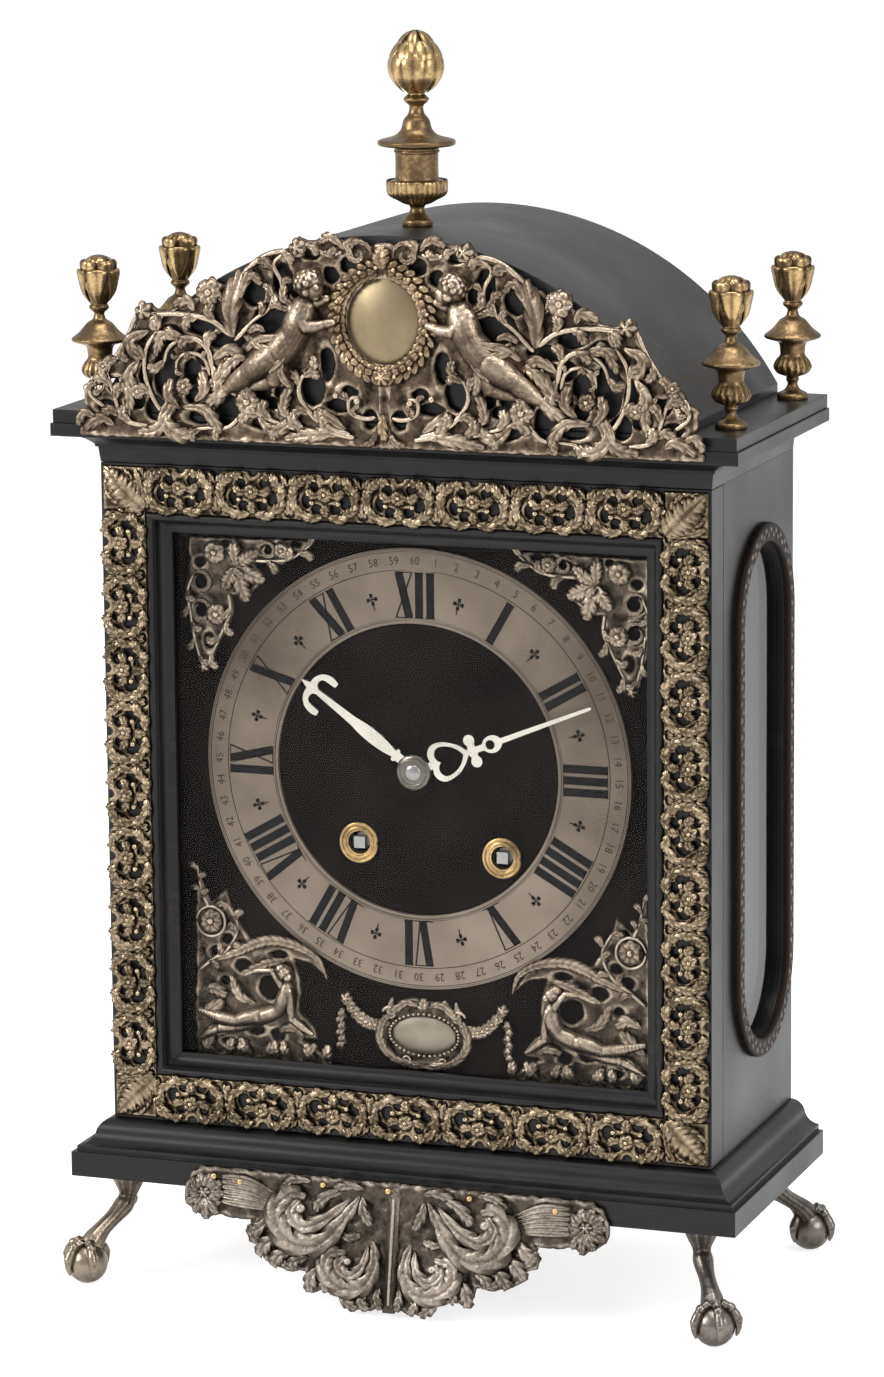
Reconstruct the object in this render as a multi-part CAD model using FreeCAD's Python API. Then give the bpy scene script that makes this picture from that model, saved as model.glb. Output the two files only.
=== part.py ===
import FreeCAD, Part
import math
import os

Vec = FreeCAD.Vector

# Frame: x to the viewer's right, y from front to back, z up from the floor, in millimetres

# Carcass
CASE_WIDTH = 270.0
CASE_DEPTH = 118.6
FRONT_Y = -54.0
SIDE_THICKNESS = 11.0
BODY_HEIGHT = 287.0
DOOR_THICKNESS = 16.0
DOOR_GAP = 0.4
FACE_GAP = 0.3

# Plinth
FOOT_HEIGHT = 46.3
FASCIA_HEIGHT = 10.7
PLINTH_STEP_IN = 2.0
PLINTH_STEP_HEIGHT = 2.5
OGEE_HEIGHT = 10.5
PLINTH_OVERHANG = 14.6
PLINTH_RIM = 24.0
BASE_BOARD_THICKNESS = 10.0

# Cornice and top board
FRIEZE_HEIGHT = 6.6
FRIEZE_FLARE = 0.8
CORNICE_FILLET = 1.0
COVE_HEIGHT = 4.9
CORNICE_OVERHANG = 15.9
CORNICE_NOSE = 1.5
CORNICE_EDGE = 5.4
CORNICE_RIM = 26.0
TOP_BOARD_THICKNESS = 5.8
TOP_BOARD_INSET = 0.9

# Arched roof
ROOF_HALF_WIDTH = 128.0
ROOF_RISE = 77.5
ROOF_RADIUS = 148.0
ROOF_WALL = 6.0
ROOF_SETBACK = 2.0
TYMPANUM_THICKNESS = 5.0

# Side windows, round at both ends
WINDOW_DEPTH_CENTRE = 71.5
WINDOW_FOOT = 32.0
WINDOW_HEIGHT = 230.0
WINDOW_WIDTH = 82.0
BEAD_WIDTH = 8.0
BEAD_HEIGHT = 3.0
BEAD_ROUND = 1.3
PANE_THICKNESS = 2.0
PANE_LAP = 3.0

# Front door
STILE_WIDTH = 20.5
MOULDING_WIDTH = 9.0
MOULDING_RISE = 2.0
GLASS_SETBACK = 7.5
GLASS_THICKNESS = 2.0
GLASS_PLAY = 0.3
BORDER_MARGIN = 1.0
BORDER_THICKNESS = 1.2
BORDER_COUNT_ACROSS = 7
BORDER_COUNT_UP = 9
BORDER_EYE_RADIUS = 1.9
BORDER_EYE_RING = 5.4
BORDER_BOSS_RADIUS = 3.2
BORDER_BOSS_HEIGHT = 1.6

# Hinges
HINGE_LENGTH = 40.0
HINGE_INSET = 40.0
KNUCKLE_RADIUS = 2.0
HINGE_PIN_RADIUS = 0.9
LEAF_THICKNESS = 1.0
LEAF_WIDTH = 9.0
RUNNING_CLEARANCE = 0.05
KNUCKLE_GAP = 0.3
HINGE_STANDOFF = 0.3

# Back door
BACK_PANEL_THICKNESS = 8.0
BACK_PANEL_PLAY = 0.5
BUTTON_LENGTH = 26.0
BUTTON_WIDTH = 8.0
BUTTON_THICKNESS = 2.0
BUTTON_SCREW_RADIUS = 1.5
BUTTON_SCREW_HEAD = 1.0

# Claw feet
BALL_RADIUS = 9.0
BALL_FLAT = 0.5
FOOT_BALL_X = 141.7
FOOT_BALL_Y = 72.0
FOOT_TOP_X = 130.0
FOOT_TOP_Y = 52.0
FOOT_TOP_RADIUS = 8.5
ANKLE_RADIUS = 4.2
TOE_RADIUS = 2.2
TOE_SWEEP = 82.0
FOOT_STUD_RADIUS = 2.5
FOOT_STUD_LENGTH = 9.0

# Finials
FINIAL_X = 139.5
FINIAL_FRONT_INSET = 28.0
FINIAL_BACK_INSET = 17.0
FINIAL_STUD_RADIUS = 2.0
FINIAL_STUD_LENGTH = 5.0
TOP_FINIAL_DEPTH = 24.0
FINIAL_UNIT = 1.0

# Cresting on the cornice and apron under the plinth
CRESTING_THICKNESS = 1.5
CRESTING_FOOT = 1.0
CRESTING_RISE = 85.0
PLAQUE_HALF_WIDTH = 16.2
PLAQUE_HALF_HEIGHT = 18.0
PLAQUE_RISE = 34.5
PLAQUE_CROWN = 3.0
PLAQUE_RIM = 3.0
APRON_HALF_WIDTH = 96.4
APRON_DROP = 45.5
APRON_THICKNESS = 1.5
APRON_LEAN = 11.0

# Dial
DIAL_HEIGHT = 158.5
DIAL_SETBACK = 2.0
DIAL_PLATE_THICKNESS = 3.0
CHAPTER_OUTER_RADIUS = 95.0
CHAPTER_INNER_RADIUS = 63.0
CHAPTER_THICKNESS = 1.6
SPANDREL_THICKNESS = 1.6
SPANDREL_MARGIN = 1.5
SPANDREL_RING_GAP = 3.0
CARTOUCHE_SHIFT = 2.4
MOUNT_SWELL = 0.12
MOUNT_DROP = 4.0
COLLET_OUTER_RADIUS = 7.7
COLLET_SLEEVE_RADIUS = 6.4
COLLET_BORE_RADIUS = 5.0
COLLET_FLANGE = 1.2

# Hands
HOUR_HAND_LENGTH = 63.0
MINUTE_HAND_LENGTH = 85.5
HOUR_HAND_TIME = 10.19
MINUTE_HAND_TIME = 11.3
HAND_THICKNESS = 1.2
HOUR_HAND_CLEARANCE = 1.8
MINUTE_HAND_CLEARANCE = 1.4
HAND_SEAT_CLEARANCE = 0.02
HOUR_EYE_RADIUS = 6.9
HOUR_HAND_NECK = 2.0
MINUTE_EYE_RADIUS = 5.6
MINUTE_HAND_NECK = 1.6
BOSS_RADIUS = 7.7
BOSS_HEIGHT = 1.6

# Movement plates
MOTION_WORK_DEPTH = 12.0
PLATE_THICKNESS = 3.0
PLATE_SPACING = 38.0
PLATE_HALF_WIDTH = 72.0
PLATE_BELOW = 72.0
PLATE_ABOVE = 70.0
PILLAR_RADIUS = 3.5
PILLAR_KNOP = 1.0
PILLAR_INSET = 4.5
STAFF_SHAKE = 0.3
STRAP_THICKNESS = 3.0

# Arbors, pipes and studs
PIVOT_RADIUS = 1.2
STAFF_RADIUS = 1.6
SLIM_PIVOT_RADIUS = 0.6
SLIM_STAFF_RADIUS = 0.85
THROUGH_RADIUS = 1.6
THROUGH_STAFF_RADIUS = 1.8
ARBOR_NOSE_RADIUS = 1.5
ARBOR_NOSE_LENGTH = 0.6
CANNON_PIPE_RADIUS = 2.9
HOUR_PIPE_RADIUS = 4.2
HOUR_PIPE_CLEARANCE = 1.0
MINUTE_STUD_RADIUS = 1.3
MINUTE_STUD_GAP = 3.0
PINION_SPARE = 0.3

# Depth bands of the wheels, measured back from the inner face of the front plate
CENTRE_WHEEL_BAND = (0.8, 2.3)
CENTRE_PINION_BAND = (3.0, 5.2)
INTERMEDIATE_WHEEL_BAND = (3.3, 4.8)
COUNT_WHEEL_BAND = (5.0, 6.5)
BARREL_BAND = (8.5, 32.0)
GREAT_WHEEL_BAND = (32.0, 34.5)
GREAT_PINION_BAND = (31.5, 35.0)
PIN_WHEEL_BAND = (12.0, 13.5)
LOCK_WHEEL_BAND = (18.0, 19.5)
FLY_BAND = (23.0, 35.0)
CONTRATE_DISC_BAND = (15.0, 16.5)
HAMMER_BAND = (17.5, 20.5)

# Depth bands of the motion work, measured forward from the front plate
CANNON_BAND = (1.5, 3.4)
MINUTE_WHEEL_BAND = (1.7, 3.2)
MINUTE_PINION_BAND = (3.2, 7.5)
HOUR_WHEEL_BAND = (5.0, 6.5)
DETENT_ARM_BAND = (1.4, 3.0)
RATCHET_BAND = (0.3, 2.0)

# Tooth form, as shares of the module and of the tooth pitch
ADDENDUM = 0.75
DEDENDUM = 1.2
TOOTH_ROOT_SHARE = 0.22
TOOTH_TIP_SHARE = 0.11
LEAF_ROOT_SHARE = 0.17
LEAF_TIP_SHARE = 0.09
RIM_MODULES = 3.4
HUB_SHARE = 0.32
HUB_RADIUS = 3.6
ARM_HALF_WIDTH = 1.1
TOOTH_SINK = 0.2

# Wheel trains: offsets from the dial centre, tooth counts and modules
CENTRE_AT = (0.0, 0.0)
GOING_BARREL_AT = (37.7, -35.5)
STRIKE_BARREL_AT = (-26.6, -33.0)
BARREL_RADIUS = 24.0
GREAT_TEETH = 72
GREAT_MODULE = 0.8
INTERMEDIATE_PINION = 8
INTERMEDIATE_TEETH = 60
INTERMEDIATE_MODULE = 0.7
CENTRE_PINION = 10
CENTRE_TEETH = 78
CENTRE_MODULE = 0.55
CONTRATE_PINION = 6
CONTRATE_TEETH = 72
CONTRATE_MODULE = 0.5
CONTRATE_TOOTH_HEIGHT = 2.5
CONTRATE_RIM = 2.4
CROWN_PINION = 6
CROWN_TEETH = 27
CROWN_RADIUS = 11.0
CROWN_HEIGHT = 7.0
CROWN_TOOTH_HEIGHT = 3.0
CROWN_WALL = 1.2
CROWN_FLOOR = 1.6
CROWN_PINION_LENGTH = 3.0
CROWN_PIVOT_RADIUS = 0.8
CROWN_STAFF_RADIUS = 1.2
POTENCE_GAP = 1.5
POTENCE_HALF_WIDTH = 4.0
LUG_THICKNESS = 3.0
LUG_HALF_WIDTH = 3.0
LUG_NOSE = 2.4
COUNT_PINION = 12
COUNT_TEETH = 78
COUNT_MODULE = 0.55
COUNT_DIRECTION = 125.0
COUNT_PLATE_RADIUS = 21.0
COUNT_PLATE_GAP = 2.0
COUNT_PLATE_THICKNESS = 1.6
COUNT_NOTCH_DEPTH = 3.0
STROKES_IN_ALL = 78
PIN_PINION = 6
PIN_TEETH = 60
PIN_MODULE = 0.5
PIN_DIRECTION = 75.0
PIN_COUNT = 6
PIN_LENGTH = 4.0
PIN_RADIUS = 0.8
PIN_CIRCLE_RADIUS = 11.0
LOCK_PINION = 6
LOCK_TEETH = 48
LOCK_MODULE = 0.5
LOCK_DIRECTION = 80.0
HOOP_RADIUS = 8.0
HOOP_WALL = 1.0
HOOP_HEIGHT = 2.5
FLY_PINION = 6
FLY_DIRECTION = 60.0
FLY_RADIUS = 10.5
FLY_THICKNESS = 0.8
CANNON_TEETH = 20
MINUTE_TEETH = 60
CANNON_MODULE = 0.5
MINUTE_PINION = 10
HOUR_TEETH = 40
WINDING_SQUARE = 5.0
WINDING_SQUARE_REACH = 1.0
WINDING_ARBOR_RADIUS = 3.5
RATCHET_TEETH = 20
RATCHET_RADIUS = 9.0
RATCHET_ROOT_RADIUS = 7.4
HAMMER_AT = (-56.0, 27.0)
HAMMER_HEAD_RADIUS = 4.5
HAMMER_HEAD_LENGTH = 10.0
HAMMER_HEAD_RISE = 7.0
HAMMER_GAP = 1.5
DETENT_AT = (-20.0, 35.0)
DETENT_GAP = 1.2

# Escapement, pendulum and bell
VERGE_ABOVE = 64.0
CROWN_TIP_BELOW_VERGE = 4.0
PALLET_CLEARANCE = 0.4
PALLET_HALF_ANGLE = 48.0
PALLET_WIDTH = 4.4
PALLET_THICKNESS = 0.8
CRUTCH_GAP = 3.8
CRUTCH_THICKNESS = 1.5
CRUTCH_HALF_WIDTH = 1.4
FORK_DROP = 48.0
FORK_PRONG_RADIUS = 0.7
PENDULUM_GAP = 9.0
PENDULUM_LENGTH = 182.0
ROD_RADIUS = 1.2
ROD_EYE_RADIUS = 2.4
ROD_EYE_WIDTH = 2.4
RATING_NUT_RADIUS = 3.2
RATING_NUT_HEIGHT = 3.5
SUSPENSION_PIN_RADIUS = 0.9
CHEEK_THICKNESS = 1.5
CHEEK_GAP = 3.0
CHEEK_DROP = 2.5
COCK_ARM_RISE = 3.0
COCK_HALF_WIDTH = 6.0
BOB_RADIUS = 19.0
BOB_THICKNESS = 9.0
BELL_RADIUS = 32.0
BELL_HEIGHT = 24.0
BELL_WALL = 2.6
BELL_HEADROOM = 17.4
BELL_CROWN_RADIUS = 6.5
BELL_POST_RADIUS = 2.5
BELL_SHOULDER_RADIUS = 4.4
BELL_NUT_RADIUS = 5.0
BELL_NUT_HEIGHT = 4.0

# Levels and planes that follow from the sizes above
HALF_WIDTH = CASE_WIDTH / 2
BACK_Y = FRONT_Y + CASE_DEPTH
DOOR_BACK_Y = FRONT_Y + DOOR_THICKNESS
CARCASS_Y = DOOR_BACK_Y + DOOR_GAP
FASCIA_TOP_Z = FOOT_HEIGHT + FASCIA_HEIGHT
BODY_Z = FASCIA_TOP_Z + PLINTH_STEP_HEIGHT + OGEE_HEIGHT
CORNICE_Z = BODY_Z + BODY_HEIGHT
CORNICE_EDGE_Z = CORNICE_Z + FRIEZE_HEIGHT + CORNICE_FILLET + COVE_HEIGHT
TOP_BOARD_Z = CORNICE_EDGE_Z + CORNICE_EDGE
ROOF_Z = TOP_BOARD_Z + TOP_BOARD_THICKNESS
ROOF_TOP_Z = ROOF_Z + ROOF_RISE
CORNICE_FRONT_Y = FRONT_Y - CORNICE_OVERHANG
PLINTH_FRONT_Y = FRONT_Y - PLINTH_OVERHANG
INNER_X = HALF_WIDTH - SIDE_THICKNESS

DOOR_BOTTOM_Z = BODY_Z + FACE_GAP
DOOR_TOP_Z = CORNICE_Z - FACE_GAP
SIGHT_HALF_WIDTH = HALF_WIDTH - STILE_WIDTH - MOULDING_WIDTH
SIGHT_BOTTOM_Z = DOOR_BOTTOM_Z + STILE_WIDTH + MOULDING_WIDTH
SIGHT_TOP_Z = DOOR_TOP_Z - STILE_WIDTH - MOULDING_WIDTH
GLASS_FRONT_Y = FRONT_Y + GLASS_SETBACK
DIAL_Y = DOOR_BACK_Y + DIAL_SETBACK
DIAL_BACK_Y = DIAL_Y + DIAL_PLATE_THICKNESS
DIAL_Z = BODY_Z + DIAL_HEIGHT
FRONT_PLATE_Y = DIAL_BACK_Y + MOTION_WORK_DEPTH
INNER_FRONT_Y = FRONT_PLATE_Y + PLATE_THICKNESS
INNER_BACK_Y = INNER_FRONT_Y + PLATE_SPACING
BACK_PLATE_Y = INNER_BACK_Y + PLATE_THICKNESS
HOUR_HAND_Y = DIAL_Y - CHAPTER_THICKNESS - HOUR_HAND_CLEARANCE
MINUTE_HAND_Y = HOUR_HAND_Y - HAND_THICKNESS - MINUTE_HAND_CLEARANCE
BOSS_Y = MINUTE_HAND_Y - BOSS_HEIGHT
CANNON_BORE_RADIUS = ARBOR_NOSE_RADIUS + RUNNING_CLEARANCE
HOUR_PIPE_BORE = CANNON_PIPE_RADIUS + RUNNING_CLEARANCE


def box(x0, x1, y0, y1, z0, z1):
    return Part.makeBox(x1 - x0, y1 - y0, z1 - z0, Vec(x0, y0, z0))


def rod_y(at, radius, y0, y1):
    return Part.makeCylinder(radius, y1 - y0, Vec(at[0], y0, at[1]), Vec(0, 1, 0))


def rod_z(x, y, radius, z0, z1):
    return Part.makeCylinder(radius, z1 - z0, Vec(x, y, z0))


def rod_x(y, z, radius, x0, x1):
    return Part.makeCylinder(radius, x1 - x0, Vec(x0, y, z), Vec(1, 0, 0))


def edges_along(start, steps, place):
    """Edges from start: a step of one point is a line, a step of two is an arc through the first."""
    edges = []
    here = start
    for step in steps:
        end = step[-1]
        if len(step) == 1:
            edges.append(Part.makeLine(place(*here), place(*end)))
        else:
            edges.append(Part.Arc(place(*here), place(*step[0]), place(*end)).toShape())
        here = end
    return edges


def closed_wire(start, steps, place):
    edges = edges_along(start, steps, place)
    return Part.Wire(edges)


def facing_front(y):
    return lambda x, z: Vec(x, y, z)


def facing_side(x):
    return lambda y, z: Vec(x, y, z)


def circle_wire(at, radius, y):
    return Part.Wire(Part.makeCircle(radius, Vec(at[0], y, at[1]), Vec(0, 1, 0)))


def ellipse_wire(at, half_width, half_height, y):
    curve = Part.Ellipse(Vec(0, 0, 0), max(half_width, half_height), min(half_width, half_height))
    wire = Part.Wire(curve.toShape())
    if half_height > half_width:
        wire.rotate(Vec(0, 0, 0), Vec(0, 0, 1), 90)
    wire.rotate(Vec(0, 0, 0), Vec(1, 0, 0), 90)
    wire.translate(Vec(at[0], y, at[1]))
    return wire


def holed_face(wires):
    return Part.makeFace(wires, "Part::FaceMakerBullseye")


def sheet(outer, holes, y0, y1):
    """A flat plate seen from the front, pierced by the hole wires."""
    face = holed_face([outer] + holes)
    return face.extrude(Vec(0, y1 - y0, 0))


def lobed_wire(points, swell, y):
    """A closed outline of leaf lobes: each side swells outwards, but a level side is straight."""
    edges = []
    count = len(points)
    for index in range(count):
        ax, az = points[index]
        bx, bz = points[(index + 1) % count]
        if az == bz:
            edges.append(Part.makeLine(Vec(ax, y, az), Vec(bx, y, bz)))
            continue
        middle = Vec((ax + bx) / 2 + (bz - az) * swell, y, (az + bz) / 2 - (bx - ax) * swell)
        edges.append(Part.Arc(Vec(ax, y, az), middle, Vec(bx, y, bz)).toShape())
    return Part.Wire(edges)


def both_sides(half):
    """Points of the right half, from the bottom to the top, joined to their mirror image."""
    mirrored = [(-x, z) for x, z in reversed(half) if x > 0]
    return half + mirrored


def mirror_x(shape):
    return shape.mirror(Vec(0, 0, 0), Vec(1, 0, 0))


def mix(a, b, share):
    return a + (b - a) * share


def ogee(a, b):
    """Two arcs from a, low and outside, to b, high and inside: hollow first, then round."""
    middle = (mix(a[0], b[0], 0.5), mix(a[1], b[1], 0.5))
    hollow = (mix(a[0], middle[0], 0.65), mix(a[1], middle[1], 0.3))
    swell = (mix(middle[0], b[0], 0.35), mix(middle[1], b[1], 0.7))
    return [(hollow, middle), (swell, b)]


def moulded_block(start, steps, half_width, front, back):
    """A block whose front and two sides follow one profile of (overhang, height), square at the back."""
    reach = 60.0
    top = steps[-1][-1]
    side_place = lambda out, z: Vec(-half_width - reach, front - out, z)
    edges = edges_along(start, steps, side_place)
    corners = [side_place(*top), Vec(-half_width - reach, back, top[1]),
               Vec(-half_width - reach, back, start[1]), side_place(*start)]
    for low, high in zip(corners, corners[1:]):
        edges.append(Part.makeLine(low, high))
    across = Part.Face(Part.Wire(edges)).extrude(Vec(2 * (half_width + reach), 0, 0))
    right_place = lambda out, z: Vec(half_width + out, front - reach, z)
    left_place = lambda out, z: Vec(-half_width - out, front - reach, z)
    right = edges_along(start, steps, right_place)
    left = edges_along(start, steps, left_place)
    ends = [Part.makeLine(right_place(*top), left_place(*top)),
            Part.makeLine(left_place(*start), right_place(*start))]
    loop = right + [ends[0]] + list(reversed(left)) + [ends[1]]
    outline = Part.Wire(Part.__sortEdges__(loop))
    along = Part.Face(outline).extrude(Vec(0, back - front + reach, 0))
    return across.common(along)


def polar(at, distance, degrees):
    turn = math.radians(degrees)
    return (at[0] + distance * math.cos(turn), at[1] + distance * math.sin(turn))


def meeting_point(a, from_a, b, from_b):
    """The point at the two given distances from a and b, on the left of the way from a to b."""
    dx = b[0] - a[0]
    dz = b[1] - a[1]
    span = math.hypot(dx, dz)
    along = (from_a ** 2 - from_b ** 2 + span ** 2) / (2 * span)
    aside = math.sqrt(from_a ** 2 - along ** 2)
    return (a[0] + (along * dx + aside * dz) / span, a[1] + (along * dz - aside * dx) / span)


def centre_distance(teeth_a, teeth_b, module):
    return (teeth_a + teeth_b) * module / 2


def from_dial(offset):
    return (offset[0], DIAL_Z + offset[1])


# Pieces of the case
def make_plinth():
    edge = PLINTH_OVERHANG - PLINTH_STEP_IN
    start = (PLINTH_OVERHANG, FOOT_HEIGHT)
    ogee_foot = (edge, FASCIA_TOP_Z + PLINTH_STEP_HEIGHT)
    steps = [((PLINTH_OVERHANG, FASCIA_TOP_Z),), ((edge, FASCIA_TOP_Z),), (ogee_foot,)]
    steps += ogee(ogee_foot, (0.0, BODY_Z))
    block = moulded_block(start, steps, HALF_WIDTH, FRONT_Y, BACK_Y)
    inside = box(-HALF_WIDTH + PLINTH_RIM, HALF_WIDTH - PLINTH_RIM, FRONT_Y + PLINTH_RIM,
                 BACK_Y - PLINTH_RIM, FOOT_HEIGHT - 1, BODY_Z + 1)
    plinth = block.cut(inside)
    for x, y in foot_tops():
        plinth = plinth.cut(rod_z(x, y, FOOT_STUD_RADIUS + RUNNING_CLEARANCE, FOOT_HEIGHT - 1,
                                  FOOT_HEIGHT + FOOT_STUD_LENGTH + FACE_GAP))
    return plinth


def make_base_board():
    return box(-HALF_WIDTH + PLINTH_RIM, HALF_WIDTH - PLINTH_RIM, FRONT_Y + PLINTH_RIM,
               BACK_Y - PLINTH_RIM, FOOT_HEIGHT, FOOT_HEIGHT + BASE_BOARD_THICKNESS)


def window_centre():
    return (FRONT_Y + WINDOW_DEPTH_CENTRE, BODY_Z + WINDOW_FOOT + WINDOW_HEIGHT / 2)


def window_wire(half_width, x):
    y, z = window_centre()
    straight = (WINDOW_HEIGHT - WINDOW_WIDTH) / 2
    start = (y - half_width, z - straight)
    steps = [((y - half_width, z + straight),),
             ((y, z + straight + half_width), (y + half_width, z + straight)),
             ((y + half_width, z - straight),),
             ((y, z - straight - half_width), start)]
    return closed_wire(start, steps, facing_side(x))


def make_side_panel():
    panel = box(INNER_X, HALF_WIDTH, CARCASS_Y, BACK_Y, BODY_Z, CORNICE_Z)
    sight = Part.Face(window_wire(WINDOW_WIDTH / 2 - BEAD_WIDTH, INNER_X - 1))
    return panel.cut(sight.extrude(Vec(SIDE_THICKNESS + 2, 0, 0)))


def make_window_bead():
    ring = holed_face([window_wire(WINDOW_WIDTH / 2, HALF_WIDTH),
                       window_wire(WINDOW_WIDTH / 2 - BEAD_WIDTH, HALF_WIDTH)])
    bead = ring.extrude(Vec(BEAD_HEIGHT, 0, 0))
    outer_edges = [edge for edge in bead.Edges
                   if edge.BoundBox.XMin > HALF_WIDTH + BEAD_HEIGHT - 0.01]
    return bead.makeFillet(BEAD_ROUND, outer_edges)


def make_window_pane():
    half = WINDOW_WIDTH / 2 - BEAD_WIDTH + PANE_LAP
    return Part.Face(window_wire(half, INNER_X - PANE_THICKNESS)).extrude(Vec(PANE_THICKNESS, 0, 0))


def make_cornice():
    z = CORNICE_Z
    shelf = FRIEZE_FLARE + CORNICE_FILLET
    cove_foot = (shelf, z + FRIEZE_HEIGHT + CORNICE_FILLET)
    cove_head = (CORNICE_OVERHANG - CORNICE_NOSE, CORNICE_EDGE_Z)
    cove_hollow = (mix(cove_foot[0], cove_head[0], 0.38), mix(cove_foot[1], cove_head[1], 0.72))
    steps = [((FRIEZE_FLARE, z + FRIEZE_HEIGHT),), ((shelf, z + FRIEZE_HEIGHT),), (cove_foot,),
             (cove_hollow, cove_head), ((CORNICE_OVERHANG, CORNICE_EDGE_Z),),
             ((CORNICE_OVERHANG, TOP_BOARD_Z),)]
    block = moulded_block((0.0, z), steps, HALF_WIDTH, FRONT_Y, BACK_Y)
    inside = box(-HALF_WIDTH + CORNICE_RIM, HALF_WIDTH - CORNICE_RIM, FRONT_Y + CORNICE_RIM,
                 BACK_Y - CORNICE_RIM, z - 1, TOP_BOARD_Z + 1)
    return block.cut(inside)


def make_top_board():
    edge = CORNICE_OVERHANG - TOP_BOARD_INSET
    board = box(-HALF_WIDTH - edge, HALF_WIDTH + edge, FRONT_Y - edge, BACK_Y, TOP_BOARD_Z, ROOF_Z)
    for x, y in corner_finial_places():
        board = board.cut(rod_z(x, y, FINIAL_STUD_RADIUS + RUNNING_CLEARANCE,
                                ROOF_Z - FINIAL_STUD_LENGTH - FACE_GAP, ROOF_Z + 1))
    return board


def roof_front_y():
    return CORNICE_FRONT_Y + ROOF_SETBACK


def spring_height(inset):
    """Height at which the arch, drawn in by inset, leaves its upright side."""
    centre = ROOF_TOP_Z - ROOF_RADIUS
    return centre + math.sqrt((ROOF_RADIUS - inset) ** 2 - (ROOF_HALF_WIDTH - inset) ** 2)


def make_roof():
    half = ROOF_HALF_WIDTH
    inner = half - ROOF_WALL
    outer_spring = spring_height(0.0)
    inner_spring = spring_height(ROOF_WALL)
    start = (-half, ROOF_Z)
    steps = [((-half, outer_spring),), ((0, ROOF_TOP_Z), (half, outer_spring)), ((half, ROOF_Z),),
             ((inner, ROOF_Z),), ((inner, inner_spring),),
             ((0, ROOF_TOP_Z - ROOF_WALL), (-inner, inner_spring)), ((-inner, ROOF_Z),), (start,)]
    wire = closed_wire(start, steps, facing_front(roof_front_y()))
    roof = Part.Face(wire).extrude(Vec(0, BACK_Y - roof_front_y(), 0))
    hole = rod_z(0, top_finial_y(), FINIAL_STUD_RADIUS + RUNNING_CLEARANCE,
                 ROOF_TOP_Z - ROOF_WALL - 1, ROOF_TOP_Z + 1)
    return roof.cut(hole)


def make_tympanum(y0):
    inner = ROOF_HALF_WIDTH - ROOF_WALL
    spring = spring_height(ROOF_WALL)
    start = (-inner, ROOF_Z)
    steps = [((-inner, spring),), ((0, ROOF_TOP_Z - ROOF_WALL), (inner, spring)),
             ((inner, ROOF_Z),), (start,)]
    wire = closed_wire(start, steps, facing_front(y0))
    return Part.Face(wire).extrude(Vec(0, TYMPANUM_THICKNESS, 0))


def make_tympana():
    return Part.makeCompound([make_tympanum(roof_front_y()), make_tympanum(BACK_Y - TYMPANUM_THICKNESS)])


# Cast and pressed mounts
def cresting_outline():
    """Right half of the cresting's leaf tips, from the middle of its foot to its top."""
    z = CORNICE_EDGE_Z + CRESTING_FOOT
    shares = [(0.0, 0.0), (0.99, 0.0), (1.01, 0.06), (0.96, 0.27), (0.875, 0.32), (0.77, 0.59),
              (0.59, 0.73), (0.46, 0.80), (0.27, 1.0), (0.12, 0.99), (0.0, 0.905)]
    return [(HALF_WIDTH * across, z + CRESTING_RISE * up) for across, up in shares]


def cresting_holes(y):
    """Openings between the scrolls: shares of the half width and of the rise, and the radius in the rise."""
    eyes = [(0.90, 0.182, 0.042), (0.80, 0.176, 0.038), (0.79, 0.318, 0.040), (0.70, 0.447, 0.049),
            (0.69, 0.182, 0.042), (0.59, 0.306, 0.052), (0.57, 0.541, 0.054), (0.56, 0.176, 0.035),
            (0.46, 0.212, 0.047), (0.45, 0.424, 0.052), (0.43, 0.635, 0.047), (0.33, 0.776, 0.042),
            (0.30, 0.235, 0.042), (0.21, 0.176, 0.033)]
    wires = []
    for across, up, radius in eyes:
        for side in (1, -1):
            at = (side * across * HALF_WIDTH, CORNICE_EDGE_Z + CRESTING_FOOT + up * CRESTING_RISE)
            wires.append(circle_wire(at, radius * CRESTING_RISE, y))
    return wires


def plaque_centre():
    return (0.0, CORNICE_EDGE_Z + CRESTING_FOOT + PLAQUE_RISE + PLAQUE_HALF_HEIGHT)


def make_cresting():
    y0 = CORNICE_FRONT_Y - CRESTING_THICKNESS
    outer = lobed_wire(both_sides(cresting_outline()), 0.16, y0)
    plate = sheet(outer, cresting_holes(y0), y0, CORNICE_FRONT_Y)
    rim = sheet(ellipse_wire(plaque_centre(), PLAQUE_HALF_WIDTH + PLAQUE_RIM,
                             PLAQUE_HALF_HEIGHT + PLAQUE_RIM, y0 - PLAQUE_CROWN),
                [ellipse_wire(plaque_centre(), PLAQUE_HALF_WIDTH, PLAQUE_HALF_HEIGHT,
                              y0 - PLAQUE_CROWN)], y0 - PLAQUE_CROWN, y0)
    return plate.fuse(rim)


def make_plaque():
    """A domed oval let into the raised rim of the cresting."""
    base = CORNICE_FRONT_Y - CRESTING_THICKNESS
    small = min(PLAQUE_HALF_WIDTH, PLAQUE_HALF_HEIGHT) - FACE_GAP
    tall = (PLAQUE_HALF_HEIGHT - FACE_GAP) / small
    ball_radius = (small ** 2 + PLAQUE_CROWN ** 2) / (2 * PLAQUE_CROWN)
    ball = Part.makeSphere(ball_radius, Vec(0, ball_radius - PLAQUE_CROWN, 0))
    cap = ball.common(box(-small, small, -PLAQUE_CROWN - 1, 0, -small, small))
    stretch = FreeCAD.Matrix()
    stretch.scale(1.0, 1.0, tall)
    dome = cap.transformGeometry(stretch)
    dome.translate(Vec(plaque_centre()[0], base, plaque_centre()[1]))
    return dome


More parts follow.
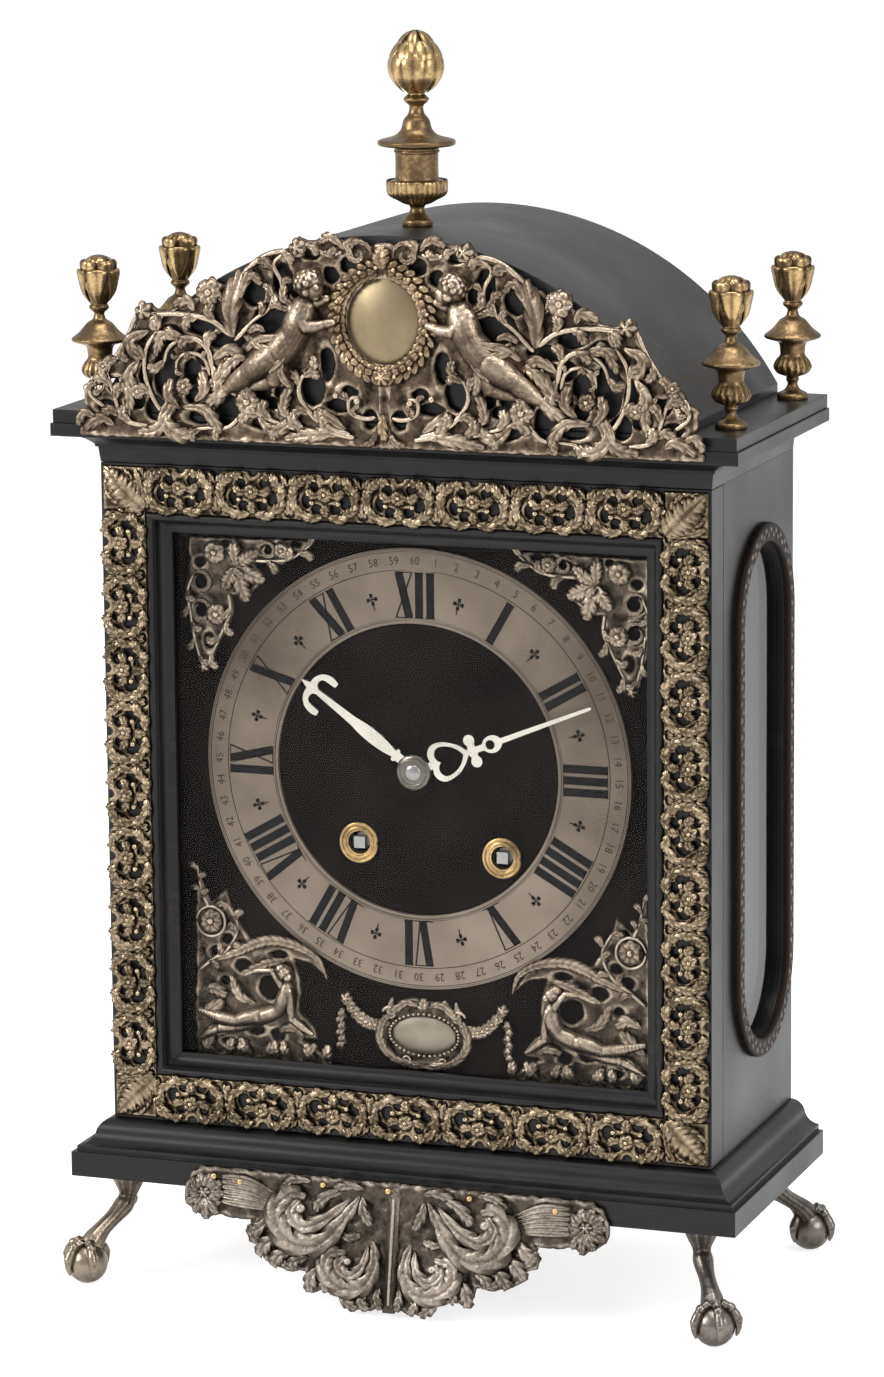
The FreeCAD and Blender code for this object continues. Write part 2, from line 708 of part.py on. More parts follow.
def apron_outline(z):
    """Right half of the apron's leaf tips, as shares of its half width and drop."""
    shares = [(0.0, 1.0), (0.10, 0.86), (0.21, 0.60), (0.38, 0.52), (0.55, 0.34), (0.76, 0.32),
              (0.93, 0.17), (1.0, 0.0)]
    return [(APRON_HALF_WIDTH * across, z - APRON_DROP * down) for across, down in shares]


def make_apron():
    """A pressed sheet: a flat strip on the fascia and a leafy drop that leans forwards."""
    y0 = PLINTH_FRONT_Y - APRON_THICKNESS
    z = FOOT_HEIGHT
    points = both_sides(apron_outline(z))
    outline = lobed_wire(points, 0.12, y0)
    eyes = [(0.0, 0.72, 2.6), (0.14, 0.50, 2.4), (0.24, 0.28, 2.8), (0.42, 0.30, 2.4), (0.60, 0.17, 2.2)]
    holes = []
    for across, down, radius in eyes:
        for side in (1, -1) if across else (1,):
            at = (side * across * APRON_HALF_WIDTH, z - down * APRON_DROP)
            holes.append(circle_wire(at, radius, y0))
    drop = sheet(outline, holes, y0, PLINTH_FRONT_Y)
    drop.rotate(Vec(0, PLINTH_FRONT_Y, z), Vec(1, 0, 0), -APRON_LEAN)
    below = box(-CASE_WIDTH, CASE_WIDTH, PLINTH_FRONT_Y - CASE_DEPTH, BACK_Y, -CASE_WIDTH, z)
    strip = box(-APRON_HALF_WIDTH, APRON_HALF_WIDTH, y0, PLINTH_FRONT_Y, z, FASCIA_TOP_Z)
    return strip.fuse(drop.common(below)).removeSplitter()


def foot_tops():
    return [(FOOT_TOP_X * side, FOOT_TOP_Y * end) for side in (1, -1) for end in (1, -1)]


def make_front_right_foot():
    """A scrolled leg that runs out to a claw round a ball, with a stud into the plinth."""
    top = Vec(FOOT_TOP_X, -FOOT_TOP_Y, FOOT_HEIGHT)
    ball = Vec(FOOT_BALL_X, -FOOT_BALL_Y, BALL_RADIUS - BALL_FLAT)
    stations = [(0.0, 0.0, 0.95), (0.10, 0.0, 0.82), (0.24, 0.03, 0.5), (0.36, 0.14, 0.60),
                (0.52, 0.60, 0.72), (0.66, 0.88, 0.75), (0.82, 1.0, 0.8)]
    rings = []
    for down, out, size in stations:
        centre = Vec(mix(top.x, ball.x, out), mix(top.y, ball.y, out), mix(top.z, ball.z, down))
        radius = max(FOOT_TOP_RADIUS * size, ANKLE_RADIUS)
        rings.append(Part.Wire(Part.makeCircle(radius, centre)))
    leg = Part.makeLoft(rings, True)
    foot = leg.fuse(Part.makeSphere(BALL_RADIUS, ball))
    outwards = math.degrees(math.atan2(ball.y - top.y, ball.x - top.x))
    for turn in (-62, 0, 62, 180):
        heading = math.radians(outwards + turn)
        toe_face = Part.Face(Part.Wire(Part.makeCircle(
            TOE_RADIUS, ball + Vec(0, 0, BALL_RADIUS), Vec(math.cos(heading), math.sin(heading), 0))))
        hinge = Vec(-math.sin(heading), math.cos(heading), 0)
        foot = foot.fuse(toe_face.revolve(ball, hinge, TOE_SWEEP))
    foot = foot.cut(box(0, CASE_WIDTH, -CASE_WIDTH, 0, -2 * BALL_RADIUS, 0))
    stud = rod_z(top.x, top.y, FOOT_STUD_RADIUS, FOOT_HEIGHT - 1, FOOT_HEIGHT + FOOT_STUD_LENGTH)
    return foot.fuse(stud).removeSplitter()


def make_feet():
    right = make_front_right_foot()
    back = right.mirror(Vec(0, 0, 0), Vec(0, 1, 0))
    return Part.makeCompound([right, back, mirror_x(right), mirror_x(back)])


def corner_finial_places():
    front = CORNICE_FRONT_Y + FINIAL_FRONT_INSET
    back = BACK_Y - FINIAL_BACK_INSET
    return [(FINIAL_X * side, y) for side in (1, -1) for y in (front, back)]


def top_finial_y():
    return FRONT_Y + TOP_FINIAL_DEPTH


def turned_finial(foot, outline, stud_length):
    """A turned urn on its foot at the origin; foot and outline are in finial units."""
    start = (0.0, -stud_length)
    stud = FINIAL_STUD_RADIUS
    unit = FINIAL_UNIT
    scaled = [tuple((r * unit, z * unit) for r, z in step) for step in outline]
    steps = [((stud, -stud_length),), ((stud, 0.0),), ((foot * unit, 0.0),)] + scaled + [(start,)]
    wire = closed_wire(start, steps, lambda r, z: Vec(r, 0, z))
    return Part.Face(wire).revolve(Vec(0, 0, 0), Vec(0, 0, 1), 360)


def make_corner_finials():
    """Ball and neck under a wide lid, then a flame whose tips curl outwards."""
    outline = [((6.6, 1.8),), ((5.9, 2.7),), ((3.0, 4.4), (2.0, 7.0)), ((2.8, 8.8),), ((2.6, 9.4),),
               ((8.3, 13.7), (5.6, 18.0)), ((5.2, 20.6), (6.4, 24.4)), ((11.4, 26.0),),
               ((12.0, 26.8), (11.5, 27.6)), ((8.8, 29.6), (6.4, 32.5)), ((5.2, 33.8),), ((3.0, 35.0),),
               ((2.4, 37.0),), ((2.4, 39.4),),
               ((4.3, 40.7), (3.6, 41.8)), ((8.3, 51.0), (5.4, 57.5)), ((5.5, 60.2), (4.0, 62.2)),
               ((0.0, 62.8),)]
    finials = []
    for x, y in corner_finial_places():
        finial = turned_finial(6.6, outline, FINIAL_STUD_LENGTH)
        finial.translate(Vec(x, y, ROOF_Z))
        finials.append(finial)
    return Part.makeCompound(finials)


def make_top_finial():
    """A cup with a drum, a wide lid, a collar and a large leafy ball."""
    outline = [((6.4, 2.6),), ((5.4, 3.4), (3.3, 5.6)), ((3.3, 8.6),), ((8.8, 10.6), (11.6, 15.6)),
               ((11.7, 18.6),), ((9.1, 19.6),), ((9.0, 31.5),), ((10.0, 33.0),), ((15.9, 33.4),),
               ((16.3, 34.6), (15.8, 35.8)), ((8.7, 38.0), (5.0, 45.0)), ((3.0, 47.0),), ((3.0, 51.0),),
               ((5.6, 52.6), (3.5, 54.4)), ((4.1, 56.0),), ((11.45, 65.0), (7.2, 74.5)),
               ((4.1, 79.0), (0.8, 81.2)), ((0.0, 81.8),)]
    finial = turned_finial(6.4, outline, ROOF_WALL)
    finial.translate(Vec(0, top_finial_y(), ROOF_TOP_Z))
    return finial


# Front door
def mitre_prism(side, left, right, bottom, top, width):
    """Space of one member of a mitred frame, wide in y: side 0 left, 1 right, 2 bottom, 3 top."""
    outer = [(left, bottom), (right, bottom), (right, top), (left, top)]
    inner = [(left + width, bottom + width), (right - width, bottom + width),
             (right - width, top - width), (left + width, top - width)]
    pairs = {0: (3, 0), 1: (1, 2), 2: (0, 1), 3: (2, 3)}
    a, b = pairs[side]
    corners = [outer[a], outer[b], inner[b], inner[a], outer[a]]
    return Part.makePolygon([Vec(x, FRONT_Y - DOOR_THICKNESS, z) for x, z in corners])


def make_door_frame():
    members = []
    for side in range(4):
        wire = mitre_prism(side, -HALF_WIDTH, HALF_WIDTH, DOOR_BOTTOM_Z, DOOR_TOP_Z, STILE_WIDTH)
        member = Part.Face(wire).extrude(Vec(0, DOOR_THICKNESS, 0))
        member.translate(Vec(0, DOOR_THICKNESS, 0))
        members.append(member)
    return Part.makeCompound(members)


def make_door_moulding():
    """Mitred black moulding: a raised round outside, a hollow down to the glass inside."""
    left = -HALF_WIDTH + STILE_WIDTH
    right = HALF_WIDTH - STILE_WIDTH
    bottom = DOOR_BOTTOM_Z + STILE_WIDTH
    top = DOOR_TOP_Z - STILE_WIDTH
    crest = FRONT_Y - MOULDING_RISE
    sill = GLASS_FRONT_Y - 2.0
    width = MOULDING_WIDTH
    start = (0.0, GLASS_FRONT_Y)
    steps = [((0.0, FRONT_Y),), ((width * 0.17, crest), (width * 0.36, FRONT_Y - 0.5)),
             ((width * 0.42, FRONT_Y + 0.4),),
             ((width * 0.52, mix(FRONT_Y, sill, 0.7)), (width * 0.9, sill)),
             ((width, sill),), ((width, GLASS_FRONT_Y),), (start,)]
    places = [lambda w, y: Vec(left + w, y, bottom), lambda w, y: Vec(right - w, y, bottom),
              lambda w, y: Vec(left, y, bottom + w), lambda w, y: Vec(left, y, top - w)]
    up = Vec(0, 0, top - bottom)
    across = Vec(right - left, 0, 0)
    ways = [up, up, across, across]
    members = []
    for side in range(4):
        strip = Part.Face(closed_wire(start, steps, places[side])).extrude(ways[side])
        mitre = Part.Face(mitre_prism(side, left, right, bottom, top, width))
        members.append(strip.common(mitre.extrude(Vec(0, 3 * DOOR_THICKNESS, 0))))
    return Part.makeCompound(members)


def make_door_glass():
    half = HALF_WIDTH - STILE_WIDTH - GLASS_PLAY
    return box(-half, half, GLASS_FRONT_Y, GLASS_FRONT_Y + GLASS_THICKNESS,
               DOOR_BOTTOM_Z + STILE_WIDTH + GLASS_PLAY, DOOR_TOP_Z - STILE_WIDTH - GLASS_PLAY)


def make_door_border():
    """Four pierced and embossed strips, mitred at the corners, one round scroll after another."""
    left = -HALF_WIDTH + BORDER_MARGIN
    right = HALF_WIDTH - BORDER_MARGIN
    bottom = DOOR_BOTTOM_Z + BORDER_MARGIN
    top = DOOR_TOP_Z - BORDER_MARGIN
    width = STILE_WIDTH - BORDER_MARGIN - FACE_GAP
    y0 = FRONT_Y - BORDER_THICKNESS
    rows = [(left + width / 2, bottom, top, BORDER_COUNT_UP, False),
            (right - width / 2, bottom, top, BORDER_COUNT_UP, False),
            (bottom + width / 2, left, right, BORDER_COUNT_ACROSS, True),
            (top - width / 2, left, right, BORDER_COUNT_ACROSS, True)]
    strips = []
    for side in range(4):
        line, low, high, units, lies = rows[side]
        pitch = (high - low - 2 * width) / units
        outer = mitre_prism(side, left, right, bottom, top, width)
        outer.translate(Vec(0, y0 - FRONT_Y + DOOR_THICKNESS, 0))
        eyes = []
        bosses = []
        for unit in range(units):
            along = low + width + pitch * (unit + 0.5)
            middle = (along, line) if lies else (line, along)
            for turn in (45, 135, 225, 315):
                eyes.append(circle_wire(polar(middle, BORDER_EYE_RING, turn), BORDER_EYE_RADIUS, y0))
            bosses.append(Part.makeCone(BORDER_BOSS_RADIUS, BORDER_BOSS_RADIUS / 2, BORDER_BOSS_HEIGHT,
                                        Vec(middle[0], y0, middle[1]), Vec(0, -1, 0)))
        strips.append(sheet(outer, eyes, y0, FRONT_Y).multiFuse(bosses))
    return Part.makeCompound(strips)


# Hinges: each has a fixed leaf with the pin below and a moving leaf with the bored knuckle above
def hinge_pair(x, y, z0, leaf):
    """Fixed and moving halves about an upright pin at x, y; leaf(on_case, low, high) makes a leaf."""
    middle = z0 + HINGE_LENGTH / 2
    top = z0 + HINGE_LENGTH
    fixed = rod_z(x, y, KNUCKLE_RADIUS, z0, middle).fuse(rod_z(x, y, HINGE_PIN_RADIUS, middle, top))
    fixed = fixed.fuse(leaf(True, z0, middle))
    moving = rod_z(x, y, KNUCKLE_RADIUS, middle + KNUCKLE_GAP, top)
    moving = moving.fuse(leaf(False, middle + KNUCKLE_GAP, top))
    moving = moving.cut(rod_z(x, y, HINGE_PIN_RADIUS + RUNNING_CLEARANCE, z0, top + 1))
    return fixed, moving


def door_hinge_axis():
    return (-HALF_WIDTH - KNUCKLE_RADIUS - HINGE_STANDOFF, DOOR_BACK_Y + DOOR_GAP / 2)


def front_door_leaf(on_case, z0, z1):
    y = door_hinge_axis()[1]
    if on_case:
        return box(-HALF_WIDTH - LEAF_THICKNESS, -HALF_WIDTH, y + DOOR_GAP / 2, y + LEAF_WIDTH, z0, z1)
    return box(-HALF_WIDTH - LEAF_THICKNESS, -HALF_WIDTH, y - LEAF_WIDTH, y - DOOR_GAP / 2, z0, z1)


def back_hinge_axis():
    return (-INNER_X + BACK_PANEL_PLAY / 2, BACK_Y + KNUCKLE_RADIUS + HINGE_STANDOFF)


def back_door_leaf(on_case, z0, z1):
    x = back_hinge_axis()[0]
    play = BACK_PANEL_PLAY / 2
    if on_case:
        return box(x - LEAF_WIDTH, x - play, BACK_Y, BACK_Y + LEAF_THICKNESS, z0, z1)
    return box(x + play, x + LEAF_WIDTH, BACK_Y, BACK_Y + LEAF_THICKNESS, z0, z1)


def make_hinges():
    fixed = []
    front_moving = []
    back_moving = []
    for z0 in (BODY_Z + HINGE_INSET, CORNICE_Z - HINGE_INSET - HINGE_LENGTH):
        still, swung = hinge_pair(*door_hinge_axis(), z0, front_door_leaf)
        fixed.append(still)
        front_moving.append(swung)
        still, swung = hinge_pair(*back_hinge_axis(), z0, back_door_leaf)
        fixed.append(still)
        back_moving.append(swung)
    return [Part.makeCompound(group) for group in (fixed, front_moving, back_moving)]


def make_back_panel():
    half = INNER_X - BACK_PANEL_PLAY
    return box(-half, half, BACK_Y - BACK_PANEL_THICKNESS, BACK_Y,
               BODY_Z + BACK_PANEL_PLAY, CORNICE_Z - BACK_PANEL_PLAY)


def button_place():
    return (HALF_WIDTH - SIDE_THICKNESS / 2, BODY_Z + BODY_HEIGHT / 2)


def make_turn_button():
    """A brass turn button, shown upright, clear of the back panel."""
    x, z = button_place()
    half = BUTTON_WIDTH / 2
    reach = BUTTON_LENGTH / 2 - half
    start = (x - half, z - reach)
    steps = [((x - half, z + reach),), ((x, z + reach + half), (x + half, z + reach)),
             ((x + half, z - reach),), ((x, z - reach - half), start)]
    y0 = BACK_Y + FACE_GAP
    button = Part.Face(closed_wire(start, steps, facing_front(y0))).extrude(Vec(0, BUTTON_THICKNESS, 0))
    screw_end = y0 + BUTTON_THICKNESS + BUTTON_SCREW_HEAD
    return button.fuse(rod_y((x, z), BUTTON_SCREW_RADIUS, BACK_Y - SIDE_THICKNESS, screw_end))


def bore_for_button(panel):
    x, z = button_place()
    return panel.cut(rod_y((x, z), BUTTON_SCREW_RADIUS + RUNNING_CLEARANCE,
                           BACK_Y - SIDE_THICKNESS - FACE_GAP, BACK_Y + 1))


# Dial and hands
def make_dial_plate():
    plate = box(-INNER_X, INNER_X, DIAL_Y, DIAL_BACK_Y, BODY_Z, CORNICE_Z)
    for offset in (GOING_BARREL_AT, STRIKE_BARREL_AT):
        plate = plate.cut(rod_y(from_dial(offset), COLLET_SLEEVE_RADIUS + RUNNING_CLEARANCE,
                                DIAL_Y - 1, DIAL_BACK_Y + 1))
    hole_radius = HOUR_PIPE_RADIUS + HOUR_PIPE_CLEARANCE
    return plate.cut(rod_y(from_dial(CENTRE_AT), hole_radius, DIAL_Y - 1, DIAL_BACK_Y + 1))


def make_chapter_ring():
    centre = from_dial(CENTRE_AT)
    y0 = DIAL_Y - CHAPTER_THICKNESS
    return sheet(circle_wire(centre, CHAPTER_OUTER_RADIUS, y0),
                 [circle_wire(centre, CHAPTER_INNER_RADIUS, y0)], y0, DIAL_Y)


def dial_mount(points, eyes, shift, y0):
    """A pierced leafy sheet on the dial, measured from the dial centre and kept clear of the ring."""
    centre = from_dial(CENTRE_AT)
    outline = [(shift + x, centre[1] + z) for x, z in points]
    holes = [circle_wire((shift + x, centre[1] + z), radius, y0) for x, z, radius in eyes]
    leaves = sheet(lobed_wire(outline, MOUNT_SWELL, y0), holes, y0, DIAL_Y)
    ground = box(-SIGHT_HALF_WIDTH, SIGHT_HALF_WIDTH, y0, DIAL_Y, SIGHT_BOTTOM_Z - MOUNT_DROP,
                 SIGHT_TOP_Z - SPANDREL_MARGIN)
    ring = rod_y(centre, CHAPTER_OUTER_RADIUS + SPANDREL_RING_GAP, y0 - 1, DIAL_Y + 1)
    return leaves.common(ground).cut(ring)


def make_spandrels():
    """Corner mounts: leaves with two tails above the ring, a reclining figure under a horn below it."""
    y0 = DIAL_Y - SPANDREL_THICKNESS
    leaves = [(99.0, 38.2), (102.5, 49.0), (102.5, 71.0), (102.0, 97.2), (74.0, 97.2), (38.0, 94.5),
              (47.5, 85.7), (58.5, 83.6), (66.3, 76.2), (77.3, 69.6), (82.7, 57.9), (90.1, 49.9)]
    leaf_eyes = [(95.0, 75.2, 2.6), (58.0, 90.2, 2.2), (80.0, 92.6, 1.8), (96.0, 55.2, 2.6)]
    figure = [(40.5, -132.7), (103.0, -132.7), (103.0, -113.0), (103.0, -93.0), (102.0, -73.0),
              (101.5, -51.0), (95.0, -66.0), (97.0, -75.0), (82.0, -72.7), (77.0, -80.7), (57.6, -79.3),
              (47.5, -87.0), (41.8, -94.0), (49.5, -91.5), (52.0, -97.5), (50.5, -104.5), (52.0, -111.5),
              (48.0, -117.0), (48.0, -121.0), (54.0, -122.0), (47.0, -128.0)]
    figure_eyes = [(68.0, -100.0, 5.0), (81.0, -92.5, 3.0), (94.0, -88.5, 2.4), (75.0, -116.5, 2.6)]
    mounts = []
    for points, eyes in ((leaves, leaf_eyes), (figure, figure_eyes)):
        right = dial_mount(points, eyes, 0.0, y0)
        mounts += [right, mirror_x(right)]
    return Part.makeCompound(mounts)


def make_cartouche():
    """Signature plate under the ring, left bare: an oval boss on scrolls, with garlands and tassels."""
    y0 = DIAL_Y - SPANDREL_THICKNESS
    half = [(0.0, -129.5), (13.0, -128.0), (20.0, -121.5), (19.5, -114.5), (30.0, -115.5), (35.5, -119.5),
            (40.0, -117.5), (41.0, -104.5), (36.0, -99.5), (27.0, -106.0), (15.0, -102.5), (9.5, -97.0),
            (0.0, -96.0)]
    eyes = [(side * 31.0, -109.5, 2.2) for side in (1, -1)]
    ground = dial_mount(both_sides(half), eyes, CARTOUCHE_SHIFT, y0)
    boss = sheet(ellipse_wire((CARTOUCHE_SHIFT, DIAL_Z - 115.0), 16.5, 9.8, y0 - 1.2), [], y0 - 1.2, y0)
    return ground.fuse(boss)


def make_collets():
    collets = []
    for offset in (GOING_BARREL_AT, STRIKE_BARREL_AT):
        at = from_dial(offset)
        collet = rod_y(at, COLLET_OUTER_RADIUS, DIAL_Y - COLLET_FLANGE, DIAL_Y)
        collet = collet.fuse(rod_y(at, COLLET_SLEEVE_RADIUS, DIAL_Y, DIAL_BACK_Y))
        bore = rod_y(at, COLLET_BORE_RADIUS, DIAL_Y - COLLET_FLANGE - 1, DIAL_BACK_Y + 1)
        collets.append(collet.cut(bore))
    return Part.makeCompound(collets)


def hand_from_profile(start, steps, holes, y0, turn):
    """A flat hand drawn pointing up from the dial centre, then turned clockwise to its hour."""
    wire = closed_wire(start, steps, facing_front(y0))
    hand = sheet(wire, holes, y0, y0 + HAND_THICKNESS)
    hand.rotate(Vec(0, 0, DIAL_Z), Vec(0, 1, 0), turn)
    return hand


def mirrored_steps(right):
    """Steps up the right side as given, then the same steps down the left side."""
    points = [point for step in right for point in step]
    sizes = [len(step) for step in right]
    left = [(-x, z) for x, z in reversed(points[:-1])]
    steps = list(right)
    for size in reversed(sizes[1:]):
        steps.append(tuple(left[:size]))
        left = left[size:]
    return steps


def hand_outline(length, eye, neck, shares):
    """Start and steps round a hand: its eye, up one side and down the other; shares are of its length."""
    shoulder = (neck, DIAL_Z + math.sqrt(eye * eye - neck * neck))
    right = [(shoulder,)] + [tuple((x * length, DIAL_Z + z * length) for x, z in step) for step in shares]
    round_eye = [((-eye, DIAL_Z), (0.0, DIAL_Z - eye)), ((eye, DIAL_Z), shoulder)]
    return (-neck, shoulder[1]), round_eye + mirrored_steps(right)[1:]


def make_hour_hand():
    """A collar, a long leaf, then two arms that turn back under the tip."""
    shares = [((0.032, 0.156),), ((0.046, 0.165),), ((0.046, 0.184),), ((0.025, 0.190),),
              ((0.046, 0.325), (0.032, 0.540)), ((0.021, 0.794),), ((0.019, 0.844),),
              ((0.057, 0.889), (0.098, 0.848)), ((0.103, 0.775),), ((0.137, 0.771),),
              ((0.111, 0.908), (0.025, 0.935)), ((0.0, 1.0),)]
    start, steps = hand_outline(HOUR_HAND_LENGTH, HOUR_EYE_RADIUS, HOUR_HAND_NECK, shares)
    holes = [circle_wire((0.0, DIAL_Z), HOUR_PIPE_RADIUS + HAND_SEAT_CLEARANCE, HOUR_HAND_Y)]
    return hand_from_profile(start, steps, holes, HOUR_HAND_Y, HOUR_HAND_TIME * 30.0)


def make_minute_hand():
    """A pierced heart, a collar and a small pierced loop on a long pointer."""
    length = MINUTE_HAND_LENGTH
    shares = [((0.019, 0.105),), ((0.075, 0.112), (0.098, 0.164)), ((0.073, 0.243), (0.015, 0.304)),
              ((0.014, 0.312),), ((0.032, 0.319),), ((0.084, 0.337), (0.032, 0.354)), ((0.016, 0.358),),
              ((0.016, 0.395),), ((0.043, 0.435), (0.014, 0.496)), ((0.008, 0.989),), ((0.0, 1.0),)]
    start, steps = hand_outline(length, MINUTE_EYE_RADIUS, MINUTE_HAND_NECK, shares)
    cleft = (0.0, 0.190)
    heart = [((0.037, 0.135), (0.075, 0.168)), ((0.056, 0.234), (0.0, 0.283)),
             ((-0.056, 0.234), (-0.075, 0.168)), ((-0.037, 0.135), cleft)]

    def on_hand(x, z):
        return Vec(x * length, MINUTE_HAND_Y, DIAL_Z + z * length)
    holes = [circle_wire((0.0, DIAL_Z), CANNON_PIPE_RADIUS + HAND_SEAT_CLEARANCE, MINUTE_HAND_Y),
             circle_wire((0.0, DIAL_Z + 0.434 * length), 0.024 * length, MINUTE_HAND_Y),
             closed_wire(cleft, heart, on_hand)]
    return hand_from_profile(start, steps, holes, MINUTE_HAND_Y, MINUTE_HAND_TIME * 6.0)


def make_hand_collet():
    centre = from_dial(CENTRE_AT)
    dome = Part.makeCone(BOSS_RADIUS, BOSS_RADIUS * 0.55, MINUTE_HAND_Y - BOSS_Y,
                         Vec(centre[0], MINUTE_HAND_Y, centre[1]), Vec(0, -1, 0))
    return dome.cut(rod_y(centre, CANNON_BORE_RADIUS, BOSS_Y - 1, MINUTE_HAND_Y + 1))


# Toothed wheels
def tooth_points(teeth, module, phase, leaf):
    """Corner points of a straight-flanked wheel: root, tip, tip, root for each tooth."""
    pitch_radius = teeth * module / 2
    root = pitch_radius - DEDENDUM * module
    tip = pitch_radius + ADDENDUM * module
    root_share = LEAF_ROOT_SHARE if leaf else TOOTH_ROOT_SHARE
    tip_share = LEAF_TIP_SHARE if leaf else TOOTH_TIP_SHARE
    step = 2 * math.pi / teeth
    points = []
    for tooth in range(teeth):
        middle = phase + tooth * step
        for share, radius in ((-root_share, root), (-tip_share, tip), (tip_share, tip), (root_share, root)):
            angle = middle + share * step
            points.append((radius * math.cos(angle), radius * math.sin(angle)))
    return points


def toothed_wheel(at, teeth, module, phase, y0, y1, leaf=False, crossings=0):
    """A wheel or pinion about the y axis, with a rim, a hub and the given number of crossings."""
    points = [(at[0] + x, at[1] + z) for x, z in tooth_points(teeth, module, phase, leaf)]
    outer = Part.makePolygon([Vec(x, y0, z) for x, z in points + points[:1]])
    windows = []
    rim = teeth * module / 2 - RIM_MODULES * module
    hub = max(HUB_SHARE * rim, HUB_RADIUS)
    for index in range(crossings):
        middle = 2 * math.pi * index / crossings
        half_turn = math.pi / crossings
        rim_turn = half_turn - ARM_HALF_WIDTH / rim
        hub_turn = half_turn - ARM_HALF_WIDTH / hub
        spot = lambda radius, turn: (at[0] + radius * math.cos(turn), at[1] + radius * math.sin(turn))
        start = spot(hub, middle - hub_turn)
        steps = [(spot(rim, middle - rim_turn),), (spot(rim, middle), spot(rim, middle + rim_turn)),
                 (spot(hub, middle + hub_turn),), (spot(hub, middle), start)]
        windows.append(closed_wire(start, steps, facing_front(y0)))
    return sheet(outer, windows, y0, y1)


def meshing_phase(a, teeth_a, phase_a, b, teeth_b):
    """Phase of wheel b that puts one of its gaps against a tooth of wheel a."""
    heading = math.atan2(b[1] - a[1], b[0] - a[0])
    step_a = 2 * math.pi / teeth_a
    step_b = 2 * math.pi / teeth_b
    share = (heading - phase_a) / step_a
    return heading + math.pi - step_b * (0.5 - share)


# Arbor places
BARREL_TO_INTERMEDIATE = centre_distance(GREAT_TEETH, INTERMEDIATE_PINION, GREAT_MODULE)
INTERMEDIATE_TO_CENTRE = centre_distance(INTERMEDIATE_TEETH, CENTRE_PINION, INTERMEDIATE_MODULE)
BARREL_TO_COUNT = centre_distance(GREAT_TEETH, COUNT_PINION, GREAT_MODULE)
CANNON_TO_MINUTE = centre_distance(CANNON_TEETH, MINUTE_TEETH, CANNON_MODULE)
INTERMEDIATE_AT = meeting_point(GOING_BARREL_AT, BARREL_TO_INTERMEDIATE, CENTRE_AT, INTERMEDIATE_TO_CENTRE)
CONTRATE_AT = polar(CENTRE_AT, centre_distance(CENTRE_TEETH, CONTRATE_PINION, CENTRE_MODULE), 90)
COUNT_AT = polar(STRIKE_BARREL_AT, BARREL_TO_COUNT, COUNT_DIRECTION)
PIN_AT = polar(COUNT_AT, centre_distance(COUNT_TEETH, PIN_PINION, COUNT_MODULE), PIN_DIRECTION)
LOCK_AT = polar(PIN_AT, centre_distance(PIN_TEETH, LOCK_PINION, PIN_MODULE), LOCK_DIRECTION)
FLY_AT = polar(LOCK_AT, centre_distance(LOCK_TEETH, FLY_PINION, LOCK_MODULE), FLY_DIRECTION)
MINUTE_WHEEL_AT = polar(CENTRE_AT, CANNON_TO_MINUTE, 270)
VERGE_AT = (0.0, VERGE_ABOVE)
HOUR_MODULE = 2 * CANNON_TO_MINUTE / (MINUTE_PINION + HOUR_TEETH)


def band(limits, spare=0.0):
    return INNER_FRONT_Y + limits[0] - spare, INNER_FRONT_Y + limits[1] + spare


def motion_band(limits):
    return FRONT_PLATE_Y - limits[1], FRONT_PLATE_Y - limits[0]


def staff(offset, radius=STAFF_RADIUS, front_radius=PIVOT_RADIUS, back_radius=PIVOT_RADIUS,
          front_y=FRONT_PLATE_Y, back_y=BACK_PLATE_Y):
    """An arbor with a shoulder inside each plate and a pivot through it."""
    at = from_dial(offset)
    body = rod_y(at, radius, INNER_FRONT_Y + STAFF_SHAKE, INNER_BACK_Y - STAFF_SHAKE)
    front = rod_y(at, front_radius, front_y, INNER_FRONT_Y + STAFF_SHAKE)
    back = rod_y(at, back_radius, INNER_BACK_Y - STAFF_SHAKE, back_y)
    return body.multiFuse([front, back])


def slim_staff(offset):
    """An arbor thin enough to stay inside the roots of a six-leaf pinion."""
    return staff(offset, SLIM_STAFF_RADIUS, SLIM_PIVOT_RADIUS, SLIM_PIVOT_RADIUS)


ARBORS = {
    "going_barrel": (GOING_BARREL_AT, WINDING_ARBOR_RADIUS, WINDING_ARBOR_RADIUS),
    "strike_barrel": (STRIKE_BARREL_AT, WINDING_ARBOR_RADIUS, WINDING_ARBOR_RADIUS),
    "centre": (CENTRE_AT, ARBOR_NOSE_RADIUS, PIVOT_RADIUS),
    "intermediate": (INTERMEDIATE_AT, PIVOT_RADIUS, PIVOT_RADIUS),
    "contrate": (CONTRATE_AT, SLIM_PIVOT_RADIUS, SLIM_PIVOT_RADIUS),
    "count": (COUNT_AT, PIVOT_RADIUS, THROUGH_RADIUS),
    "pin": (PIN_AT, SLIM_PIVOT_RADIUS, SLIM_PIVOT_RADIUS),
    "lock": (LOCK_AT, SLIM_PIVOT_RADIUS, SLIM_PIVOT_RADIUS),
    "fly": (FLY_AT, SLIM_PIVOT_RADIUS, SLIM_PIVOT_RADIUS),
    "hammer": (HAMMER_AT, PIVOT_RADIUS, PIVOT_RADIUS),
    "detent": (DETENT_AT, THROUGH_RADIUS, THROUGH_RADIUS),
    "verge": (VERGE_AT, PIVOT_RADIUS, THROUGH_RADIUS),
}


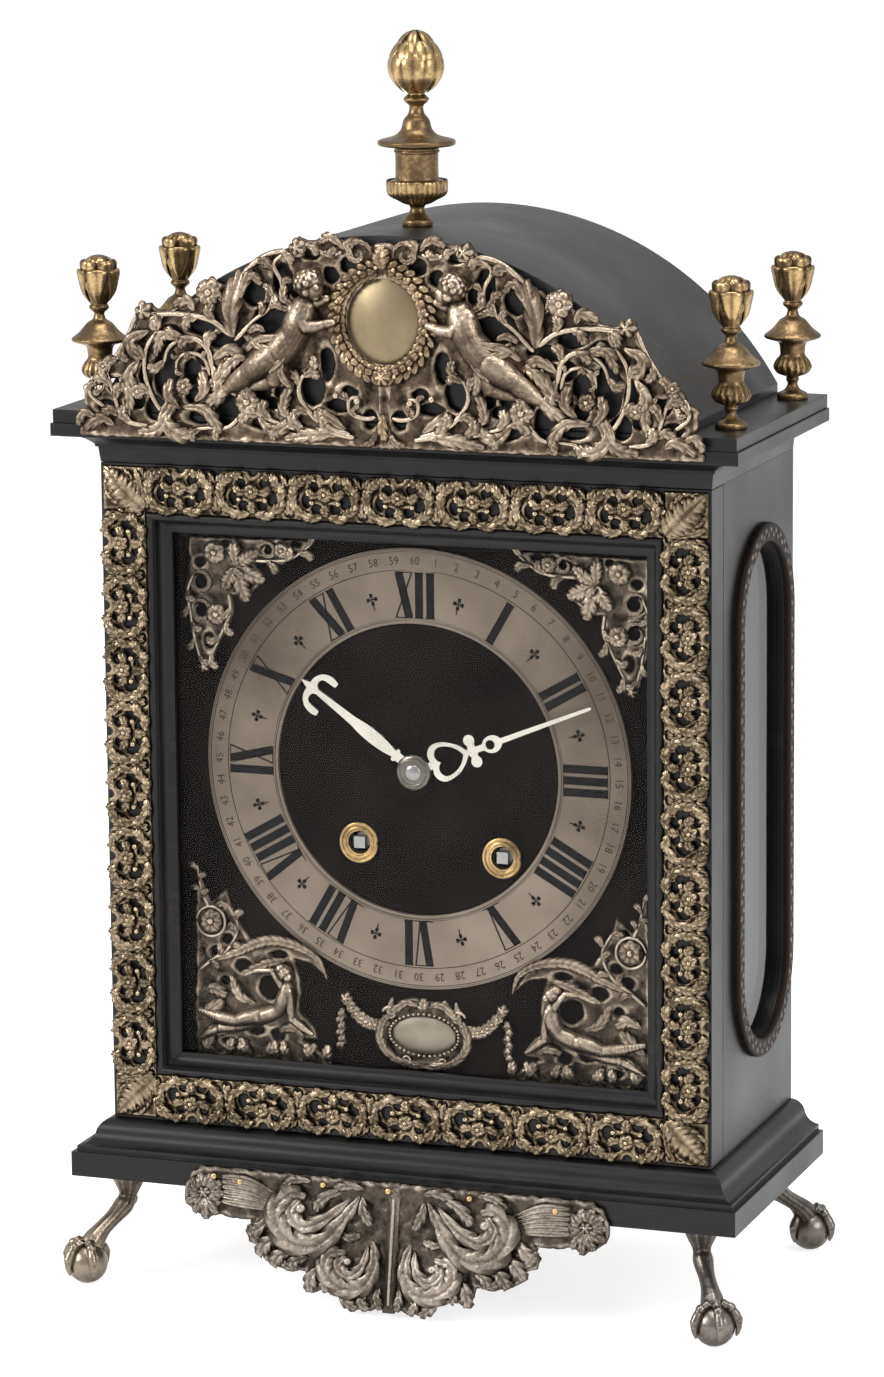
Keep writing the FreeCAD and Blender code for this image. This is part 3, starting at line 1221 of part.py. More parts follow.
def movement_plate(y0, use_front):
    half = PLATE_HALF_WIDTH
    corners = [(-half, -PLATE_BELOW), (half, -PLATE_BELOW), (half, PLATE_ABOVE), (-half, PLATE_ABOVE)]
    outer = Part.makePolygon([Vec(x, y0, DIAL_Z + z) for x, z in corners + corners[:1]])
    holes = []
    for offset, front_radius, back_radius in ARBORS.values():
        radius = front_radius if use_front else back_radius
        holes.append(circle_wire(from_dial(offset), radius + RUNNING_CLEARANCE, y0))
    return sheet(outer, holes, y0, y0 + PLATE_THICKNESS)


def make_front_plate():
    plate = movement_plate(FRONT_PLATE_Y, True)
    stud_front = DIAL_BACK_Y + MINUTE_STUD_GAP
    stud = rod_y(from_dial(MINUTE_WHEEL_AT), MINUTE_STUD_RADIUS, stud_front, FRONT_PLATE_Y)
    return plate.fuse(stud)


def make_back_plate():
    return movement_plate(INNER_BACK_Y, False)


def make_pillars():
    """Four posts between the plates and four that hold the front plate to the dial plate."""
    posts = []
    for x in (-PLATE_HALF_WIDTH + PILLAR_INSET, PLATE_HALF_WIDTH - PILLAR_INSET):
        for z in (-PLATE_BELOW + PILLAR_INSET, PLATE_ABOVE - PILLAR_INSET):
            at = from_dial((x, z))
            shaft = rod_y(at, PILLAR_RADIUS, INNER_FRONT_Y, INNER_BACK_Y)
            knops = []
            for share in (0.25, 0.75):
                middle = mix(INNER_FRONT_Y, INNER_BACK_Y, share)
                knop_centre = Vec(at[0], middle, at[1])
                knops.append(Part.makeTorus(PILLAR_RADIUS, PILLAR_KNOP, knop_centre, Vec(0, 1, 0)))
            posts.append(shaft.multiFuse(knops))
            posts.append(rod_y(at, PILLAR_RADIUS, DIAL_BACK_Y, FRONT_PLATE_Y))
    return Part.makeCompound(posts)


# Going train
GOING_GREAT_PHASE = 0.0
INTERMEDIATE_PINION_PHASE = meshing_phase(GOING_BARREL_AT, GREAT_TEETH, GOING_GREAT_PHASE,
                                          INTERMEDIATE_AT, INTERMEDIATE_PINION)
INTERMEDIATE_PHASE = 0.0
CENTRE_PINION_PHASE = meshing_phase(INTERMEDIATE_AT, INTERMEDIATE_TEETH, INTERMEDIATE_PHASE,
                                    CENTRE_AT, CENTRE_PINION)
CENTRE_PHASE = 0.0
CONTRATE_PINION_PHASE = meshing_phase(CENTRE_AT, CENTRE_TEETH, CENTRE_PHASE, CONTRATE_AT, CONTRATE_PINION)


def make_barrel(offset, phase):
    at = from_dial(offset)
    barrel = rod_y(at, BARREL_RADIUS, *band(BARREL_BAND))
    barrel = barrel.fuse(toothed_wheel(at, GREAT_TEETH, GREAT_MODULE, phase, *band(GREAT_WHEEL_BAND)))
    return barrel.cut(rod_y(at, WINDING_ARBOR_RADIUS + RUNNING_CLEARANCE, INNER_FRONT_Y, INNER_BACK_Y))


def make_winding_arbor(offset):
    """Barrel arbor with its ratchet wheel before the front plate and a winding square at the dial."""
    at = from_dial(offset)
    arbor = rod_y(at, WINDING_ARBOR_RADIUS, DIAL_BACK_Y, BACK_PLATE_Y)
    half = WINDING_SQUARE / 2
    square = box(at[0] - half, at[0] + half, DIAL_Y - WINDING_SQUARE_REACH, DIAL_BACK_Y,
                 at[1] - half, at[1] + half)
    y0, y1 = motion_band(RATCHET_BAND)
    ratchet = []
    for tooth in range(RATCHET_TEETH):
        turn = 360.0 * tooth / RATCHET_TEETH
        ratchet.append(polar(at, RATCHET_RADIUS, turn))
        ratchet.append(polar(at, RATCHET_ROOT_RADIUS, turn + 2.0))
    outline = Part.makePolygon([Vec(x, y0, z) for x, z in ratchet + ratchet[:1]])
    wheel = Part.Face(outline).extrude(Vec(0, y1 - y0, 0))
    return arbor.multiFuse([square, wheel])


def make_intermediate_wheel():
    at = from_dial(INTERMEDIATE_AT)
    pinion = toothed_wheel(at, INTERMEDIATE_PINION, GREAT_MODULE, INTERMEDIATE_PINION_PHASE,
                           *band(GREAT_PINION_BAND), leaf=True)
    wheel = toothed_wheel(at, INTERMEDIATE_TEETH, INTERMEDIATE_MODULE, INTERMEDIATE_PHASE,
                          *band(INTERMEDIATE_WHEEL_BAND), crossings=4)
    return staff(INTERMEDIATE_AT).multiFuse([pinion, wheel])


def make_centre_wheel():
    at = from_dial(CENTRE_AT)
    pinion = toothed_wheel(at, CENTRE_PINION, INTERMEDIATE_MODULE, CENTRE_PINION_PHASE,
                           *band(CENTRE_PINION_BAND), leaf=True)
    wheel = toothed_wheel(at, CENTRE_TEETH, CENTRE_MODULE, CENTRE_PHASE,
                          *band(CENTRE_WHEEL_BAND), crossings=4)
    arbor = staff(CENTRE_AT, front_radius=ARBOR_NOSE_RADIUS, front_y=BOSS_Y - ARBOR_NOSE_LENGTH)
    return arbor.multiFuse([pinion, wheel])


def contrate_radius():
    return CONTRATE_TEETH * CONTRATE_MODULE / 2


def crown_axis_y():
    """The crown wheel stands behind the contrate teeth, a pinion's pitch radius from their pitch line."""
    tips = INNER_FRONT_Y + CONTRATE_DISC_BAND[1] + CONTRATE_TOOTH_HEIGHT
    return tips - ADDENDUM * CONTRATE_MODULE + CROWN_PINION * CONTRATE_MODULE / 2


def make_contrate_wheel():
    """A wheel with its teeth standing on the back of the rim."""
    at = from_dial(CONTRATE_AT)
    pinion = toothed_wheel(at, CONTRATE_PINION, CENTRE_MODULE, CONTRATE_PINION_PHASE,
                           *band(CENTRE_WHEEL_BAND, PINION_SPARE), leaf=True)
    y0, y1 = band(CONTRATE_DISC_BAND)
    radius = contrate_radius()
    rim = radius - CONTRATE_RIM
    disc = sheet(circle_wire(at, radius, y0), [circle_wire(at, rim, y0)], y0, y1)
    arm = ARM_HALF_WIDTH
    reach = mix(rim, radius, 0.2)
    arms = [box(at[0] - reach, at[0] + reach, y0, y1, at[1] - arm, at[1] + arm),
            box(at[0] - arm, at[0] + arm, y0, y1, at[1] - reach, at[1] + reach),
            rod_y(at, HUB_RADIUS, y0, y1)]
    pitch = 2 * math.pi * radius / CONTRATE_TEETH
    root = TOOTH_ROOT_SHARE * pitch
    tip = TOOTH_TIP_SHARE * pitch
    sunk = y1 - TOOTH_SINK
    crest = y1 + CONTRATE_TOOTH_HEIGHT
    corners = [Vec(-root, sunk, 0), Vec(root, sunk, 0), Vec(tip, crest, 0), Vec(-tip, crest, 0)]
    tooth_face = Part.Face(Part.makePolygon(corners + corners[:1]))
    tooth = tooth_face.extrude(Vec(0, 0, CONTRATE_RIM - 2 * TOOTH_SINK))
    tooth.translate(Vec(at[0], 0, at[1] + rim + TOOTH_SINK))
    teeth = []
    for index in range(CONTRATE_TEETH):
        copy = tooth.copy()
        copy.rotate(Vec(at[0], 0, at[1]), Vec(0, 1, 0), 360.0 * index / CONTRATE_TEETH)
        teeth.append(copy)
    wheel = disc.multiFuse(arms).multiFuse(teeth)
    return slim_staff(CONTRATE_AT).multiFuse([pinion, wheel])


def crown_pinion_z():
    return DIAL_Z + CONTRATE_AT[1] + contrate_radius() - CONTRATE_RIM / 2


def crown_tips_z():
    return DIAL_Z + VERGE_ABOVE - CROWN_TIP_BELOW_VERGE


def make_crown_wheel():
    """Upright arbor with a pinion in the contrate teeth and a crown of saw teeth under the verge."""
    y = crown_axis_y()
    middle = crown_pinion_z()
    tips = crown_tips_z()
    leaves = toothed_wheel((0.0, 0.0), CROWN_PINION, CONTRATE_MODULE, math.pi / CROWN_PINION - math.pi / 2,
                           0.0, CROWN_PINION_LENGTH, leaf=True)
    leaves.rotate(Vec(0, 0, 0), Vec(1, 0, 0), 90)
    leaves.translate(Vec(0, y, middle - CROWN_PINION_LENGTH / 2))
    step_z = middle + CROWN_PINION_LENGTH / 2 + PINION_SPARE
    floor_z = tips - CROWN_HEIGHT
    band_z = tips - CROWN_TOOTH_HEIGHT
    arbor = rod_z(0, y, CROWN_PIVOT_RADIUS, potence_levels()[0][0], step_z)
    arbor = arbor.fuse(rod_z(0, y, CROWN_STAFF_RADIUS, step_z, floor_z + 2 * CROWN_FLOOR))
    disc = rod_z(0, y, CROWN_RADIUS, floor_z, floor_z + CROWN_FLOOR)
    drum = rod_z(0, y, CROWN_RADIUS, floor_z, band_z)
    drum = drum.cut(rod_z(0, y, CROWN_RADIUS - CROWN_WALL, floor_z - 1, tips))
    pitch = 2 * math.pi * CROWN_RADIUS / CROWN_TEETH
    sunk = band_z - TOOTH_SINK
    corners = [Vec(-pitch * 0.42, 0, sunk), Vec(pitch * 0.42, 0, sunk),
               Vec(pitch * 0.36, 0, tips), Vec(pitch * 0.22, 0, tips)]
    tooth_face = Part.Face(Part.makePolygon(corners + corners[:1]))
    tooth = tooth_face.extrude(Vec(0, CROWN_WALL - 2 * TOOTH_SINK, 0))
    tooth.translate(Vec(0, y + CROWN_RADIUS - CROWN_WALL + TOOTH_SINK / 2, 0))
    teeth = []
    for index in range(CROWN_TEETH):
        copy = tooth.copy()
        copy.rotate(Vec(0, y, 0), Vec(0, 0, 1), 360.0 * index / CROWN_TEETH)
        teeth.append(copy)
    return arbor.multiFuse([leaves, disc, drum] + teeth)


def potence_levels():
    """Height bands of the two lugs that carry the crown wheel's upright arbor."""
    lower = crown_pinion_z() - CROWN_PINION_LENGTH / 2 - POTENCE_GAP
    upper = crown_tips_z() - CROWN_HEIGHT - POTENCE_GAP
    return (lower - LUG_THICKNESS, lower), (upper - LUG_THICKNESS, upper)


def make_back_cocks():
    """The crown wheel's potence inside the back plate and the pendulum's cock outside it."""
    y = crown_axis_y()
    lower, upper = potence_levels()
    half = POTENCE_HALF_WIDTH
    potence = box(-half, half, INNER_BACK_Y - LUG_THICKNESS, INNER_BACK_Y, lower[0], upper[1])
    for low, high in (lower, upper):
        lug = box(-LUG_HALF_WIDTH, LUG_HALF_WIDTH, y - LUG_NOSE, INNER_BACK_Y, low, high)
        potence = potence.fuse(lug)
    for radius, (low, high) in ((CROWN_PIVOT_RADIUS, lower), (CROWN_STAFF_RADIUS, upper)):
        potence = potence.cut(rod_z(0, y, radius + RUNNING_CLEARANCE, low - 1, high + 1))
    pivot = from_dial(VERGE_AT)
    cheeks = pendulum_cheeks()
    arm_z = pivot[1] + COCK_ARM_RISE
    arm = box(-COCK_HALF_WIDTH, COCK_HALF_WIDTH, BACK_PLATE_Y, cheeks[1][1], arm_z, DIAL_Z + PLATE_ABOVE)
    for low, high in cheeks:
        arm = arm.fuse(box(-half, half, low, high, pivot[1] - CHEEK_DROP, arm_z))
    pin = rod_y(pivot, SUSPENSION_PIN_RADIUS, cheeks[0][0], cheeks[1][1])
    return Part.makeCompound([potence, arm.fuse(pin)])


def pendulum_y():
    return BACK_PLATE_Y + PENDULUM_GAP


def pendulum_cheeks():
    """Depth bands of the cock's two cheeks, before and behind the pendulum's eye."""
    y = pendulum_y()
    near = CHEEK_GAP / 2
    far = near + CHEEK_THICKNESS
    return (y - far, y - near), (y + near, y + far)


def make_verge():
    """Verge arbor with two pallet flags over the crown wheel and a crutch behind the back plate."""
    at = from_dial(VERGE_AT)
    crutch_y = BACK_PLATE_Y + CRUTCH_GAP
    crutch_back = crutch_y + CRUTCH_THICKNESS
    arbor = staff(VERGE_AT, back_radius=THROUGH_RADIUS, back_y=crutch_back)
    pallet_reach = CROWN_TIP_BELOW_VERGE - PALLET_CLEARANCE
    half_flag = PALLET_THICKNESS / 2
    pieces = []
    for end in (-1, 1):
        middle = crown_axis_y() + end * (CROWN_RADIUS - CROWN_WALL / 2)
        flag = box(at[0] - half_flag, at[0] + half_flag, middle - PALLET_WIDTH / 2,
                   middle + PALLET_WIDTH / 2, at[1] - pallet_reach, at[1])
        flag.rotate(Vec(at[0], 0, at[1]), Vec(0, 1, 0), -end * PALLET_HALF_ANGLE)
        pieces.append(flag)
    fork_z = at[1] - FORK_DROP
    fork_x = ROD_RADIUS + FACE_GAP + FORK_PRONG_RADIUS
    foot_half = fork_x + 2 * FORK_PRONG_RADIUS
    low = fork_z - CRUTCH_HALF_WIDTH
    pieces.append(box(-CRUTCH_HALF_WIDTH, CRUTCH_HALF_WIDTH, crutch_y, crutch_back, low, at[1]))
    pieces.append(box(-foot_half, foot_half, crutch_y, crutch_back, low, fork_z + CRUTCH_HALF_WIDTH))
    prong_end = pendulum_y() + 2 * ROD_RADIUS
    for side in (-1, 1):
        pieces.append(rod_y((side * fork_x, fork_z), FORK_PRONG_RADIUS, crutch_y, prong_end))
    return arbor.multiFuse(pieces)


def make_pendulum_rod():
    y = pendulum_y()
    pivot = from_dial(VERGE_AT)
    nut_top = pivot[1] - PENDULUM_LENGTH - BOB_RADIUS
    nut_foot = nut_top - RATING_NUT_HEIGHT
    eye = rod_y(pivot, ROD_EYE_RADIUS, y - ROD_EYE_WIDTH / 2, y + ROD_EYE_WIDTH / 2)
    rod = eye.fuse(rod_z(0, y, ROD_RADIUS, nut_foot - RATING_NUT_HEIGHT, pivot[1] - ROD_EYE_RADIUS / 2))
    bore = SUSPENSION_PIN_RADIUS + RUNNING_CLEARANCE
    rod = rod.cut(rod_y(pivot, bore, y - ROD_EYE_WIDTH, y + ROD_EYE_WIDTH))
    return rod.fuse(rod_z(0, y, RATING_NUT_RADIUS, nut_foot, nut_top))


def make_pendulum_bob():
    """A lens of two spherical caps, bored for the rod and resting on its nut."""
    y = pendulum_y()
    z = from_dial(VERGE_AT)[1] - PENDULUM_LENGTH
    half = BOB_THICKNESS / 2
    ball = (BOB_RADIUS ** 2 + half ** 2) / (2 * half)
    front = Part.makeSphere(ball, Vec(0, y - half + ball, z))
    back = Part.makeSphere(ball, Vec(0, y + half - ball, z))
    lens = front.common(back)
    return lens.cut(rod_z(0, y, ROD_RADIUS + HAND_SEAT_CLEARANCE, z - 2 * BOB_RADIUS, z + 2 * BOB_RADIUS))


# Motion work behind the dial
CANNON_PHASE = 0.0
MINUTE_PHASE = meshing_phase(CENTRE_AT, CANNON_TEETH, CANNON_PHASE, MINUTE_WHEEL_AT, MINUTE_TEETH)
MINUTE_PINION_PHASE = 0.0
HOUR_PHASE = meshing_phase(MINUTE_WHEEL_AT, MINUTE_PINION, MINUTE_PINION_PHASE, CENTRE_AT, HOUR_TEETH)


def make_cannon_wheel():
    at = from_dial(CENTRE_AT)
    wheel = toothed_wheel(at, CANNON_TEETH, CANNON_MODULE, CANNON_PHASE, *motion_band(CANNON_BAND))
    pipe = rod_y(at, CANNON_PIPE_RADIUS, MINUTE_HAND_Y, FRONT_PLATE_Y - CANNON_BAND[0])
    return wheel.fuse(pipe).cut(rod_y(at, CANNON_BORE_RADIUS, MINUTE_HAND_Y - 1, FRONT_PLATE_Y))


def make_minute_wheel():
    at = from_dial(MINUTE_WHEEL_AT)
    wheel = toothed_wheel(at, MINUTE_TEETH, CANNON_MODULE, MINUTE_PHASE,
                          *motion_band(MINUTE_WHEEL_BAND), crossings=4)
    pinion = toothed_wheel(at, MINUTE_PINION, HOUR_MODULE, MINUTE_PINION_PHASE,
                           *motion_band(MINUTE_PINION_BAND), leaf=True)
    bore = rod_y(at, MINUTE_STUD_RADIUS + RUNNING_CLEARANCE, DIAL_BACK_Y, FRONT_PLATE_Y)
    return wheel.fuse(pinion).cut(bore)


def make_hour_wheel():
    at = from_dial(CENTRE_AT)
    wheel = toothed_wheel(at, HOUR_TEETH, HOUR_MODULE, HOUR_PHASE, *motion_band(HOUR_WHEEL_BAND))
    pipe = rod_y(at, HOUR_PIPE_RADIUS, HOUR_HAND_Y, FRONT_PLATE_Y - HOUR_WHEEL_BAND[0])
    return wheel.fuse(pipe).cut(rod_y(at, HOUR_PIPE_BORE, HOUR_HAND_Y - 1, FRONT_PLATE_Y))


# Striking train
STRIKE_GREAT_PHASE = 0.0
COUNT_PINION_PHASE = meshing_phase(STRIKE_BARREL_AT, GREAT_TEETH, STRIKE_GREAT_PHASE,
                                   COUNT_AT, COUNT_PINION)
COUNT_PHASE = 0.0
PIN_PINION_PHASE = meshing_phase(COUNT_AT, COUNT_TEETH, COUNT_PHASE, PIN_AT, PIN_PINION)
PIN_PHASE = 0.0
LOCK_PINION_PHASE = meshing_phase(PIN_AT, PIN_TEETH, PIN_PHASE, LOCK_AT, LOCK_PINION)
LOCK_PHASE = 0.0
FLY_PINION_PHASE = meshing_phase(LOCK_AT, LOCK_TEETH, LOCK_PHASE, FLY_AT, FLY_PINION)


def count_plate_wire(at, y):
    """Edge of the count plate: a notch after one, two, three strokes and so on up to twelve."""
    notch_floor = COUNT_PLATE_RADIUS - COUNT_NOTCH_DEPTH
    points = []
    strokes = 0
    for hour in range(1, 13):
        begin = 360.0 * strokes / STROKES_IN_ALL
        end = 360.0 * (strokes + hour) / STROKES_IN_ALL
        points += [polar(at, notch_floor, begin - 1.0), polar(at, notch_floor, begin + 1.0)]
        spans = max(1, int((end - begin) / 8.0))
        for span in range(spans + 1):
            points.append(polar(at, COUNT_PLATE_RADIUS, mix(begin + 1.4, end - 1.4, span / spans)))
        strokes += hour
    return Part.makePolygon([Vec(x, y, z) for x, z in points + points[:1]])


def make_count_arbor():
    """Second wheel of the striking train with the count plate on its end behind the back plate."""
    at = from_dial(COUNT_AT)
    pinion = toothed_wheel(at, COUNT_PINION, GREAT_MODULE, COUNT_PINION_PHASE,
                           *band(GREAT_PINION_BAND), leaf=True)
    wheel = toothed_wheel(at, COUNT_TEETH, COUNT_MODULE, COUNT_PHASE, *band(COUNT_WHEEL_BAND), crossings=4)
    plate_y = BACK_PLATE_Y + COUNT_PLATE_GAP
    arbor = staff(COUNT_AT, radius=THROUGH_STAFF_RADIUS, back_radius=THROUGH_RADIUS,
                  back_y=plate_y + 2 * COUNT_PLATE_THICKNESS)
    plate = Part.Face(count_plate_wire(at, plate_y)).extrude(Vec(0, COUNT_PLATE_THICKNESS, 0))
    return arbor.multiFuse([pinion, wheel, plate])


def make_pin_wheel():
    at = from_dial(PIN_AT)
    pinion = toothed_wheel(at, PIN_PINION, COUNT_MODULE, PIN_PINION_PHASE,
                           *band(COUNT_WHEEL_BAND, PINION_SPARE), leaf=True)
    wheel = toothed_wheel(at, PIN_TEETH, PIN_MODULE, PIN_PHASE, *band(PIN_WHEEL_BAND))
    y0, y1 = band(PIN_WHEEL_BAND)
    pins = []
    for index in range(PIN_COUNT):
        pin_at = polar(at, PIN_CIRCLE_RADIUS, 360.0 * index / PIN_COUNT)
        pins.append(rod_y(pin_at, PIN_RADIUS, y0, y1 + PIN_LENGTH))
    return slim_staff(PIN_AT).multiFuse([pinion, wheel] + pins)


def make_locking_wheel():
    at = from_dial(LOCK_AT)
    pinion = toothed_wheel(at, LOCK_PINION, PIN_MODULE, LOCK_PINION_PHASE,
                           *band(PIN_WHEEL_BAND, PINION_SPARE), leaf=True)
    wheel = toothed_wheel(at, LOCK_TEETH, LOCK_MODULE, LOCK_PHASE, *band(LOCK_WHEEL_BAND))
    y0, y1 = band(LOCK_WHEEL_BAND)
    hoop = sheet(circle_wire(at, HOOP_RADIUS, y1), [circle_wire(at, HOOP_RADIUS - HOOP_WALL, y1)],
                 y1, y1 + HOOP_HEIGHT)
    gap = box(at[0], at[0] + 2 * HOOP_RADIUS, y1, y1 + 2 * HOOP_HEIGHT,
              at[1] - HOOP_WALL, at[1] + HOOP_WALL)
    return slim_staff(LOCK_AT).multiFuse([pinion, wheel, hoop.cut(gap)])


def make_fly():
    at = from_dial(FLY_AT)
    pinion = toothed_wheel(at, FLY_PINION, LOCK_MODULE, FLY_PINION_PHASE,
                           *band(LOCK_WHEEL_BAND, PINION_SPARE), leaf=True)
    y0, y1 = band(FLY_BAND)
    half = FLY_THICKNESS / 2
    vane = box(at[0] - FLY_RADIUS, at[0] + FLY_RADIUS, y0, y1, at[1] - half, at[1] + half)
    return slim_staff(FLY_AT).multiFuse([pinion, vane])


def bell_mouth_z():
    return TOP_BOARD_Z - BELL_HEADROOM - BELL_NUT_HEIGHT - BELL_HEIGHT


def bell_y():
    return (INNER_FRONT_Y + INNER_BACK_Y) / 2


def make_bell():
    mouth = bell_mouth_z()
    top = mouth + BELL_HEIGHT
    bore = BELL_POST_RADIUS + RUNNING_CLEARANCE
    start = (BELL_RADIUS, mouth)
    inner = BELL_RADIUS - BELL_WALL
    crown = BELL_CROWN_RADIUS
    underside = top - BELL_WALL
    steps = [((BELL_RADIUS * 0.76, mix(mouth, top, 0.72)), (crown, top)), ((bore, top),),
             ((bore, underside),), ((crown, underside),),
             ((inner * 0.75, mix(mouth, underside, 0.72)), (inner, mouth)), (start,)]
    wire = closed_wire(start, steps, lambda r, z: Vec(r, 0, z))
    bell = Part.Face(wire).revolve(Vec(0, 0, 0), Vec(0, 0, 1), 360)
    bell.translate(Vec(0, bell_y(), 0))
    return bell


def make_bell_stand():
    """A strap over both plates, a post, a shoulder inside the bell's crown and a nut on top of it."""
    strap_z = DIAL_Z + PLATE_ABOVE
    top = bell_mouth_z() + BELL_HEIGHT
    half = BELL_NUT_RADIUS
    stand = box(-half, half, FRONT_PLATE_Y, BACK_PLATE_Y, strap_z, strap_z + STRAP_THICKNESS)
    post = rod_z(0, bell_y(), BELL_POST_RADIUS, strap_z, top + BELL_NUT_HEIGHT)
    seat_z = top - BELL_WALL
    shoulder = rod_z(0, bell_y(), BELL_SHOULDER_RADIUS, seat_z - BELL_NUT_HEIGHT, seat_z)
    nut = rod_z(0, bell_y(), BELL_NUT_RADIUS, top, top + BELL_NUT_HEIGHT)
    return stand.multiFuse([post, shoulder, nut])


def make_hammer():
    """Hammer on its own arbor: a tail towards the lifting pins and a head beside the bell's rim."""
    at = from_dial(HAMMER_AT)
    y0, y1 = band(HAMMER_BAND)
    head_z = bell_mouth_z() + HAMMER_HEAD_RISE
    head_end = -BELL_RADIUS - HAMMER_GAP
    head_start = head_end - HAMMER_HEAD_LENGTH
    arm = [(at[0] - 2.2, at[1] - 2.0), (at[0] + 2.2, at[1] - 2.0),
           (head_start + 5.5, head_z), (head_start + 2.5, head_z)]
    arm_face = Part.Face(Part.makePolygon([Vec(x, y0, z) for x, z in arm + arm[:1]]))
    head = rod_x((y0 + y1) / 2, head_z, HAMMER_HEAD_RADIUS, head_start, head_end)
    wheel_centre = from_dial(PIN_AT)
    heading = math.degrees(math.atan2(at[1] - wheel_centre[1], at[0] - wheel_centre[0]))
    tail_end = polar(wheel_centre, PIN_CIRCLE_RADIUS + PIN_RADIUS + HAMMER_GAP, heading)
    t0, t1 = band((PIN_WHEEL_BAND[1] + 2 * STAFF_SHAKE, HAMMER_BAND[1]))
    tail = [polar(at, 1.5, heading + 90), polar(at, 1.5, heading - 90),
            polar(tail_end, 0.6, heading - 90), polar(tail_end, 0.6, heading + 90)]
    tail_face = Part.Face(Part.makePolygon([Vec(x, t0, z) for x, z in tail + tail[:1]]))
    pieces = [arm_face.extrude(Vec(0, y1 - y0, 0)), head, tail_face.extrude(Vec(0, t1 - t0, 0))]
    return staff(HAMMER_AT).multiFuse(pieces)


def make_detent():
    """Striking detent: an arm over the count plate behind the back plate and a lifting arm in front."""
    at = from_dial(DETENT_AT)
    plate_centre = from_dial(COUNT_AT)
    back_y = BACK_PLATE_Y + COUNT_PLATE_GAP + COUNT_PLATE_THICKNESS
    front_y, front_back = motion_band(DETENT_ARM_BAND)
    arbor = staff(DETENT_AT, THROUGH_STAFF_RADIUS, THROUGH_RADIUS, THROUGH_RADIUS, front_y, back_y)
    nib = polar(plate_centre, COUNT_PLATE_RADIUS + DETENT_GAP, 90)
    lifted_end = polar(from_dial(CENTRE_AT), 21.0, 118.0)
    arms = []
    for y0, y1, end in ((back_y - COUNT_PLATE_THICKNESS, back_y, nib), (front_y, front_back, lifted_end)):
        along = math.atan2(end[1] - at[1], end[0] - at[0])
        side = Vec(-math.sin(along), 0, math.cos(along))
        corners = [Vec(at[0], y0, at[1]) + side * 2.0, Vec(at[0], y0, at[1]) - side * 2.0,
                   Vec(end[0], y0, end[1]) - side * 0.8, Vec(end[0], y0, end[1]) + side * 0.8]
        face = Part.Face(Part.makePolygon(corners + corners[:1]))
        arms.append(face.extrude(Vec(0, y1 - y0, 0)))
    return arbor.multiFuse(arms)


def save(name, shape):
    solids = shape.Solids
    saved = solids[0] if len(solids) == 1 else Part.makeCompound(solids)
    saved.exportStep(os.path.join("parts", name + ".step"))


def main():
    os.makedirs("parts", exist_ok=True)
    panel = make_side_panel()
    bead = make_window_bead()
    pane = make_window_pane()
    fixed_leaves, door_leaves, back_leaves = make_hinges()
    save("plinth", make_plinth())
    save("base_board", make_base_board())
    save("right_side_panel", bore_for_button(panel))
    save("left_side_panel", mirror_x(panel))
    save("window_beads", Part.makeCompound([bead, mirror_x(bead)]))
    save("window_panes", Part.makeCompound([pane, mirror_x(pane)]))
    save("cornice", make_cornice())
    save("top_board", make_top_board())
    save("arched_roof", make_roof())
    save("tympana", make_tympana())
    save("cresting", make_cresting())
    save("cresting_plaque", make_plaque())
    save("corner_finials", make_corner_finials())
    save("top_finial", make_top_finial())
    save("claw_feet", make_feet())
    save("apron", make_apron())
    save("fixed_hinge_leaves", fixed_leaves)
    save("door_frame", make_door_frame())
    save("door_moulding", make_door_moulding())
    save("door_glass", make_door_glass())
    save("door_border", make_door_border())
    save("door_hinge_leaves", door_leaves)
    save("back_panel", make_back_panel())
    save("back_hinge_leaves", back_leaves)
    save("turn_button", make_turn_button())
    save("dial_plate", make_dial_plate())
    save("chapter_ring", make_chapter_ring())
    save("dial_spandrels", make_spandrels())
    save("dial_cartouche", make_cartouche())
    save("winding_collets", make_collets())
    save("hour_hand", make_hour_hand())
    save("minute_hand", make_minute_hand())
    save("hand_collet", make_hand_collet())
    save("cannon_wheel", make_cannon_wheel())
    save("minute_wheel", make_minute_wheel())
    save("hour_wheel", make_hour_wheel())
    save("front_plate", make_front_plate())
    save("back_plate", make_back_plate())
    save("movement_pillars", make_pillars())
    save("back_cocks", make_back_cocks())
    save("going_barrel", make_barrel(GOING_BARREL_AT, GOING_GREAT_PHASE))
    save("going_winding_arbor", make_winding_arbor(GOING_BARREL_AT))
    save("intermediate_wheel", make_intermediate_wheel())
    save("centre_wheel", make_centre_wheel())
    save("contrate_wheel", make_contrate_wheel())
    save("crown_wheel", make_crown_wheel())
    save("verge", make_verge())
    save("pendulum_rod", make_pendulum_rod())
    save("pendulum_bob", make_pendulum_bob())
    save("strike_barrel", make_barrel(STRIKE_BARREL_AT, STRIKE_GREAT_PHASE))
    save("strike_winding_arbor", make_winding_arbor(STRIKE_BARREL_AT))
    save("count_arbor", make_count_arbor())
    save("pin_wheel", make_pin_wheel())
    save("locking_wheel", make_locking_wheel())
    save("fly", make_fly())
    save("bell", make_bell())
    save("bell_stand", make_bell_stand())
    save("strike_hammer", make_hammer())
    save("strike_detent", make_detent())


main()
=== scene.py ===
from math import atan2, copysign, cos, degrees, exp, hypot, pi, radians, sin, sqrt

import bmesh
import bpy
from mathutils import Matrix, Vector, noise as field


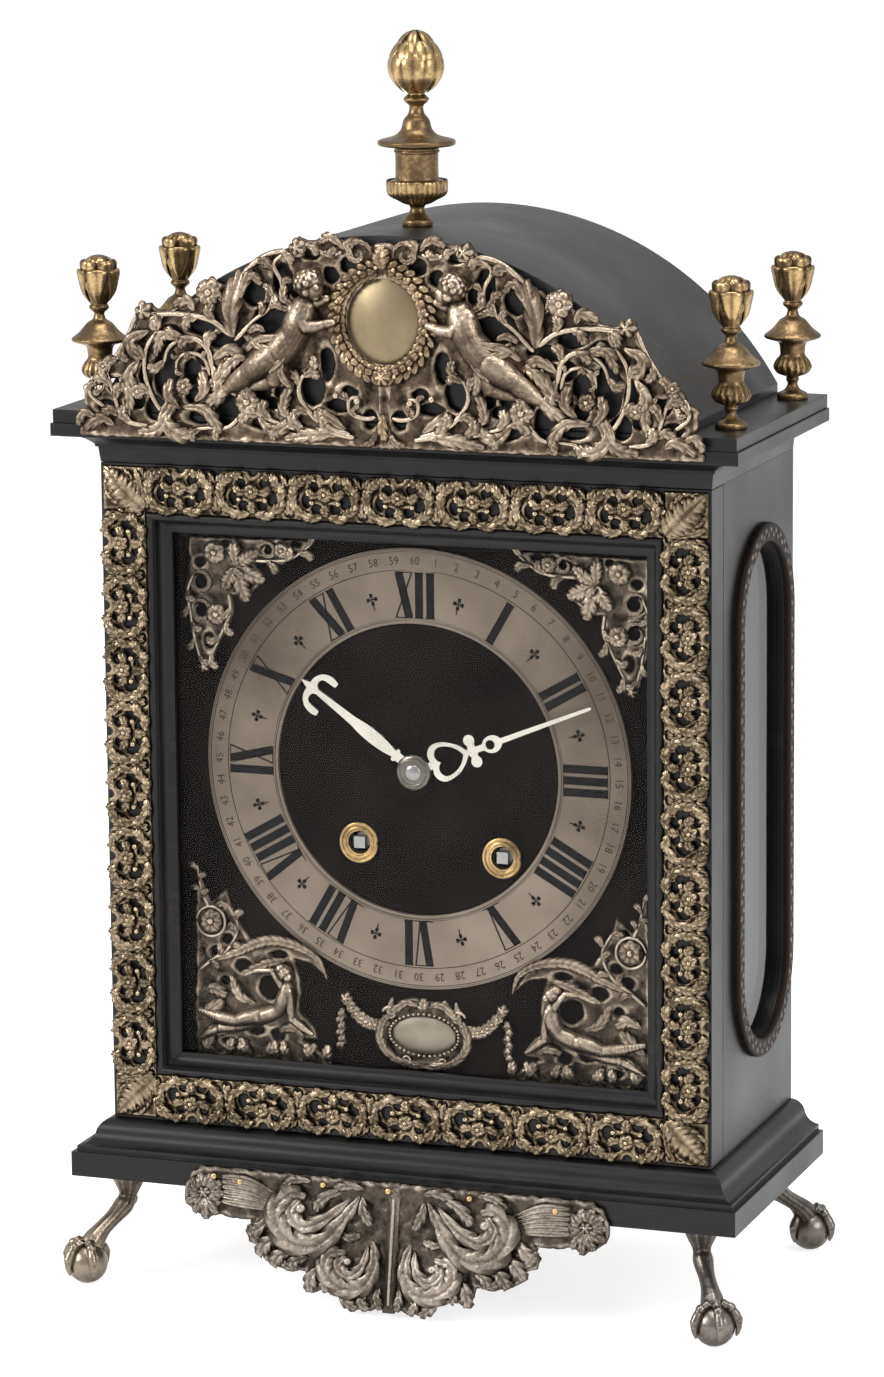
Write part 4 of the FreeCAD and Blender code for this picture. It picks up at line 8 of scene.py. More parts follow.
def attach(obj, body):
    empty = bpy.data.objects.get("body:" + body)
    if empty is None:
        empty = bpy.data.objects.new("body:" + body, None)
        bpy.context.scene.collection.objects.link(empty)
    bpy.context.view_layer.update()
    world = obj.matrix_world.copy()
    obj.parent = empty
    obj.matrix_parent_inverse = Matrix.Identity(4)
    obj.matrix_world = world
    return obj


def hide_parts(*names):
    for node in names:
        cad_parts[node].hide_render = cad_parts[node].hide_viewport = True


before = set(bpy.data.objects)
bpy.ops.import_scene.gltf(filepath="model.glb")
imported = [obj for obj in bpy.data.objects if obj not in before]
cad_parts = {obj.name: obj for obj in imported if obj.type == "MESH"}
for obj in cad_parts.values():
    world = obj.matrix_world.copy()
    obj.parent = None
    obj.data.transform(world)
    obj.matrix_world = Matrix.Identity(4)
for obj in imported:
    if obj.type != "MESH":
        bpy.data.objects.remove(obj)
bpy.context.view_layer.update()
MM = 0.001

# Levels and places of the case, in millimetres
BORDER_FACE = -54.0
DIAL_FACE = -36.0
RING_FACE = -37.6
RING_CENTRE = 228.5
CRESTING_BACK = -69.9
CRESTING_FOOT = 370.5
PLAQUE_RISE = 52.5
APRON_FACE = -70.1
APRON_HINGE = 46.3
APRON_LEAN = radians(11.0)
MINUTE_HAND_FACE = -42.0


# Finishes
class Signal:
    """One output of a shader node; sums and products of signals and numbers add Math nodes."""

    def __init__(self, finish, socket):
        self.finish = finish
        self.socket = socket

    def sum(self, operation, first, second):
        return self.finish.new("ShaderNodeMath", {0: first, 1: second}, operation=operation)

    def __add__(self, other):
        return self.sum("ADD", self, other)

    def __radd__(self, other):
        return self.sum("ADD", other, self)

    def __sub__(self, other):
        return self.sum("SUBTRACT", self, other)

    def __rsub__(self, other):
        return self.sum("SUBTRACT", other, self)

    def __mul__(self, other):
        return self.sum("MULTIPLY", self, other)


class Finish:
    """A material and the nodes that make it."""

    def __init__(self, name, node_tree=None):
        if node_tree is None:
            self.material = bpy.data.materials.new(name)
            self.material.use_nodes = True
            node_tree = self.material.node_tree
            self.shader = node_tree.nodes["Principled BSDF"]
        self.tree = node_tree

    def node(self, kind, sockets=None, **settings):
        made = self.tree.nodes.new(kind)
        for key, value in settings.items():
            setattr(made, key, value)
        for key, value in (sockets or {}).items():
            self.feed(made.inputs[key], value)
        return made

    def feed(self, socket, value):
        if isinstance(value, Signal):
            self.tree.links.new(value.socket, socket)
        elif hasattr(value, "__len__") and len(value) == 3 and socket.type == "RGBA":
            socket.default_value = (*value, 1.0)
        else:
            socket.default_value = value

    def signal(self, made, output=0):
        return Signal(self, made.outputs[output])

    def new(self, kind, sockets=None, output=0, **settings):
        """Output of a new node."""
        return self.signal(self.node(kind, sockets, **settings), output)

    def place(self, stretch=(1.0, 1.0, 1.0), turn=(0.0, 0.0, 0.0)):
        spot = self.new("ShaderNodeTexCoord", output="Object")
        return self.new("ShaderNodeMapping", {"Vector": spot, "Scale": stretch, "Rotation": turn})

    def noise(self, scale, detail=3.0, roughness=0.5, stretch=(1.0, 1.0, 1.0), turn=(0.0, 0.0, 0.0)):
        return self.new("ShaderNodeTexNoise", {"Vector": self.place(stretch, turn), "Scale": scale,
                                               "Detail": detail, "Roughness": roughness}, "Fac")

    def span(self, value, low, high, start=0.0, end=1.0):
        return self.new("ShaderNodeMapRange", {"Value": value, "From Min": low, "From Max": high,
                                               "To Min": start, "To Max": end})

    def blend(self, factor, first, second):
        return self.new("ShaderNodeMixRGB", {"Fac": factor, "Color1": first, "Color2": second})

    def ramp(self, value, stops):
        made = self.node("ShaderNodeValToRGB", {"Fac": value})
        elements = made.color_ramp.elements
        while len(elements) < len(stops):
            elements.new(0.5)
        for stop, (position, colour) in zip(elements, stops):
            stop.position = position
            stop.color = (*colour, 1.0)
        return self.signal(made)

    def bump(self, height, strength, depth, **more):
        return self.new("ShaderNodeBump", {"Height": height, "Strength": strength, "Distance": depth, **more})

    def eased_bump(self, height, strength, depth, radius):
        """Bump over edges that look rounded to a radius."""
        soft = self.new("ShaderNodeBevel", {"Radius": radius}, samples=4)
        return self.bump(height, strength, depth, Normal=soft)

    def mix(self, share, first, second):
        """Shows a mix of two shaders."""
        mixed = self.new("ShaderNodeMixShader", {0: share, 1: first, 2: second})
        self.feed(self.tree.nodes["Material Output"].inputs["Surface"], mixed)
        return self.material

    def surface(self, **inputs):
        for key, value in inputs.items():
            self.feed(self.shader.inputs[key.replace("_", " ")], value)
        return self.material


def ebonised(name, turn, worn=0.5, rough=(0.24, 0.42), shine=0.3):
    """Black stained and polished wood, with its grain along one axis and brown where it is rubbed."""
    wood = Finish(name)
    grain = wood.noise(60.0, 5.0, 0.6, (1.0, 14.0, 14.0), turn)
    cloud = wood.noise(16.0, 3.0)
    scuff = wood.noise(140.0, 4.0, 0.7, (0.25, 3.0, 3.0), turn)
    rubbed = wood.span(scuff * cloud, 0.33, 0.47) * worn
    black = wood.ramp(grain, [(0.3, (0.003, 0.003, 0.0035)), (0.75, (0.010, 0.009, 0.009))])
    colour = wood.blend(rubbed, black, (0.05, 0.036, 0.028))
    height = grain * 0.6 + scuff * 0.4
    return wood.surface(Base_Color=colour, Roughness=wood.span(cloud + grain * 0.5, 0.4, 1.0, *rough),
                        Specular_IOR_Level=shine, Normal=wood.eased_bump(height, 0.14, 0.0006, 0.0007))


def plain_wood(name):
    wood = Finish(name)
    grain = wood.noise(45.0, 5.0, 0.6, (12.0, 12.0, 1.0))
    colour = wood.ramp(grain, [(0.25, (0.07, 0.042, 0.024)), (0.8, (0.21, 0.135, 0.078))])
    return wood.surface(Base_Color=colour, Roughness=0.62, Normal=wood.bump(grain, 0.3, 0.0006))


def cast_metal(name, bright, dull, shade_colour, rough=(0.24, 0.5), chased=True, metallic=0.92, dents=0.5):
    """Worn cast metal with painted light: a painted highlight on what stands out, dull between and painted
    shade, brown, in the recesses.
    """
    metal = Finish(name)
    patch = metal.noise(70.0, 4.0, 0.6)
    speck = metal.noise(620.0, 3.0, 0.6)
    dent = metal.noise(300.0, 2.0, 0.6)
    if chased:
        # The attribute read here is a painted light level: high for painted highlight, low for painted shade.
        relief = metal.new("ShaderNodeAttribute", output="Fac", attribute_name="relief")
    else:
        relief = 0.62 + (patch - 0.5) * 0.3
    level = relief + (patch - 0.5) * 0.55 + (speck - 0.5) * 0.3
    # Ramp from painted shade through the plain metal colour to painted highlight.
    colour = metal.ramp(level, [(0.16, shade_colour), (0.44, dull), (0.74, bright)])
    return metal.surface(Base_Color=colour, Metallic=metallic,
                         Roughness=metal.span(level, 0.2, 0.9, rough[1], rough[0]),
                         Normal=metal.bump(speck * 0.6 + dent, dents, 0.0009))


def plain_metal(name, colour, shade, rough=0.3, metallic=1.0):
    metal = Finish(name)
    patch = metal.noise(90.0, 4.0, 0.6)
    return metal.surface(Base_Color=metal.blend(patch, shade, colour), Metallic=metallic,
                         Roughness=metal.span(patch, 0.3, 0.7, rough + 0.08, rough - 0.06),
                         Normal=metal.bump(metal.noise(700.0), 0.06, 0.0003))


def silvered_dial(name):
    """Silvered ring with a brushed grain, brown stains and painted shade that darkens it towards the top and
    both sides.
    """
    ring = Finish(name)
    stain = ring.noise(17.0, 5.0, 0.6)
    fine = ring.noise(520.0, 3.0, 0.6, (1.0, 1.0, 5.0))
    spot = ring.node("ShaderNodeSeparateXYZ", {0: ring.place()})
    across = ring.signal(spot, "X")
    # Painted shade: darker towards the top and towards both sides, more so on the left, and lighter towards
    # the bottom.
    dial_shade = across * 0.5 - across * across * 20.0 + (RING_CENTRE * MM - ring.signal(spot, "Z")) * 1.2
    level = stain * 0.8 + fine * 0.2 + dial_shade
    colour = ring.ramp(level, [(0.2, (0.09, 0.066, 0.05)), (0.5, (0.215, 0.17, 0.137)),
                               (0.72, (0.32, 0.262, 0.212))])
    return ring.surface(Base_Color=colour, Metallic=0.45, Roughness=ring.span(level, 0.3, 0.7, 0.55, 0.4),
                        Normal=ring.bump(fine, 0.05, 0.0003))


def velvet_ground(name):
    velvet = Finish(name)
    rub = velvet.noise(24.0, 3.0, 0.55)
    nap = velvet.noise(1500.0, 2.0)
    colour = velvet.ramp(rub + (nap - 0.5) * 0.15,
                         [(0.35, (0.0045, 0.003, 0.003)), (0.7, (0.014, 0.0095, 0.009))])
    return velvet.surface(Base_Color=colour, Roughness=0.95, Specular_IOR_Level=0.08)


def clear_glass(name, tint, haze, index, strength):
    """Old thin glass: see-through, with a reflection that grows towards its edges."""
    glass = Finish(name)
    glass.tree.nodes.remove(glass.shader)
    wave = glass.bump(glass.noise(18.0, 1.0), 0.06, 0.002)
    through = glass.new("ShaderNodeBsdfTransparent", {"Color": tint})
    mirror = glass.new("ShaderNodeBsdfGlossy", {"Roughness": haze, "Normal": wave})
    share = glass.new("ShaderNodeFresnel", {"IOR": index}) * strength
    return glass.mix(share, through, mirror)


def paint(name, colour, rough):
    coat = Finish(name)
    wear = coat.noise(260.0, 4.0, 0.65)
    shade = coat.blend(coat.span(wear, 0.45, 0.8), colour, tuple(c * 2.2 + 0.004 for c in colour))
    return coat.surface(Base_Color=shade, Roughness=rough, Specular_IOR_Level=0.12)


wood_across = ebonised("ebonised_wood_across", (0.0, 0.0, 0.0))
wood_upright = ebonised("ebonised_wood_upright", (0.0, radians(90), 0.0))
roof_wood = ebonised("ebonised_wood_roof", (0.0, 0.0, radians(90)), 1.4, (0.3, 0.55), 0.5)
carcass_wood = plain_wood("carcass_wood")
# The cast metal colours here are each given as painted highlight, plain metal and painted shade.
SILVER = ((0.50, 0.405, 0.305), (0.12, 0.088, 0.062), (0.012, 0.008, 0.006))
GOLD = ((0.66, 0.46, 0.215), (0.152, 0.101, 0.05), (0.045, 0.028, 0.013))
BORDER_METAL = ((0.47, 0.37, 0.25), (0.088, 0.064, 0.04), (0.009, 0.006, 0.004))
silvered_mounts = cast_metal("silvered_mounts", *SILVER)
silvered_sheet = cast_metal("silvered_sheet", *SILVER, chased=False)
apron_metal = cast_metal("apron_metal", (0.44, 0.38, 0.32), (0.10, 0.08, 0.063), (0.026, 0.02, 0.016),
                         (0.28, 0.5), metallic=0.85)
wreath_metal = cast_metal("wreath_metal", (0.60, 0.46, 0.285), (0.17, 0.12, 0.076), (0.012, 0.008, 0.006))
dial_mounts = cast_metal("dial_mounts", (0.54, 0.445, 0.355), (0.14, 0.108, 0.083), (0.012, 0.009, 0.007))
border_metal = cast_metal("border_mounts", *BORDER_METAL, rough=(0.2, 0.46))
gilt_brass = cast_metal("gilt_brass", *GOLD, rough=(0.2, 0.42), dents=0.2)
gilt_plain = cast_metal("gilt_turned", *GOLD, rough=(0.22, 0.42), chased=False, dents=0.15)
bronze = cast_metal("foot_bronze", (0.21, 0.185, 0.165), (0.072, 0.06, 0.05), (0.010, 0.008, 0.006),
                    (0.26, 0.44), dents=0.2)
bronze_pale = cast_metal("foot_bronze_pale", (0.29, 0.24, 0.185), (0.11, 0.086, 0.063),
                         (0.014, 0.010, 0.008), (0.26, 0.44), dents=0.2)
bronze_plain = cast_metal("foot_bronze_plain", (0.24, 0.20, 0.15), (0.11, 0.088, 0.066), (0.02, 0.014, 0.01),
                          (0.26, 0.44), chased=False)
plate_silver = plain_metal("plate_silver", (0.42, 0.37, 0.31), (0.20, 0.17, 0.135), 0.5, 0.9)
plaque_brass = plain_metal("plaque_brass", (0.33, 0.265, 0.155), (0.19, 0.148, 0.082), 0.42, 0.85)
bead_brass = cast_metal("bead_brass", (0.30, 0.245, 0.205), (0.16, 0.128, 0.106), (0.022, 0.016, 0.013),
                        (0.4, 0.6))
movement_brass = plain_metal("movement_brass", (0.72, 0.54, 0.26), (0.60, 0.43, 0.19), 0.26)
hinge_brass = plain_metal("hinge_brass", (0.58, 0.42, 0.20), (0.42, 0.29, 0.13), 0.34)
steel = plain_metal("steel", (0.40, 0.39, 0.39), (0.28, 0.28, 0.285), 0.28)
hand_steel = plain_metal("hand_steel", (0.66, 0.63, 0.58), (0.52, 0.49, 0.44), 0.24)
collet_steel = plain_metal("collet_steel", (0.21, 0.19, 0.168), (0.14, 0.126, 0.11), 0.3)
bell_metal = plain_metal("bell_metal", (0.62, 0.50, 0.30), (0.48, 0.37, 0.20), 0.24)
velvet = velvet_ground("velvet")
dial_silver = silvered_dial("silvered_ring")
engraved_black = paint("engraved_black", (0.006, 0.0055, 0.007), 0.6)
engraved_brown = paint("engraved_brown", (0.03, 0.022, 0.016), 0.6)
door_glass = clear_glass("door_glass", (0.98, 0.98, 0.97), 0.02, 1.45, 0.12)
window_glass = clear_glass("window_glass", (0.55, 0.57, 0.58), 0.05, 1.55, 0.8)

NODE_FINISH = {
    wood_across: ["plinth", "cornice", "top_board", "tympana"],
    roof_wood: ["arched_roof"],
    wood_upright: ["right_side_panel", "left_side_panel", "door_frame", "door_moulding"],
    carcass_wood: ["base_board", "back_panel"],
    gilt_plain: ["corner_finials", "top_finial", "winding_collets"],
    silvered_sheet: ["cresting", "apron", "dial_spandrels", "dial_cartouche", "door_border"],
    plaque_brass: ["cresting_plaque"],
    bronze_plain: ["claw_feet"],
    bead_brass: ["window_beads"],
    hinge_brass: ["fixed_hinge_leaves", "door_hinge_leaves", "back_hinge_leaves", "turn_button"],
    velvet: ["dial_plate"],
    dial_silver: ["chapter_ring"],
    hand_steel: ["hour_hand", "minute_hand"],
    collet_steel: ["hand_collet"],
    bell_metal: ["bell"],
    steel: ["going_winding_arbor", "strike_winding_arbor", "verge", "pendulum_rod", "strike_hammer",
            "strike_detent", "fly"],
    door_glass: ["door_glass"],
    window_glass: ["window_panes"],
}
finish_of = {node: finish for finish, nodes in NODE_FINISH.items() for node in nodes}
for name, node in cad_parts.items():
    node.data.materials.clear()
    node.data.materials.append(finish_of.get(name, movement_brass))


# Chased metalwork
def through(*points):
    """Smooth line through (along, up) or (along, up, out) points, as a function of 0 to 1."""
    knots = [Vector((*point, 0.0)[:3]) for point in points]
    knots = [2 * knots[0] - knots[1], *knots, 2 * knots[-1] - knots[-2]]
    spans = len(knots) - 3

    def at(t):
        span = min(int(t * spans), spans - 1)
        u = t * spans - span
        a, b, c, d = knots[span:span + 4]
        return b + 0.5 * u * (c - a + u * (2 * a - 5 * b + 4 * c - d + u * (3 * (b - c) + d - a)))

    return at


def widened(scale, *points):
    """Points with their along multiplied, to stretch or mirror a line."""
    return [(scale * along, up, out) for along, up, out in points]


def length_of(line, parts):
    return sum((line(n / parts) - line((n + 1) / parts)).length for n in range(parts))


def verts_of(geometry):
    return [part for part in geometry if isinstance(part, bmesh.types.BMVert)]


def scroll(centre, wide, tight, start, turn, out=0.0, rise=0.0):
    """Spiral from its wide to its tight end; start and turn are in degrees."""
    def at(t):
        angle = radians(start + turn * t)
        radius = wide + (tight - wide) * t
        return Vector((centre[0] + radius * cos(angle), centre[1] + radius * sin(angle), out + rise * t))

    return at


def outline(points):
    """How far a point lies inside a closed outline, less than nothing outside it."""
    edges = list(zip(points, points[1:] + points[:1]))

    def inside(along, up):
        nearest = 1e9
        odd = False
        for (ax, ay), (bx, by) in edges:
            dx, dy = bx - ax, by - ay
            t = min(max(((along - ax) * dx + (up - ay) * dy) / (dx * dx + dy * dy), 0.0), 1.0)
            nearest = min(nearest, (along - ax - t * dx) ** 2 + (up - ay - t * dy) ** 2)
            if (ay > up) != (by > up) and along < ax + (up - ay) / dy * dx:
                odd = not odd
        return sqrt(nearest) if odd else -sqrt(nearest)

    return inside


def box_outline(left, right, low, high):
    return outline([(left, low), (right, low), (right, high), (left, high)])


def pierced(edge, holes, ragged=0.8):
    """Depth inside an outline with oval holes, each given as along, up, half width and half height."""
    def inside(along, up):
        along += ragged * field.noise(Vector((along * 0.3, up * 0.3, 1.0)))
        up += ragged * field.noise(Vector((along * 0.3, up * 0.3, 9.0)))
        depth = edge(along, up)
        for x, y, wide, tall in holes:
            far = hypot((along - x) / wide, (up - y) / tall)
            depth = min(depth, (far - 1) * min(wide, tall))
        return depth

    return inside


class Mount:
    """Metalwork gathered in one mesh; place turns along, up and out into a point of the frame."""

    def __init__(self, name, place):
        self.name = name
        self.place = place
        self.mesh = bmesh.new()
        # Each point's level of painted light: high for painted highlight, low for painted shade.
        self.relief = self.mesh.verts.layers.float.new("relief")

    def set(self, vert, along, up, out, relief):
        vert.co = self.place(along, up, out) * MM
        vert[self.relief] = relief

    def sweep(self, line, section, steps, sides):
        """Closed skin along a line; section gives each point's side, height, painted light level and shift
        along.
        """
        rows = max(40, steps)
        spots = [line(row / rows) for row in range(rows + 1)]
        grid = bmesh.ops.create_grid(self.mesh, x_segments=steps, y_segments=sides, size=1.0)
        for vert in grid["verts"]:
            t = (vert.co.x + 1) / 2
            side, height, relief, shift = section(t, round((vert.co.y + 1) * sides / 2))
            reach = min(max(t + shift, 0.0), 1.0) * rows
            row = min(int(reach), rows - 1)
            spot = spots[row].lerp(spots[row + 1], reach - row)
            ahead = spots[min(row + 2, rows)] - spots[max(row - 1, 0)]
            bow = hypot(ahead.x, ahead.y) or 1.0
            self.set(vert, spot.x - ahead.y / bow * side, spot.y + ahead.x / bow * side, spot.z + height,
                     relief)

    def leaf(self, line, width, rise=1.5, cut=0.6, blunt=0.8, lobes=None, sides=None):
        """Leaf on a line or through points: a sunk midrib, lobes in turn on its sides and a flat back."""
        line = line if callable(line) else through(*line)
        lobes = lobes or max(2, round(length_of(line, 12) / width / 1.15))
        sides = sides or (13 if width > 6 else 9)

        def section(t, number):
            s = cos(pi * (number % sides) / (sides - 1))
            near = abs(s)
            phase = lobes * t + (0.5 if s < 0 else 0.0)
            gap = abs(phase - round(phase)) if lobes > 1 else 0.25
            notch = exp(-(gap / 0.13) ** 2)
            crease = exp(-((0.5 - gap) / 0.12) ** 2)
            spread = sin(pi * t ** blunt) ** 0.6
            side = s * width / 2 * spread * (1 - (cut * notch + 0.14 * crease) * near ** 1.6)
            fold = (0.34 * notch + 0.2 * crease) * near * (1 - near ** 4)
            swell = (1 - near ** 3) * (0.75 + 0.25 * near) - 0.3 * exp(-(s / 0.2) ** 2) - fold
            # Painted highlight on the swelling, painted shade in the folds and the sunk midrib.
            relief = 0.2 + 0.55 * max(swell, 0.0) - 0.5 * fold
            return side, rise * spread * swell, relief, 0.5 * s * s / max(lobes, 2) * spread

        self.sweep(line, section, max(14, 10 * lobes), sides)

    def stem(self, line, thick, thin, sides=8, steps=28):
        """Round stem on a line or through points; it tapers from thick to thin, given as radii."""
        line = line if callable(line) else through(*line)

        def section(t, number):
            angle = 2 * pi * number / sides
            radius = (thick + (thin - thick) * t) * (1 - (2 * t - 1) ** 12) ** 0.5
            # Painted highlight on the outward side of the stem, painted shade on its back.
            return radius * cos(angle), radius * sin(angle), 0.3 + 0.5 * sin(angle), 0.0

        self.sweep(line, section, steps, sides)

    def limb(self, points, radii):
        """Round limb of close-set balls, for a skin that runs together."""
        line = through(*points)
        girth = through(*[(radius, 0.0) for radius in radii])
        count = 7 * (len(points) - 1)
        for number in range(count + 1):
            self.bead(line(number / count), girth(number / count).x, fine=3)

    def vine(self, points, thick, thin, size, every=6.0, hands=(1, -1), inside=None):
        """Stem with leaves in turn on the sides that hands gives, where their tips lie inside the metal."""
        line = through(*points)
        self.stem(line, thick, thin)
        bare = 0.12
        count = max(int(length_of(line, 20) * (1 - bare) / every), 1)
        for number in range(count):
            share = bare + (1 - bare) * (number + 0.5) / count
            root = line(share)
            along = (line(min(share + 0.05, 1.0)) - line(max(share - 0.05, 0.0))).normalized()
            aside = Vector((-along.y, along.x, 0.0)) * hands[number % len(hands)]
            tip = root + along * size * 0.62 + aside * size * 0.78 + Vector((0, 0, 0.9))
            middle = root + along * size * 0.55 + aside * size * 0.28 + Vector((0, 0, 1.2))
            if inside is None or inside(tip.x, tip.y) > -0.8:
                self.leaf([root, middle, tip], size * 0.66, 1.3)

    def dome(self, at, radius, petals, rise, tall=1.0):
        """Flower or button: petals round a raised eye."""
        made = bmesh.ops.create_uvsphere(self.mesh, u_segments=max(petals * 4, 14), v_segments=10, radius=1.0)
        for vert in made["verts"]:
            x, y, z = vert.co
            petal = abs(cos(petals * atan2(y, x) / 2)) if petals else 1.0
            reach = hypot(x, y)
            swell = 1 - 0.28 * (1 - petal) * reach
            eye = exp(-(reach / 0.3) ** 2) if petals else 0.0
            ditch = exp(-((reach - 0.42) / 0.12) ** 2) if petals else 0.0
            height = rise * (max(z, 0.3 * z) * (0.8 + 0.2 * petal) + 0.25 * eye - 0.3 * ditch * (z > 0))
            # Painted highlight on the tops of the petals and on the eye, painted shade in the ditch round it.
            self.set(vert, at[0] + radius * x * swell, at[1] + radius * y * swell * tall, at[2] + height,
                     0.25 + 0.5 * petal * max(z, 0.0) ** 0.5 + 0.3 * eye - 0.3 * ditch)

    def bead(self, at, radius, fine=2):
        made = bmesh.ops.create_icosphere(self.mesh, subdivisions=fine, radius=radius)
        for vert in made["verts"]:
            x, y, z = vert.co
            # Painted highlight on the outward side of the bead, painted shade on its back.
            self.set(vert, at[0] + x, at[1] + y, at[2] + z, 0.65 + 0.25 * z / radius)

    def bar(self, *spans):
        """Plain strip between pairs of limits along, up and out."""
        made = bmesh.ops.create_cube(self.mesh, size=1.0)
        for vert in made["verts"]:
            spot = [low + (high - low) * (part + 0.5) for (low, high), part in zip(spans, vert.co)]
            self.set(vert, *spot, 0.45)

    def flower(self, at, radius, petals, rise):
        """Open flower of separate petals round a bead."""
        root = Vector(at)
        for petal in range(petals):
            turn = 2 * pi * petal / petals
            reach = Vector((cos(turn), sin(turn), 0.0)) * radius
            middle = root + reach * 0.55 + Vector((0, 0, rise * 0.5))
            tip = root + reach + Vector((0, 0, rise * 0.15))
            self.leaf([root, middle, tip], radius * 0.95, rise * 0.5, lobes=1, sides=7)
        self.bead((at[0], at[1], at[2] + rise * 0.45), radius * 0.3)

    def sheet(self, limits, cell, depth, rise, band, base=0.4, lumps=0.3):
        """Pierced sheet over limits of along and up; depth tells how far a point lies inside the metal."""
        left, right, low, high = limits
        made = bmesh.ops.create_grid(self.mesh, x_segments=round((right - left) / cell),
                                     y_segments=round((high - low) / cell), size=1.0)["verts"]
        outside = set()
        for vert in made:
            along = left + (right - left) * (vert.co.x + 1) / 2
            up = low + (high - low) * (vert.co.y + 1) / 2
            inside = depth(along, up)
            if inside < 0:
                outside.add(vert)
                slope = Vector((depth(along + 0.1, up) - inside, depth(along, up + 0.1) - inside)) * 10
                if inside > -2 * cell and slope.length > 0.2:
                    along -= inside * slope.x / slope.length_squared
                    up -= inside * slope.y / slope.length_squared
            vert.co = (along, up, max(inside, 0.0))
        faces = {face for vert in made for face in vert.link_faces}
        gone = [face for face in faces if all(vert in outside for vert in face.verts)]
        kept = [face for face in faces if face not in set(gone)]
        bmesh.ops.delete(self.mesh, geom=gone, context="FACES")
        front = bmesh.ops.extrude_face_region(self.mesh, geom=kept)["geom"]
        for vert in {vert for face in kept for vert in face.verts}:
            # Painted shade on the flat back of the sheet.
            self.set(vert, vert.co.x, vert.co.y, 0.0, 0.1)
        for vert in verts_of(front):
            along, up, inside = vert.co
            rounded = sqrt(1 - (1 - min(inside / band, 1.0)) ** 2)
            rim = exp(-((inside - 1.0) / 0.8) ** 2)
            lump = field.noise(Vector((along * 0.22, up * 0.22, 5.0)))
            lump += 0.5 * field.noise(Vector((along * 0.6, up * 0.6, 2.0)))
            height = base + rise * (0.6 * rounded + 0.4 * rim) + lumps * lump
            # Painted highlight on the rounded rise and the rim, painted shade on the low parts.
            self.set(vert, along, up, max(height, 0.2), 0.16 + 0.16 * rounded + 0.28 * rim + 0.2 * lump)

    def repeat(self, step, count):
        """Copies what is made so far, each copy moved on by a step in the frame."""
        made = [*self.mesh.verts, *self.mesh.edges, *self.mesh.faces]
        for number in range(1, count):
            copy = bmesh.ops.duplicate(self.mesh, geom=made)["geom"]
            bmesh.ops.translate(self.mesh, verts=verts_of(copy), vec=step * number * MM)

    def mirrored(self, name):
        """The same metalwork on the other side of the middle plane."""
        other = Mount(name, self.place)
        other.mesh.free()
        other.mesh = self.mesh.copy()
        bmesh.ops.scale(other.mesh, verts=other.mesh.verts, vec=(-1.0, 1.0, 1.0))
        return other

    def piece(self, finish, body, slot, *replaced, smooth=True):
        bmesh.ops.remove_doubles(self.mesh, verts=self.mesh.verts, dist=2e-6)
        bmesh.ops.recalc_face_normals(self.mesh, faces=self.mesh.faces)
        return add_piece(self.name, self.mesh, finish, body, slot, *replaced, smooth=smooth)

    def blended(self, voxel, rounds, finish, body, slot, *replaced):
        """The parts run together into one smooth skin, with painted highlight where it faces up and on bumps,
        and painted shade in its hollows.
        """
        made = self.piece(finish, body, slot, *replaced)
        melt = made.modifiers.new("melt", "REMESH")
        melt.mode = "VOXEL"
        melt.voxel_size = voxel * MM
        ease = made.modifiers.new("ease", "SMOOTH")
        ease.iterations = rounds
        seen = made.evaluated_get(bpy.context.evaluated_depsgraph_get())
        skin = bpy.data.meshes.new_from_object(seen)
        made.modifiers.clear()
        made.data = skin
        relief = skin.attributes.get("relief") or skin.attributes.new("relief", "FLOAT", "POINT")
        around = [Vector() for vert in skin.vertices]
        beside = [0] * len(skin.vertices)
        for edge in skin.edges:
            for this, other in (edge.vertices, reversed(edge.vertices)):
                around[this] += skin.vertices[other].co
                beside[this] += 1
        for vert in skin.vertices:
            number = vert.index
            hollow = (around[number] / beside[number] - vert.co).dot(vert.normal) / (voxel * MM)
            # Painted light: lighter where the skin faces up or bulges, painted shade where it is hollow.
            relief.data[number].value = 0.42 + 0.25 * vert.normal.z - min(max(5.0 * hollow, -0.3), 0.4)
        for face in skin.polygons:
            face.use_smooth = True


def add_piece(name, mesh, finish, body, slot, *replaced, smooth=True):
    """Makes a piece of a finished mesh and fixes it to its body."""
    data = bpy.data.meshes.new(name)
    for face in mesh.faces:
        face.smooth = smooth
    mesh.to_mesh(data)
    mesh.free()
    made = bpy.data.objects.new(name, data)
    bpy.context.scene.collection.objects.link(made)
    data.materials.append(finish)
    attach(made, body)
    if replaced:
        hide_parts(*replaced)
    return made


def both_sides(name, place, build, finish, *replaced, middle=None):
    """Metalwork built on the right and mirrored to the left; middle adds what stands between them."""
    right = Mount(name + "_right", place)
    build(right)
    left = right.mirrored(name + "_left")
    if middle:
        middle(right)
    right.piece(finish, "case", "silvered_mounts", *replaced)
    left.piece(finish, "case", "silvered_mounts")


def figure(name, place, limbs, balls, voxel, rounds, finish):
    """Limbs and balls that run together into one body."""
    body = Mount(name, place)
    for points, radii in limbs:
        body.limb(points, radii)
    for ball in balls:
        body.bead(*ball)
    body.blended(voxel, rounds, finish, "case", "silvered_mounts")


def on_front(face, level=0.0):
    """Place on an upright face: along is x, up is z, out is towards the front."""
    return lambda along, up, out: Vector((along, face - out, level + up))


def figure_on_front(face, level, side):
    """The same for a figure on one side; its back stays just clear of the face."""
    return lambda along, up, out: Vector((side * along, face - max(out, 0.4), level + up))


def turned_on_front(face, centre, turn):
    """Place on an upright face, turned about a centre; turn is in degrees, anticlockwise as seen."""
    c, s = cos(radians(turn)), sin(radians(turn))
    return lambda along, up, out: Vector((centre[0] + along * c - up * s, face - out,
                                          centre[1] + along * s + up * c))


